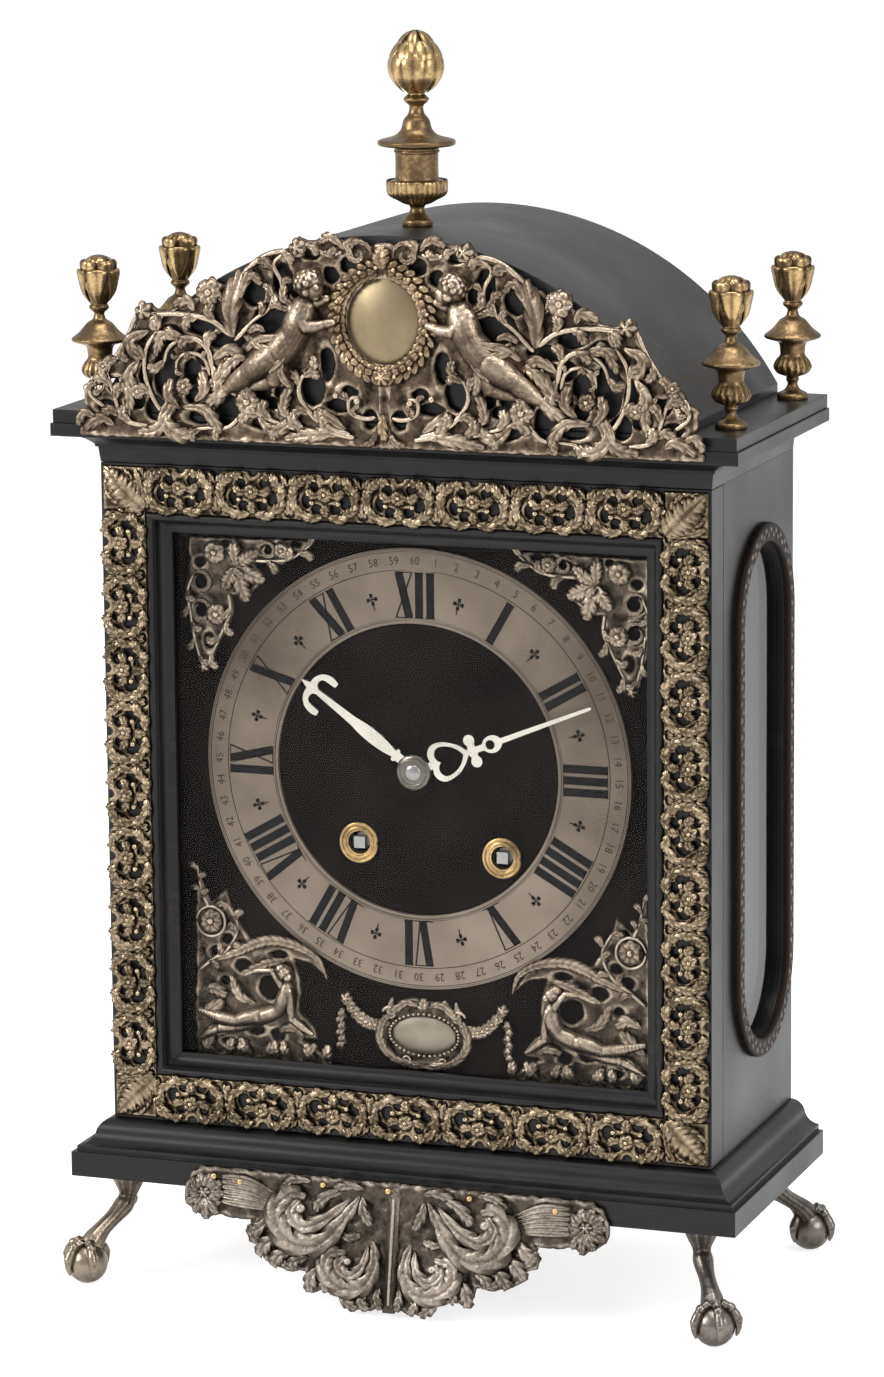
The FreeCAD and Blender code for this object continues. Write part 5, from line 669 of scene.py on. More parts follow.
def about_post(x, y, level, girth):
    """Place round an upright post: along is measured on a round of radius girth, out from the axis."""
    return lambda along, up, out: Vector((x + out * cos(along / girth), y + out * sin(along / girth),
                                          level + up))


# Border of the door
BORDER_CENTRE = 213.5
BORDER_HALF = (124.4, 132.6)
BORDER_WIDTH = 19.2
UNIT_PITCH = 32.0


def border_unit(mount, pitch):
    """Roundel of two leafy scrolls about a flower, with a bead and leaves before the next one."""
    half = pitch / 2
    tall = BORDER_WIDTH / 2
    share = pitch / UNIT_PITCH
    limits = (-half, half, -tall, tall)
    edge = box_outline(*limits)
    holes = [(x * share, y, wide, high) for x, y, wide, high in (
        (-8.4, -1.6, 2.3, 2.7), (-4.2, -5.2, 2.1, 1.8), (3.6, -5.0, 2.1, 1.8), (8.4, -1.4, 2.3, 2.7),
        (-5.4, 4.6, 1.9, 1.9), (5.2, 4.4, 1.9, 1.9), (16, 6.6, 2.2, 3.2), (-16, 6.6, 2.2, 3.2),
        (0, 9.6, 1.6, 1.8), (16, -7.4, 1.8, 1.6), (-16, -7.4, 1.8, 1.6), (12.6, 9.6, 2.2, 1.2),
        (-12.6, 9.6, 2.2, 1.2))]
    metal = pierced(lambda along, up: edge(along, up) + 1.5, holes, 0.5)
    mount.sheet(limits, 0.55, metal, 0.9, 2.2)
    for side in (share, -share):
        ring = through(*widened(side, (0.6, -8.0, 1.6), (7.5, -8.2, 2.2), (13.4, -3.2, 2.5), (12.6, 4.4, 2.5),
                                (7.0, 8.2, 2.3), (3.6, 6.6, 2.0)))
        mount.stem(ring, 1.4, 0.8)
        for step in range(5):
            root, tip = ring(step / 5.4), ring(min(step / 5.4 + 0.24, 1.0))
            away = Vector((tip.x, tip.y, 0.0)).normalized()
            middle = (root + tip) / 2 + away * 0.9 + Vector((0, 0, 0.8))
            mount.leaf([root, middle, tip + away * 1.2], 5.6, 1.5, lobes=2, sides=7)
        mount.leaf(widened(side, (2.0, 1.4, 2.0), (5.4, 1.2, 2.6), (8.2, 3.4, 2.2)), 4.8, 1.3)
        mount.bead((side * 5.8, -2.2, 2.0), 1.3)
        mount.leaf(widened(side, (14.8, -8.4, 1.0), (15.6, -4.0, 1.8), (14.6, 0.6, 1.6)), 4.6, 1.2)
        mount.leaf(widened(side, (15.4, 3.0, 1.0), (14.2, 6.0, 2.0), (10.8, 8.8, 1.4)), 4.4, 1.2)
    mount.flower((0.0, 1.6, 2.0), 3.7, 6, 2.6)
    mount.leaf([(0.0, -2.2, 1.8), (0.0, -4.8, 2.6), (0.0, -8.2, 1.6)], 5.4, 1.4)
    mount.bead((half, 1.2, 1.8), 1.5)
    mount.bead((half, -3.6, 1.6), 1.0)


def door_border():
    sides = {"top": (0, 7), "left": (90, 9), "bottom": (180, 7), "right": (270, 9)}
    for name, (turn, count) in sides.items():
        lies = turn % 180 == 0
        half = BORDER_HALF[0] if lies else BORDER_HALF[1]
        off = BORDER_HALF[1] if lies else BORDER_HALF[0]
        spin = radians(turn)
        middle = (-off * sin(spin), BORDER_CENTRE + off * cos(spin))
        whole = turned_on_front(BORDER_FACE, middle, turn)
        reach = BORDER_WIDTH / 2
        free = half - reach
        pitch = 2 * free / count
        start = -free + pitch / 2
        mount = Mount("border_" + name, lambda along, up, out: whole(along + start, up, out))
        border_unit(mount, pitch)
        mount.repeat(whole(pitch, 0.0, 0.0) - whole(0.0, 0.0, 0.0), count)
        mount.place = whole
        corner = (half - reach, half + reach, -reach, reach)
        mount.sheet(corner, 0.8, box_outline(*corner), 0.8, 1.5)
        blade = [(half - reach + 0.5, -reach + 0.5, 1.0), (half - 1.0, -1.0, 2.4),
                 (half + reach - 1.2, reach - 1.2, 1.4)]
        mount.leaf(blade, 15.0, 2.0, 0.6, 0.62, lobes=5)
        for hand in (1, -1):
            for far in (2.0, 7.0):
                if hand > 0:
                    tip = (half + reach - 0.8, far - 7.5)
                else:
                    tip = (half - far + 7.5 - reach * 0.2, reach - 0.8)
                root = (half - reach + 1.0, -reach + 1.0)
                bend = ((root[0] + tip[0]) / 2 + hand, (root[1] + tip[1]) / 2 - hand, 1.9)
                mount.leaf([(*root, 1.0), bend, (*tip, 1.2)], 4.8, 1.2)
        mount.piece(border_metal, "front_door", "silvered_mounts",
                    *(["door_border"] if name == "top" else []))


door_border()


# Cresting
CRESTING_EDGE = [
    (-3, 0), (136.5, 0), (137, 3.5), (132, 8.6), (134.6, 14), (135, 20.6), (130, 24.7), (126, 30.5),
    (120, 32), (117.5, 35), (113, 42), (109.5, 51), (108, 56.5), (103.5, 57), (99, 54), (90, 56),
    (82, 60.5), (80.5, 66.5), (76, 68.7), (71, 65.5), (66.6, 68), (60, 73), (53, 77), (48, 79),
    (42.5, 79.5), (37, 86.5), (30, 85), (22, 86.4), (16, 85), (12, 86.8), (6, 84), (-3, 85)]
CRESTING_HOLES = [
    (14.8, 75.5, 3.4, 3.0), (22.9, 70.9, 2.6, 2.6), (31.5, 80, 3.0, 1.9), (39.0, 64.2, 2.0, 2.6),
    (44.2, 68.4, 3.4, 6.2), (48.6, 51.2, 7.6, 5.6), (57.2, 62.5, 4.4, 4.4), (70.2, 42.1, 7.4, 2.6),
    (81, 47.4, 5.0, 2.6), (94.6, 43.6, 4.4, 3.8), (65.7, 30.8, 4.4, 3.4), (79.3, 35, 3.2, 3.2),
    (85.1, 28.6, 3.2, 4.6), (96.8, 27.6, 4.8, 9.6), (85.1, 18.5, 2.4, 3.4), (69.9, 13.4, 4.6, 5.6),
    (54, 21.6, 3.0, 2.6), (50, 17.1, 3.4, 1.8), (31.5, 24.4, 4.4, 6.4), (25.2, 34.2, 2.4, 5.8),
    (20.2, 17, 4.8, 2.1), (15.7, 22.6, 3.0, 2.3), (6.2, 11.9, 2.5, 3.3), (45.9, 21.1, 2.2, 2.2),
    (52.7, 8.4, 5.2, 1.8), (81, 10.2, 5.2, 2.1), (101.8, 12.7, 3.8, 4.2), (110.8, 15.4, 3.4, 2.5),
    (106.3, 25.7, 2.2, 4.4), (119.8, 22.3, 2.9, 2.5), (124.8, 12.9, 3.4, 2.1), (128.4, 19.4, 1.6, 1.6)]
PLAQUE_HOLE = (0, PLAQUE_RISE, 15.4, 17.2)


def cresting_half(mount):
    """Scrolls, leaves and flowers from the end of the cornice to the plaque."""
    opened = 1.14
    holes = [(along, up, wide * opened, tall * opened) for along, up, wide, tall in CRESTING_HOLES]
    metal = pierced(outline(CRESTING_EDGE), [*holes, PLAQUE_HOLE])
    mount.sheet((-3, 138, 0, 88), 0.8, metal, 1.5, 2.4, 0.6, 0.5)
    vines = [
        ([(104, 5, 2), (116, 8, 2.4), (120.5, 19, 2.6), (124, 29, 2.4)], 1.3, 0.8, 8.5),
        ([(124, 12, 2), (131, 18, 2.5), (129.5, 25, 2.6), (125, 23, 2.4), (126, 18.5, 2.2)], 1.1, 0.6, 5.5),
        ([(94.5, 8, 2), (101, 15, 2.6), (105.6, 26, 3), (105, 38, 3), (98.5, 47, 3)], 1.2, 1.0, 8.0),
        ([(109, 53, 2.6), (113.5, 43, 2.6), (119.5, 34, 2.4), (124.5, 30, 2.2)], 1.1, 0.8, 7.5),
        ([(75, 29, 2.6), (78, 39.5, 3), (86, 43.5, 3.2), (94.5, 39, 3), (97.6, 31, 2.8)], 1.5, 0.8, 8.5),
        ([(76.5, 27, 2.6), (79, 34.5, 2.8), (85.5, 37, 2.8), (91, 34, 2.8), (92, 28, 2.6)], 1.0, 0.6, 4.0),
        ([(66, 44, 2.6), (76, 51, 3), (90, 53, 3), (101, 52.5, 3), (108, 53.5, 3)], 1.5, 1.0, 8.5),
        ([(66, 42, 2.6), (57, 51, 3), (50, 56.5, 3), (47.5, 63.5, 3)], 1.3, 0.7, 6.5),
        ([(62, 70, 2.6), (53, 77.5, 3), (44.5, 80.5, 3), (38, 79, 3)], 1.3, 1.0, 7.5),
        ([(45, 57, 2.4), (44, 67, 2.6), (47.5, 75, 2.8), (42, 80, 3)], 1.2, 0.9, 6.0),
        ([(40, 80, 2.8), (32, 83.5, 3), (24, 79.5, 3), (17, 81, 3)], 1.2, 0.9, 7.0),
        ([(12, 4, 2.2), (24, 6, 2.6), (38, 7, 2.8), (52, 11, 3), (60, 16, 3)], 1.4, 0.9, 9.5),
        ([(14, 5, 2.2), (28, 10, 2.8), (36.5, 20, 3), (36, 28, 3), (31.5, 31, 2.8)], 1.5, 0.8, 8.0),
        ([(3, 13, 2.6), (9, 12.5, 2.8), (14.5, 15, 3), (15, 20, 3), (11.5, 21, 2.8), (10.5, 18, 2.6)],
         1.2, 0.8, 4.5),
        ([(60, 16, 2.4), (68, 7, 2.6), (76, 6, 2.4), (84, 5, 2.2)], 1.1, 0.8, 6.5)]
    for points, thick, thin, size in vines:
        mount.vine(points, thick, thin, size, inside=metal)
    leaves = [
        ([(66, 43, 2.8), (66.5, 56, 4.2), (61.5, 72, 3.2)], 10.5),
        ([(64, 58, 3), (58, 70, 4), (52.5, 66.5, 3.4)], 5.5),
        ([(94, 19, 2.6), (97.5, 8, 3.4), (90, 2.5, 3.6), (84, 4.5, 3)], 8.5),
        ([(91, 18, 2.6), (100, 5, 3.4), (110, 2.5, 3)], 7.0),
        ([(90, 14, 2.6), (80, 14, 3.8), (74, 8, 3.8), (74, 2.5, 3)], 6.5),
        ([(76, 33, 2.6), (72, 22, 4), (78, 15, 3.4)], 8.0),
        ([(90, 13, 2.6), (95, 19, 4), (94, 26, 3.2)], 6.0),
        ([(84, 16, 2.6), (79, 22, 4), (80.5, 29.5, 3.2)], 6.5),
        ([(79, 23, 2.6), (72, 27, 3.8), (68, 36, 3.2)], 7.0),
        ([(76, 34, 2.6), (68, 39, 3.6), (61, 35, 3)], 7.0),
        ([(103, 46, 2.6), (112, 41, 3.6), (108, 33, 3)], 7.5),
        ([(108, 34, 2.6), (113, 26, 3.4), (110, 19, 2.8)], 7.0),
        ([(128, 8, 2.2), (134, 10, 3), (137, 4.5, 2.6)], 5.0),
        ([(118, 26, 2.4), (113, 20, 3.2), (114, 9, 2.6)], 6.0),
        ([(18, 6, 2.4), (31, 5, 3.8), (44, 2.5, 3)], 7.5),
        ([(16, 7, 2.4), (25, 13, 3.8), (30, 12, 3)], 6.5),
        ([(56, 12, 2.4), (48, 6, 3.4), (38, 12, 3)], 7.0),
        ([(40, 10, 2.4), (44, 16, 3.2), (40, 27, 3)], 6.0),
        ([(16, 82, 2.6), (22, 87, 3.6), (28, 84, 3)], 5.0),
        ([(12, 78, 2.6), (15, 84, 3.4), (10, 86, 3)], 4.5),
        ([(83, 54, 2.6), (86, 59, 3.6), (93, 56.5, 3)], 6.0),
        ([(70, 58, 2.6), (73, 64, 3.4), (71, 66, 3)], 5.0),
        ([(3, 7, 2.4), (5, 3, 3), (9, 1.5, 2.6)], 4.0),
        ([(120, 5, 2.2), (126, 8, 3), (134, 3, 2.6)], 6.0),
        ([(60, 36, 2.6), (66, 34, 4), (74, 24, 3.4)], 6.5),
        ([(88, 44, 3), (97, 44, 4.2), (101, 35, 3.2)], 6.5)]
    for points, width in leaves:
        mount.leaf(points, width, 1.9)
    for at, radius in (((76.5, 62.5, 3.0), 5.6), ((60.0, 17.5, 3.0), 5.6), ((88.0, 23.0, 3.4), 3.8),
                       ((109.0, 20.0, 2.8), 3.6), ((124.5, 30.0, 2.6), 3.0)):
        mount.flower(at, radius, 6, 2.6)
    for at, radius in (((105.5, 54.0, 3.0), 4.4), ((36.5, 82.5, 3.2), 4.2)):
        mount.dome(at, radius, 5, 3.4)
    for at, radius in (((11.5, 19.5, 3.0), 1.6), ((21, 21.5, 3.0), 1.5), ((126.5, 21, 2.8), 1.6),
                       ((29.5, 30, 3.0), 1.7)):
        mount.bead(at, radius)
    mount.leaf(scroll((10.5, 80.5), 6.0, 1.5, 200, -420, 2.6, 1.0), 3.2, 1.2)


def wreath(mount, half_width, half_height, centre):
    """Laurel round an oval, in three rows of leaves with berries between."""
    count = 34
    for step in range(count):
        turn = 2 * pi * step / count
        across, up = cos(turn), sin(turn)
        ring = Vector((centre[0] + half_width * across, centre[1] + half_height * up, 2.8))
        flow = Vector((half_width * across, half_height * up, 0.0)).normalized()
        ahead = Vector((flow.y, -flow.x, 0.0)) * (1 if across >= 0 else -1)
        for aside, lift in ((0.0, 2.4), (3.0, 1.0), (-2.0, 1.2)):
            root = ring + flow * aside * 0.4
            tip = root + ahead * 4.8 + flow * aside
            middle = (root + tip) / 2 + Vector((0, 0, lift))
            mount.leaf([root, middle, tip + Vector((0, 0, lift * 0.6))], 3.2, 0.9, lobes=1, sides=5)
        if step % 2:
            mount.bead(ring + flow * 1.6 + Vector((0, 0, 2.4)), 0.9)


def putto(name, side):
    """A child who leans on the plaque with one leg stretched out behind; the face is plain and calm."""
    place = figure_on_front(CRESTING_BACK, CRESTING_FOOT, side)
    limbs = [
        ([(32.0, 63.5, 4.4), (33.2, 59, 4.2)], (2.8, 3.4)),
        ([(34.0, 57.5, 3.6), (35.8, 52, 4.4), (38.4, 46.5, 4.6), (42.5, 41.5, 4.4), (47, 37.5, 4.2)],
         (5.4, 6.8, 6.4, 7.0, 6.8)),
        ([(37.8, 56.5, 5.4), (34.6, 52.6, 7.6), (31.8, 50.2, 8.0)], (3.4, 3.3, 2.8)),
        ([(31.8, 50.2, 8), (27.6, 50.4, 7.4), (23.2, 51.6, 6.4)], (2.8, 2.6, 1.7)),
        ([(23.2, 51.6, 6.4), (20.8, 52.2, 6)], (2.0, 1.6)),
        ([(32.0, 58.5, 2.6), (28, 60, 3.4), (24.0, 61.8, 4)], (3.0, 2.6, 1.7)),
        ([(47.5, 37.5, 5.2), (52.5, 34.2, 5.8), (57.8, 30.6, 5.4)], (6.4, 5.8, 4.4)),
        ([(57.8, 30.6, 5.4), (62.5, 27, 4.6), (68.4, 22.8, 4)], (4.2, 4.3, 2.4)),
        ([(68.4, 22.8, 4), (71, 20.4, 3.8), (74, 18.6, 3.4)], (2.2, 2.3, 1.4)),
        ([(45, 36, 3.4), (46.4, 31.5, 4.4), (47.4, 27.4, 4.6)], (5.2, 4.6, 3.6)),
        ([(47.4, 27.4, 4.6), (52, 25.6, 3.8), (57.4, 24, 3.2)], (3.4, 3.2, 2.0))]
    head = (31.2, 67.8, 5.0)
    balls = [(head, 6.2, 3), ((28.4, 65.2, 7.0), 3.9, 3), ((30.6, 64.8, 9.0), 2.4), ((26.6, 66.6, 9.0), 1.5),
             ((27.4, 62.8, 8.0), 1.9)]
    crown = Vector((0.5, 0.78, 0.15)).to_track_quat("Z", "Y")
    curls = 34
    golden_angle = 137.5
    for step in range(curls):
        turn = radians(step * golden_angle)
        height = 1.0 - 0.85 * (step + 0.5) / curls
        reach = sqrt(1.0 - height ** 2)
        curl = crown @ Vector((reach * cos(turn), reach * sin(turn), height)) * 5.2
        balls.append((Vector(head) + curl, 1.7, 3))
    figure(name, place, limbs, balls, 0.4, 9, silvered_mounts)
    dress = Mount(name + "_cloth", place)
    folds = [([(40, 46, 8.4), (46, 45.5, 8.6), (54, 43.5, 6.6), (60, 39, 4)], 4.6),
             ([(41, 43, 8.8), (47, 41, 9.4), (53, 41.5, 7.6), (58, 44.5, 5)], 4.2),
             ([(39.5, 41, 8.6), (43, 35.5, 9.2), (48, 32, 8.4), (51, 27, 5)], 4.6),
             ([(42, 37.5, 8.6), (43, 30, 7.6), (40, 24, 4.6)], 4.2),
             ([(50, 47, 6), (54, 49, 5.4), (59, 46.5, 4)], 4.0)]
    for points, width in folds:
        dress.leaf(points, width, 1.6, 0.1, lobes=2)
    for points in ([(38, 58, 2.6), (43, 61, 3.4), (42.6, 67, 3)],
                   [(39, 56, 2.6), (45.5, 58, 3.2), (48, 63.5, 2.8)]):
        dress.leaf(points, 5.0, 1.6)
    dress.piece(silvered_mounts, "case", "silvered_mounts")


def cresting():
    place = on_front(CRESTING_BACK, CRESTING_FOOT)
    both_sides("cresting", place, cresting_half, silvered_mounts, "cresting")
    mount = Mount("cresting_wreath", place)
    wreath(mount, 19.0, 21.2, (0.0, PLAQUE_RISE))
    mount.leaf([(0, 15, 3.4), (0, 10, 4.4), (0, 3.5, 3)], 6.0, 1.8)
    mount.leaf([(0, 74, 3), (0, 79, 4.6), (0, 84, 3.4)], 9.0, 2.0, lobes=3)
    mount.dome((0.0, 30.0, 3.2), 4.2, 6, 3.0)
    mount.piece(wreath_metal, "case", "silvered_mounts")
    for name, side in (("putto_right", 1), ("putto_left", -1)):
        putto(name, side)


cresting()


# Apron
APRON_EDGE = [
    (-3, 10.4), (88, 10.4), (93, 7.4), (96, -1.5), (94.5, -7.0), (90, -10), (85, -12.8), (79, -10),
    (70, -11.4), (63, -10.8), (66.5, -16), (65, -20.4), (60.4, -22), (57.3, -28), (48.2, -31), (38, -31),
    (37.4, -35.6), (35.6, -40), (29, -37.6), (21.3, -40.4), (15, -45.4), (9.1, -45), (5.5, -43.4),
    (-3, -45.2)]


def apron_place(along, up, out):
    """The strip above the hinge line stands upright, the drop below it leans forwards."""
    if up > 0:
        return Vector((along, APRON_FACE - out, APRON_HINGE + up))
    return Vector((along, APRON_FACE + up * sin(APRON_LEAN) - out * cos(APRON_LEAN),
                   APRON_HINGE + up * cos(APRON_LEAN) + out * sin(APRON_LEAN)))


def apron_half(mount):
    """Acanthus scrolls from the ends of the apron to its middle rib; up is measured from the plinth."""
    mount.sheet((-3, 98, -48, 11), 0.8, pierced(outline(APRON_EDGE), []), 0.5, 1.4, 0.4, 0.9)
    leaves = [
        ([(15, 4.5, 1), (23, -9, 3), (34, -19, 4), (47, -17, 4.4), (52.5, -6, 4), (46, 3, 3.4),
          (39, 1.5, 3)], 12.5),
        ([(19, 3, 1), (29, -7, 2.8), (40, -11.5, 3.4), (46, -6, 3.2), (42, 0, 3)], 9.0),
        ([(22, 6, 1), (31, 2, 2.6), (35, -5, 2.4)], 7.0),
        ([(13, 7, 1), (20, 8.4, 2.4), (27, 6, 2)], 5.5),
        ([(14, 4, 1), (13, -3, 2.4), (9.5, -9, 2)], 6.0),
        ([(37, 8.4, 1), (45, 8.6, 2.4), (51, 4, 2)], 5.0),
        ([(9, -14, 1), (6.6, -25, 3), (11.5, -34.5, 3.8), (21, -35.5, 4), (28.5, -29.5, 3.8), (27, -22, 3.2),
          (19.5, -20.6, 3)], 10.5),
        ([(10.5, -17, 1), (12, -26, 3), (18, -30.5, 3.6), (23, -26.5, 3.2), (20, -22.5, 3)], 7.0),
        ([(24, -13, 1), (19, -14.5, 2.4), (14, -13, 2)], 5.0),
        ([(54, -8, 1), (60, -14, 2.6), (65.5, -17.5, 1.8)], 7.5),
        ([(50, -17, 1), (56, -20, 2.8), (60, -26, 1.8)], 8.0),
        ([(44, -22, 1), (50, -25, 2.8), (53, -30, 1.8)], 8.0),
        ([(37, -24, 1), (43, -27, 2.6), (43, -31, 1.8)], 7.0),
        ([(31, -28, 1), (35, -33, 2.8), (35.4, -39.5, 1.8)], 7.5),
        ([(27, -32, 1), (29, -35.5, 2.2), (27, -38, 1.6)], 6.0),
        ([(22, -37, 1), (19, -41.5, 2.4), (14, -44.5, 1.6)], 6.0),
        ([(10, -37, 1), (12, -41, 2.4), (9, -44.6, 1.6)], 5.5),
        ([(4.5, -34, 1), (5, -39, 2.2), (3.4, -44, 1.6)], 5.0),
        ([(58, -20, 1), (62, -18, 2.2), (65, -13, 1.6)], 5.0),
        ([(40, -29, 1), (46, -29, 2.2), (50, -26, 1.6)], 4.6)]
    for points, width in leaves:
        mount.leaf(points, width, 2.2, lobes=len(points) - 2 if len(points) > 4 else None)
    for rib in range(6):
        lift = rib - 2.5
        ray = [(54 - rib * 0.5, -3 + lift * 1.2, 0.6), (66, 0.5 + lift * 2.3, 1.4), (79, 1 + lift * 2.2, 0.9)]
        mount.leaf(ray, 3.2, 1.1, 0.0, lobes=1)
    rosette = (86.0, -0.8)
    for turn in range(0, 360, 36):
        reach = Vector((cos(radians(turn)), sin(radians(turn)), 0.0))
        root = Vector((*rosette, 1.0))
        mount.leaf([root, root + reach * 4.6 + Vector((0, 0, 1.8)), root + reach * 8.6], 5.8, 1.4)
    for tip in ((79.5, -10.0), (84.5, -12.6), (90.0, -10.4), (94.6, -6.0)):
        mount.leaf([(86.0, -2.0, 2.0), ((86.0 + tip[0]) / 2, (tip[1] - 2.0) / 2, 3.4), (*tip, 2.0)], 4.8, 1.5)
    mount.dome((*rosette, 2.6), 3.2, 6, 2.0)
    mount.dome((41.5, -4.0, 2.6), 2.4, 0, 2.4)
    mount.dome((19.0, -24.6, 2.6), 2.0, 0, 2.2)


def apron_rib(mount):
    mount.bar((-2.6, 2.6), (-45, 0), (0.4, 1.7))
    mount.bar((-2.6, 2.6), (0, 9), (0.4, 1.7))
    mount.stem([(0, 5, 1.6), (0, -20, 1.8), (0, -43, 1.6)], 0.9, 0.9)


def apron():
    both_sides("apron", apron_place, apron_half, apron_metal, "apron", middle=apron_rib)
    pins = Mount("apron_pins", apron_place)
    for along, up in ((-82, 6.5), (-70, 5.0), (-32, 7.0), (-2.5, 7.0), (34, 7.0), (72, 5.0)):
        pins.dome((along, up, 1.4), 1.5, 0, 1.2)
    pins.piece(gilt_brass, "case", "silvered_mounts")


apron()


# Dial
HOUR_NAMES = ["XII", "I", "II", "III", "IIII", "V", "VI", "VII", "VIII", "IX", "X", "XI"]
LETTER_WIDTH = {"I": 5.0, "V": 8.8, "X": 8.5}
MINUTE_RADIUS = 89.6
MINUTE_SIZE = 5.0


def stroke(mount, start, end, wide):
    """Flat straight stroke between two points of the ring's face."""
    ahead = Vector((end[0] - start[0], end[1] - start[1]))
    aside = Vector((-ahead.y, ahead.x)).normalized() * wide / 2
    made = bmesh.ops.create_cube(mount.mesh, size=1.0)
    for vert in made["verts"]:
        spot = Vector(start) + ahead * (vert.co.x + 0.5) + aside * 2 * vert.co.y
        mount.set(vert, spot.x, spot.y, 0.04 * (vert.co.z + 0.5) + 0.01, 0.5)


def numeral(mount, letters):
    """Roman hour, drawn upright about along 0; its strokes are thick and thin as with a broad pen."""
    low, high = 65.4, 84.7
    left = -sum(LETTER_WIDTH[letter] for letter in letters) / 2
    for letter in letters:
        right = left + LETTER_WIDTH[letter]
        middle = (left + right) / 2
        if letter == "I":
            stroke(mount, (middle, low), (middle, high), 3.6)
        elif letter == "V":
            stroke(mount, (left + 1.9, high), (middle + 0.6, low), 3.5)
            stroke(mount, (right - 0.6, high), (middle + 1.7, low), 0.7)
        else:
            stroke(mount, (left + 1.9, high), (right - 1.9, low), 3.7)
            stroke(mount, (right - 0.7, high), (left + 0.8, low), 0.7)
        stroke(mount, (left + 0.3, high), (right - 0.3, high), 0.45)
        stroke(mount, (left + 0.3, low), (right - 0.3, low), 0.45)
        left = right


def ring_place(turn):
    """Place on the chapter ring: along is across the turned hour, up is away from the centre."""
    return turned_on_front(RING_FACE, (0.0, RING_CENTRE), -turn)


def half_hour_mark(mount):
    """Small cross of four lobes on a stalk."""
    for x, z in ((0, 76.4), (1.7, 74.7), (-1.7, 74.7), (0, 73.0)):
        stroke(mount, (x, z - 0.85), (x, z + 0.85), 1.5)
    stroke(mount, (-1.7, 74.7), (1.7, 74.7), 0.6)
    stroke(mount, (0, 70.0), (0, 76.4), 0.5)


def minute_figures():
    """Engraved minute numbers, one to sixty, that read outwards."""
    mount = Mount("minute_figures", ring_place(0))
    for minute in range(1, 61):
        curve = bpy.data.curves.new("figure", "FONT")
        curve.body = str(minute)
        curve.size = MINUTE_SIZE
        curve.align_x = "CENTER"
        curve.align_y = "CENTER"
        curve.extrude = 0.02
        curve.resolution_u = 2
        writer = bpy.data.objects.new("figure", curve)
        data = bpy.data.meshes.new_from_object(writer)
        mount.place = ring_place(minute * 6)
        first = len(mount.mesh.verts)
        mount.mesh.from_mesh(data)
        mount.mesh.verts.ensure_lookup_table()
        for vert in mount.mesh.verts[first:]:
            mount.set(vert, vert.co.x * 0.9, MINUTE_RADIUS + vert.co.y, 0.04 + vert.co.z, 0.5)
        bpy.data.objects.remove(writer)
        bpy.data.curves.remove(curve)
        bpy.data.meshes.remove(data)
    mount.piece(engraved_brown, "case", "silvered_ring", smooth=False)


def dial_marks():
    hours = Mount("hour_numerals", ring_place(0))
    for hour, letters in enumerate(HOUR_NAMES):
        hours.place = ring_place(hour * 30)
        numeral(hours, letters)
    hours.piece(engraved_black, "case", "silvered_ring", smooth=False)
    halves = Mount("half_hour_marks", ring_place(0))
    for half in range(12):
        halves.place = ring_place(half * 30 + 15)
        half_hour_mark(halves)
    halves.place = ring_place(0)
    for radius, wide in ((64.4, 0.16), (65.2, 0.1), (85.8, 0.16), (93.6, 0.14), (94.4, 0.1)):
        def circle(t, radius=radius):
            return Vector((radius * sin(2 * pi * t), radius * cos(2 * pi * t), 0.0))

        halves.stem(circle, wide, wide, 4, 180)
    halves.piece(engraved_black, "case", "silvered_ring", smooth=False)
    minute_figures()


dial_marks()


def hand_centre():
    """Turned boss over the hands, with a ring and a pin."""
    hub = Mount("hand_boss", turned_on_front(MINUTE_HAND_FACE, (0.0, RING_CENTRE), 0))
    hub.dome((0.0, 0.0, 0.0), 7.9, 0, 1.6)
    hub.stem(scroll((0.0, 0.0), 5.6, 5.6, 0, 360, 1.0), 0.55, 0.55, 6, 60)
    hub.piece(collet_steel, "minute_work", "hand_steel", "hand_collet")
    pin = Mount("hand_pin", hub.place)
    pin.dome((0.0, 0.0, 1.0), 3.8, 0, 1.35)
    pin.piece(steel, "minute_work", "hand_steel")
    collets = Mount("collet_rims", on_front(DIAL_FACE))
    for x, z in ((37.7, RING_CENTRE - 35.5), (-26.6, RING_CENTRE - 33.0)):
        for radius, out in ((8.2, 1.4), (6.4, 1.2)):
            collets.stem(scroll((x, z), radius, radius, 0, 360, out), 0.7, 0.7, 6, 60)
    collets.piece(gilt_plain, "case", "movement_brass")


hand_centre()


# Corner mounts of the dial
UPPER_EDGE = [
    (103, 324), (103, 312), (104.5, 300), (103, 286), (99, 270), (95.5, 266.5), (92, 272), (88, 281),
    (82.5, 291), (83, 299), (77, 298.5), (70, 304), (68.5, 309), (73, 314), (60, 313.5), (50, 319),
    (44.5, 324.6)]
UPPER_HOLES = [
    (96.9, 304.5, 3.8, 3.6), (96.9, 292.2, 3.6, 4.2), (97.5, 313, 2.4, 2.2), (66, 319.5, 3.2, 2.0),
    (54, 322.6, 2.6, 1.4), (85.5, 321.5, 1.8, 1.4), (94, 279, 2.0, 3.5)]
LOWER_EDGE = [
    (40.5, 96), (103, 96), (104, 115.5), (103, 135.5), (103, 155.5), (101.5, 182), (99, 172), (95, 164),
    (88, 171), (86, 164), (82, 155.8), (77, 149), (65, 152), (56, 150), (47.5, 144), (41.8, 134.5),
    (49.5, 140.5), (57, 142), (55, 135), (54, 128), (55.5, 119), (48, 112), (47, 107.5), (54, 106.5),
    (45, 101.5)]
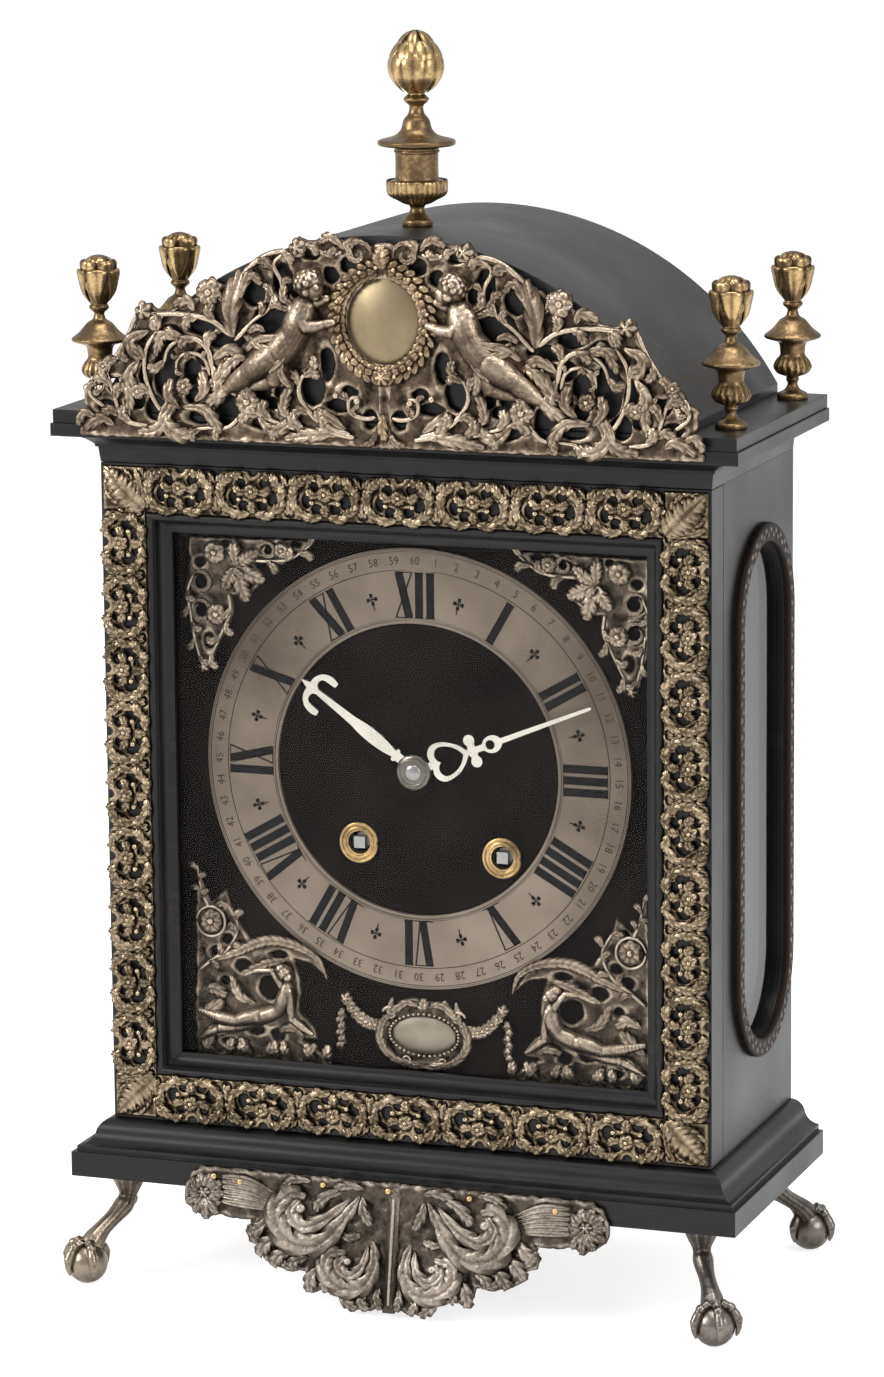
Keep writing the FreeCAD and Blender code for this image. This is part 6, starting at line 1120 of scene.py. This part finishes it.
LOWER_HOLES = [
    (68, 128.5, 5.2, 5.0), (81, 137.5, 3.4, 2.6), (93, 142.5, 3.0, 2.4), (75, 109.5, 3.4, 1.8),
    (64, 143.5, 3.4, 1.6), (88, 148.5, 2.6, 2.0), (88, 103, 2.6, 1.6), (65, 108, 3.0, 2.6),
    (89, 130, 2.4, 2.0), (92, 163, 1.6, 2.4)]


def upper_corner(mount):
    """A star of vine leaves with a rosette, and two tails of loops and flowers."""
    mount.sheet((44, 106, 265, 326), 0.7, pierced(outline(UPPER_EDGE), UPPER_HOLES, 0.6), 1.0, 1.8)
    centre = (80.5, 312.0, 2.4)
    for tip, width in (((67.5, 306.5), 8.0), ((75.5, 297.0), 8.5), ((86.5, 301.5), 7.5),
                       ((70.0, 319.5), 7.0), ((81.0, 324.4), 6.5)):
        middle = ((centre[0] + tip[0]) / 2, (centre[1] + tip[1]) / 2, 3.6)
        mount.leaf([centre, middle, (*tip, 2.4)], width, 1.6, 0.55, lobes=3)
    mount.vine([(76, 315, 2.2), (66, 315, 2.6), (57, 316, 2.6), (50, 320, 2.4), (45.2, 324, 2.2)],
               0.9, 0.5, 7.0)
    mount.vine([(84, 300, 2.2), (83.5, 292, 2.6), (88, 282, 2.6), (94, 270, 2.2)], 0.9, 0.5, 6.6)
    mount.vine([(100, 308, 2.2), (103, 300, 2.4), (101.5, 290, 2.6), (100, 280, 2.4), (97, 269, 2.2)],
               0.8, 0.5, 6.0, hands=(-1, 1))
    for middle, radius in (((96.9, 304.5), 4.9), ((96.9, 292.2), 4.8), ((66, 319.5), 3.8)):
        mount.leaf(scroll(middle, radius, radius - 2.0, 20, 400, 2.0), 2.6, 1.2)
    mount.flower((90.4, 317.6, 2.2), 5.2, 7, 2.4)
    mount.flower((89.8, 291.0, 2.4), 4.8, 6, 2.4)
    mount.flower((59.5, 320.0, 2.2), 3.8, 6, 2.2)
    mount.dome((95.8, 268.0, 2.0), 2.6, 5, 2.2)
    mount.leaf([(80.5, 312, 4.0), (79, 310, 4.6), (76, 307, 4.0)], 4.6, 1.4)


def lower_corner(mount):
    """A horn that arches over a reclining figure among rocks and leaves, and a rosette with a bud above."""
    mount.sheet((40, 105, 95.6, 183), 0.7, pierced(outline(LOWER_EDGE), LOWER_HOLES, 0.6), 1.0, 1.8)
    horn = [(41.8, 134.1, 1.8), (45.4, 142.9, 2.8), (54, 148.2, 3.4), (65.2, 150.2, 3.6),
            (74.5, 147.9, 3.4), (82.4, 143.8, 3.2), (98, 137.7, 2.4)]
    mount.leaf(horn, 5.8, 1.6, 0.2, 1.2)
    mount.vine([(102, 133.5, 2.2), (95, 139, 2.6), (86, 146, 2.6), (82.5, 156, 2.6), (88, 166, 2.4)],
               1.1, 0.6, 6.0)
    mount.vine([(96, 163, 2.2), (99, 170, 2.6), (101, 181, 2.0)], 1.0, 0.4, 5.0, 3.4)
    rosette = (94.9, 156.4)
    mount.flower((*rosette, 2.2), 5.4, 8, 2.6)
    mount.stem(scroll(rosette, 6.6, 6.6, 0, 360, 2.2), 0.8, 0.8, 6, 48)
    for step in range(11):
        x = 42 + 5.8 * step
        lean = 3.0 * sin(step * 2.3)
        mount.leaf([(x, 97, 1.6), (x + lean, 101, 3.0), (x + lean * 2, 105.5, 2.0)], 5.0, 1.4)
    for points, width in (([(100, 124, 2), (94, 127, 3.4), (88, 124, 2.6)], 7.0),
                          ([(102, 112, 2), (96, 117, 3.2), (90, 122, 2.4)], 7.0),
                          ([(60, 142, 2.4), (70, 139.5, 4), (82, 133.5, 2.8)], 5.0),
                          ([(74, 121, 2.6), (82, 125, 3.6), (86, 133, 2.4)], 5.5),
                          ([(101, 104, 2), (95, 108, 3.2), (88, 108, 2.4)], 6.0),
                          ([(52, 108, 2), (58, 112, 3), (64, 110, 2.2)], 5.0)):
        mount.leaf(points, width, 1.6)


def reclining(name, side):
    """The figure under the horn, leaning on one arm."""
    limbs = [([(60.2, 133, 3.6), (59.8, 130, 3.6)], (1.6, 1.9)),
             ([(60.0, 129.5, 3.4), (60.8, 124.5, 4), (63.5, 120, 4), (68, 117.5, 4), (73, 116, 4)],
              (3.0, 3.8, 3.3, 3.7, 3.8)),
             ([(59.0, 128.5, 4.6), (57.8, 122, 5), (57.2, 116.5, 4.6)], (2.2, 2.0, 1.7)),
             ([(57.2, 116.5, 4.6), (53, 113, 4), (48.8, 110, 3.2)], (1.8, 1.7, 1.2)),
             ([(61, 129, 4.2), (63.5, 133.5, 4.6), (66.5, 137, 4.2)], (1.8, 1.6, 1.3)),
             ([(66.5, 137, 4.2), (73, 136.4, 3.8), (79, 134, 3.2)], (1.4, 1.3, 0.9)),
             ([(73, 116.5, 4.6), (78, 115.6, 5.2), (83, 113.8, 5.0)], (3.7, 3.3, 2.6)),
             ([(83, 113.8, 5), (91, 114.8, 4.4), (101, 117, 3.2)], (2.6, 2.6, 1.4)),
             ([(73, 114.5, 3.6), (82, 111.4, 4), (90, 109.8, 3.8)], (3.2, 3.0, 2.4)),
             ([(90, 109.8, 3.8), (96, 107.2, 3.4), (101, 104, 2.8)], (2.0, 1.9, 1.0))]
    head = [((60.4, 136.4, 4.2), 3.5), ((58.5, 134.9, 5.6), 2.0), ((62.2, 138.0, 4.0), 2.6)]
    figure(name, figure_on_front(DIAL_FACE, 0.0, side), limbs, head, 0.36, 6, dial_mounts)


def dial_corners():
    both_sides("upper_corner", on_front(DIAL_FACE), upper_corner, dial_mounts, "dial_spandrels")
    both_sides("lower_corner", on_front(DIAL_FACE), lower_corner, dial_mounts)
    for name, side in (("reclining_right", 1), ("reclining_left", -1)):
        reclining(name, side)


dial_corners()


# Cartouche
CARTOUCHE_CENTRE = (2.4, 113.5)


def cartouche():
    """Bare domed oval in a frame of scrolls, with a garland and a tassel on each side."""
    mount = Mount("cartouche_frame", turned_on_front(DIAL_FACE, CARTOUCHE_CENTRE, 0))
    half = [(0, -14.2), (13, -12.6), (20, -6.2), (20, 1), (15, 9.5), (9.5, 15.4), (0, 15)]
    edge = outline(half + [(-x, z) for x, z in reversed(half) if x > 0])
    mount.sheet((-21, 21, -15, 16), 0.7, pierced(edge, [], 0.6), 1.0, 1.8)
    for hand in (1, -1):
        bow = widened(hand, (2, -12.6, 2.2), (13, -11.4, 3), (19.6, -3.5, 3.2), (18, 5.5, 3), (13, 8, 2.6))
        mount.leaf(bow, 4.8, 1.5)
        mount.leaf(widened(hand, (1, 12.4, 2.2), (8, 13.8, 3), (15, 9, 2.8), (14.4, 15.4, 2)), 4.6, 1.5)
        mount.stem(scroll((hand * 15.4, 8.4), 3.4, 0.8, 90 - hand * 90, hand * 400, 2.6), 0.8, 0.5)
        mount.stem(scroll((hand * 8.5, -11.4), 2.8, 0.8, 90 - hand * 90, -hand * 400, 2.4), 0.7, 0.5)
        for step in range(9):
            t = step / 8
            spot = (hand * (18 + 17 * t), 4.0 - 18 * t * (1 - t) + 8.5 * t, 2.0)
            mount.flower(spot, 2.5 + 0.6 * sin(pi * t), 5, 1.6)
        mount.dome((hand * 35.5, 13.5, 1.6), 3.0, 5, 2.4)
        for step in range(6):
            drop = 2.8 * step
            odd = step % 2
            tassel = widened(hand, (36.5, 9 - drop, 1.4), (37.5 + 0.8 * odd, 7 - drop, 2.8),
                             (36.4 + 1.6 * odd, 4.4 - drop, 1.6))
            mount.leaf(tassel, 4.2, 1.2)
        mount.leaf(widened(hand, (9, -11, 2), (6, -13.4, 2.6), (0, -14, 2.2)), 3.6, 1.2)
    mount.leaf([(0, 9.6, 2.4), (0, 12.6, 3.4), (0, 16.2, 2)], 6.0, 1.6)
    beads = 40
    for step in range(beads):
        turn = 2 * pi * step / beads
        mount.bead((15.6 * cos(turn), 9.2 * sin(turn), 2.6), 0.62)
    mount.piece(dial_mounts, "case", "silvered_mounts", "dial_cartouche")
    oval = Mount("cartouche_oval", mount.place)
    oval.dome((0.0, 0.0, 1.8), 14.8, 0, 2.2, tall=0.57)
    oval.piece(plate_silver, "case", "silvered_mounts")


cartouche()


# Finials
FINIAL_GIRTH = 8.0
CORNER_POSTS = [(x, y, 380.7) for x in (-139.5, 139.5) for y in (-41.9, 47.6)]
CROWN_POST = (0.0, -30.0, 458.2)


def turned_profile(mount, axis, profile, ribs):
    """Turned shape about the post's axis; ribs are (low, high, count, depth) bands of gadroons."""
    rows = len(profile) - 1
    made = bmesh.ops.create_grid(mount.mesh, x_segments=56, y_segments=rows, size=1.0)
    for vert in made["verts"]:
        turn = (vert.co.x + 1) * pi
        radius, level = profile[round((vert.co.y + 1) * rows / 2)]
        relief = 0.44
        for low, high, count, depth in ribs:
            if low < level < high:
                wave = abs(sin(count * turn / 2))
                fade = sin(pi * (level - low) / (high - low)) ** 0.5
                radius *= 1 - depth * (1 - wave) * fade
                # Painted highlight on the crests of the gadroons, painted shade in their troughs.
                relief = 0.2 + 0.36 * wave
        vert.co = Vector(axis) * MM
        vert.co += Vector((radius * cos(turn), radius * sin(turn), level)) * MM
        vert[mount.relief] = relief


def smooth_profile(points):
    """Rows of a turned profile, curved through the points and closed at both ends."""
    line = through(*points)
    count = (len(points) - 1) * 4
    rows = [(max(spot.x, 0.0), spot.y) for spot in (line(n / count) for n in range(count + 1))]
    return [(0.0, rows[0][1]), *rows, (0.0, rows[-1][1])]


CORNER_PROFILE = [
    (6.5, 0), (6.6, 1.6), (5.9, 2.7), (3.4, 4.0), (2.1, 6.4), (2.8, 8.4), (2.7, 9.4), (6.6, 11.0),
    (8.2, 13.7), (7.0, 16.6), (5.4, 18.6), (5.3, 20.6), (6.2, 24.0), (11.2, 25.8), (12.0, 26.8),
    (11.4, 27.7), (8.8, 29.7), (6.4, 32.5), (5.2, 33.8), (3.0, 35.2), (2.4, 36.6), (2.3, 38.0), (4.1, 39.8),
    (4.1, 41.0), (3.6, 42.0), (5.6, 46.0), (6.8, 50.0), (6.6, 54.0), (5.2, 57.5), (4.8, 60.0), (3.8, 61.6),
    (2.0, 62.4), (0.4, 62.6)]
TOP_PROFILE = [
    (6.3, 0), (6.4, 2.2), (5.2, 3.6), (3.3, 6.0), (3.3, 8.4), (6.4, 9.6), (10.4, 12.4), (11.5, 16.0),
    (11.7, 18.4), (9.4, 19.4), (9.0, 20.6), (9.0, 29.8), (9.6, 30.8), (9.6, 32.6), (15.4, 33.4),
    (16.2, 34.6), (15.4, 35.8), (9.6, 37.4), (6.6, 40.0), (5.4, 44.0), (3.4, 46.6), (3.0, 49.6),
    (4.6, 51.2), (5.4, 52.6), (4.4, 53.8), (3.6, 55.0), (6.6, 57.8), (9.6, 63.0), (9.6, 68.0), (7.6, 73.0),
    (4.6, 77.0), (2.0, 79.5)]


def finial(name, axis, profile, ribs, tiers, *replaced):
    """Turned post with rings of upright leaves; tiers are count, (level, distance) points, width and turn."""
    mount = Mount(name, about_post(*axis, FINIAL_GIRTH))
    turned_profile(mount, axis, smooth_profile(profile), ribs)
    for count, points, width, turn in tiers:
        for number in range(count):
            along = 2 * pi * FINIAL_GIRTH * (number + turn) / count
            mount.leaf([(along, level, out) for level, out in points], width, 1.2, 0.1, 0.9, 1)
    mount.piece(gilt_brass, "case", "gilt_brass", *replaced)


def finials():
    flame = [(5, [(41.5, 3.2), (46.5, 6.4), (51.5, 7.6), (55.2, 8.5), (56.8, 8.6)], 10.4, 0.0),
             (5, [(45, 4.8), (50.5, 6.9), (55.5, 6.8), (59.0, 7.2), (60.4, 7.0)], 9.4, 0.5),
             (5, [(52, 6.2), (57, 5.4), (60.4, 5.0), (62.0, 3.4)], 7.0, 0.2)]
    for number, post in enumerate(CORNER_POSTS):
        finial("corner_finial_%d" % number, post, CORNER_PROFILE, [(9.6, 18.2, 16, 0.16)], flame,
               *(["corner_finials"] if number == 0 else []))
    ball = [(7, [(55, 4.4), (58, 7.6), (62.5, 10.4), (67, 10.9)], 9.6, 0.0),
            (7, [(58.5, 7.8), (63, 10.5), (68, 10.8), (72, 9.6)], 9.0, 0.5),
            (7, [(65, 10.4), (70, 10.2), (74, 8.4), (77, 6.2)], 8.4, 0.1),
            (6, [(71, 9.2), (76, 6.8), (79.5, 3.9), (81, 0.8)], 7.6, 0.6)]
    cup = (18, [(9.0, 3.6), (12.6, 10.9), (16.6, 12.0), (19.2, 12.6)], 4.4, 0.5)
    finial("crown_finial", CROWN_POST, TOP_PROFILE, [(8.8, 18.9, 18, 0.14)], [*ball, cup], "top_finial")


finials()


# Feet
FOOT_POST = (130.0, 52.0)
FOOT_BALL = (141.7, 72.0, 9.0)
BALL_RADIUS = 9.0


def foot(name, side, end, finish):
    """A leg that bends out to a claw on a ball; the claw has four jointed toes."""
    def place(along, up, out):
        return Vector((side * along, end * up, out))

    centre = Vector(FOOT_BALL)
    outwards = Vector((centre.x - FOOT_POST[0], centre.y - FOOT_POST[1], 0.0)).normalized()
    leg = Mount(name, place)

    def limb(points, radii, sides=12):
        """Round limb through points in the frame, its radius drawn through radii."""
        line = through(*points)
        girth = through(*[(radius, 0.0) for radius in radii])
        made = bmesh.ops.create_grid(leg.mesh, x_segments=22, y_segments=sides, size=1.0)
        for vert in made["verts"]:
            t = (vert.co.x + 1) / 2
            turn = (vert.co.y + 1) * pi
            ahead = (line(min(t + 0.02, 1.0)) - line(max(t - 0.02, 0.0))).normalized()
            across = ahead.cross(Vector((outwards.y, -outwards.x, 0.0))).normalized()
            beside = ahead.cross(across)
            closed = 0.0 if t in (0.0, 1.0) else 1.0
            spot = line(t) + (across * cos(turn) + beside * sin(turn)) * girth(t).x * closed
            leg.set(vert, spot.x, spot.y, max(spot.z, 0.1), 0.5)

    def at(out, level):
        return (FOOT_POST[0] + outwards.x * out, FOOT_POST[1] + outwards.y * out, level)

    limb([at(0, 46.2), at(0, 44), at(0, 40), at(0.6, 35), at(2.8, 31), at(8.5, 26.5), at(14.5, 22.5),
          at(19.0, 18.5), at(21.5, 15)],
         [7.4, 7.6, 6.2, 3.9, 4.5, 3.7, 3.8, 5.0, 5.4])
    limb([at(-3.4, 34.5), at(-1.6, 32.6), at(1.0, 32.0)], [1.4, 2.6, 2.2])
    for turn in (-68, 0, 68, 180):
        spin = Matrix.Rotation(radians(turn), 3, "Z") @ outwards

        def on_ball(far, tilt):
            return tuple(centre + spin * (far * sin(tilt)) + Vector((0, 0, far * cos(tilt))))

        limb([on_ball(10.2, tilt) for tilt in (0.25, 0.7, 1.15, 1.6, 2.05)], [2.4, 1.8, 2.2, 1.5, 0.6], 10)
        for tilt, radius in ((0.72, 2.2), (1.3, 2.0)):
            leg.bead(on_ball(10.6, tilt), radius)
    leg.blended(0.45, 3, finish, "case", "foot_bronze",
                *(["claw_feet"] if name == "foot_front_right" else []))
    ball = Mount(name + "_ball", place)
    ball.bead(tuple(centre), BALL_RADIUS, fine=3)
    ball.piece(finish, "case", "foot_bronze")


for name, side, end, finish in (("foot_front_right", 1, -1, bronze), ("foot_back_right", 1, 1, bronze),
                                ("foot_front_left", -1, -1, bronze_pale), ("foot_back_left", -1, 1, bronze)):
    foot(name, side, end, finish)


# Side windows
WINDOW_CENTRE = (17.5, 217.0)
WINDOW_STRAIGHT = 74.0
BEAD_RADIUS = 37.0
BEAD_FACE = 135.0
PANE_RADIUS = 33.4
PANE_BACK = 131.0
PANE_THICK = 1.6


def along_window(far):
    """Point and heading in degrees at a distance along the middle of the bead, up the left side first."""
    half = 2 * WINDOW_STRAIGHT + pi * BEAD_RADIUS
    sense = 1 if far < half else -1
    rest = far if sense > 0 else far - half
    if rest < 2 * WINDOW_STRAIGHT:
        spot = (WINDOW_CENTRE[0] - sense * BEAD_RADIUS, WINDOW_CENTRE[1] + sense * (rest - WINDOW_STRAIGHT))
        return spot, 90.0 * sense
    turn = 90.0 * sense - degrees((rest - 2 * WINDOW_STRAIGHT) / BEAD_RADIUS)
    spin = radians(turn)
    return (WINDOW_CENTRE[0] - BEAD_RADIUS * sin(spin),
            WINDOW_CENTRE[1] + sense * WINDOW_STRAIGHT + BEAD_RADIUS * cos(spin)), turn


def window_trim(name, side):
    """Stamped leaves along the bead round a side window."""
    def place(along, up, out):
        return Vector((side * (BEAD_FACE + out), along, up))

    mount = Mount(name, place)
    total = 4 * WINDOW_STRAIGHT + 2 * pi * BEAD_RADIUS
    count = 150
    for number in range(count):
        spot, turn = along_window(total * number / count)
        ahead = Vector((cos(radians(turn)), sin(radians(turn)), 0.0))
        aside = Vector((-ahead.y, ahead.x, 0.0)) * (1 if number % 2 else -1)
        root = Vector((*spot, 2.4))
        middle = root + ahead * 2.4 + aside * 1.2 + Vector((0, 0, 0.6))
        mount.leaf([root, middle, root + ahead * 3.6 + aside * 3.0], 3.0, 0.35, lobes=1, sides=5)
    mount.piece(bead_brass, "case", "bead_brass")


def window_pane(name, side, *replaced):
    """Pane with round ends, held just behind the bead."""
    mesh = bmesh.new()
    made = bmesh.ops.create_circle(mesh, cap_ends=True, segments=96, radius=PANE_RADIUS)
    face = mesh.faces[:]
    for vert in made["verts"]:
        x, y = vert.co.xy
        level = WINDOW_CENTRE[1] + y + copysign(WINDOW_STRAIGHT, y)
        vert.co = Vector((side * PANE_BACK, WINDOW_CENTRE[0] + x, level)) * MM
    front = bmesh.ops.extrude_face_region(mesh, geom=face)["geom"]
    bmesh.ops.translate(mesh, verts=verts_of(front), vec=Vector((side * PANE_THICK, 0.0, 0.0)) * MM)
    bmesh.ops.recalc_face_normals(mesh, faces=mesh.faces)
    add_piece(name, mesh, window_glass, "case", "window_glass", *replaced, smooth=False)


for name, side in (("right", 1), ("left", -1)):
    window_trim("window_trim_" + name, side)
    window_pane("window_pane_" + name, side, *(["window_panes"] if side > 0 else []))


# Camera, floor and light
def look_from(eye, yaw, pitch, roll):
    """Matrix of a camera at eye that looks back along +Y, turned left by yaw and tipped down by pitch."""
    ahead = Vector((-sin(yaw) * cos(pitch), cos(yaw) * cos(pitch), -sin(pitch)))
    level = Vector((cos(yaw), sin(yaw), 0.0))
    over = level.cross(ahead)
    right = level * cos(roll) + over * sin(roll)
    above = over * cos(roll) - level * sin(roll)
    turned = Matrix((right, above, -ahead)).transposed().to_4x4()
    return Matrix.Translation(eye) @ turned


lens = bpy.data.cameras.new("camera")
lens.lens = 141.58
lens.sensor_width = 36.0
camera = bpy.data.objects.new("camera", lens)
camera.matrix_world = look_from(Vector((772.2, -2136.4, 703.9)) * MM, radians(19.92),
                                radians(11.137), radians(-0.5465))
bpy.context.scene.collection.objects.link(camera)
bpy.context.scene.camera = camera


def softbox(name, at, aim, size, power):
    data = bpy.data.lights.new(name, "AREA")
    data.size = size
    data.energy = power
    lamp = bpy.data.objects.new(name, data)
    lamp.location = at
    lamp.rotation_mode = "QUATERNION"
    lamp.rotation_quaternion = (Vector(aim) - Vector(at)).to_track_quat("-Z", "Y")
    bpy.context.scene.collection.objects.link(lamp)


MIDDLE = (0.0, 0.0, 0.25)
softbox("softbox_left", (-1.5, -1.5, 1.3), MIDDLE, 1.0, 34.0)
softbox("softbox_right", (1.7, -0.6, 1.0), MIDDLE, 0.9, 14.0)
softbox("softbox_above", (0.2, -0.3, 1.9), MIDDLE, 1.1, 20.0)

world = bpy.data.worlds.new("studio")
bpy.context.scene.world = world
world.use_nodes = True
backdrop = world.node_tree.nodes["Background"].inputs
sky = Finish("studio", world.node_tree)
ray = sky.node("ShaderNodeLightPath")
seen = sky.signal(ray, "Is Camera Ray") + sky.signal(ray, "Is Transmission Ray")
seen = seen + sky.signal(ray, "Is Glossy Ray") * 0.45
sky.feed(backdrop["Color"], (1.0, 1.0, 1.0))
sky.feed(backdrop["Strength"], sky.span(seen, 0.0, 1.0, 0.45, 1.0))


def white_floor():
    """A wide pale floor; away from the part it shows as the white background does."""
    mesh = bmesh.new()
    bmesh.ops.create_grid(mesh, x_segments=1, y_segments=1, size=6.0)
    data = bpy.data.meshes.new("floor")
    mesh.to_mesh(data)
    mesh.free()
    floor = bpy.data.objects.new("floor", data)
    bpy.context.scene.collection.objects.link(floor)
    ground = Finish("floor_white")
    ground.surface(Base_Color=(0.88, 0.88, 0.88), Roughness=0.8, Specular_IOR_Level=0.0)
    glow = ground.new("ShaderNodeEmission", {"Color": (1.0, 1.0, 1.0), "Strength": 2.6})
    path = ground.node("ShaderNodeLightPath")
    seen = ground.signal(path, "Is Camera Ray") + ground.signal(path, "Is Glossy Ray")
    share = (seen + ground.signal(path, "Is Transmission Ray")) * 0.3
    data.materials.append(ground.mix(share, ground.signal(ground.shader), glow))


white_floor()
bpy.context.scene.view_settings.view_transform = "Standard"
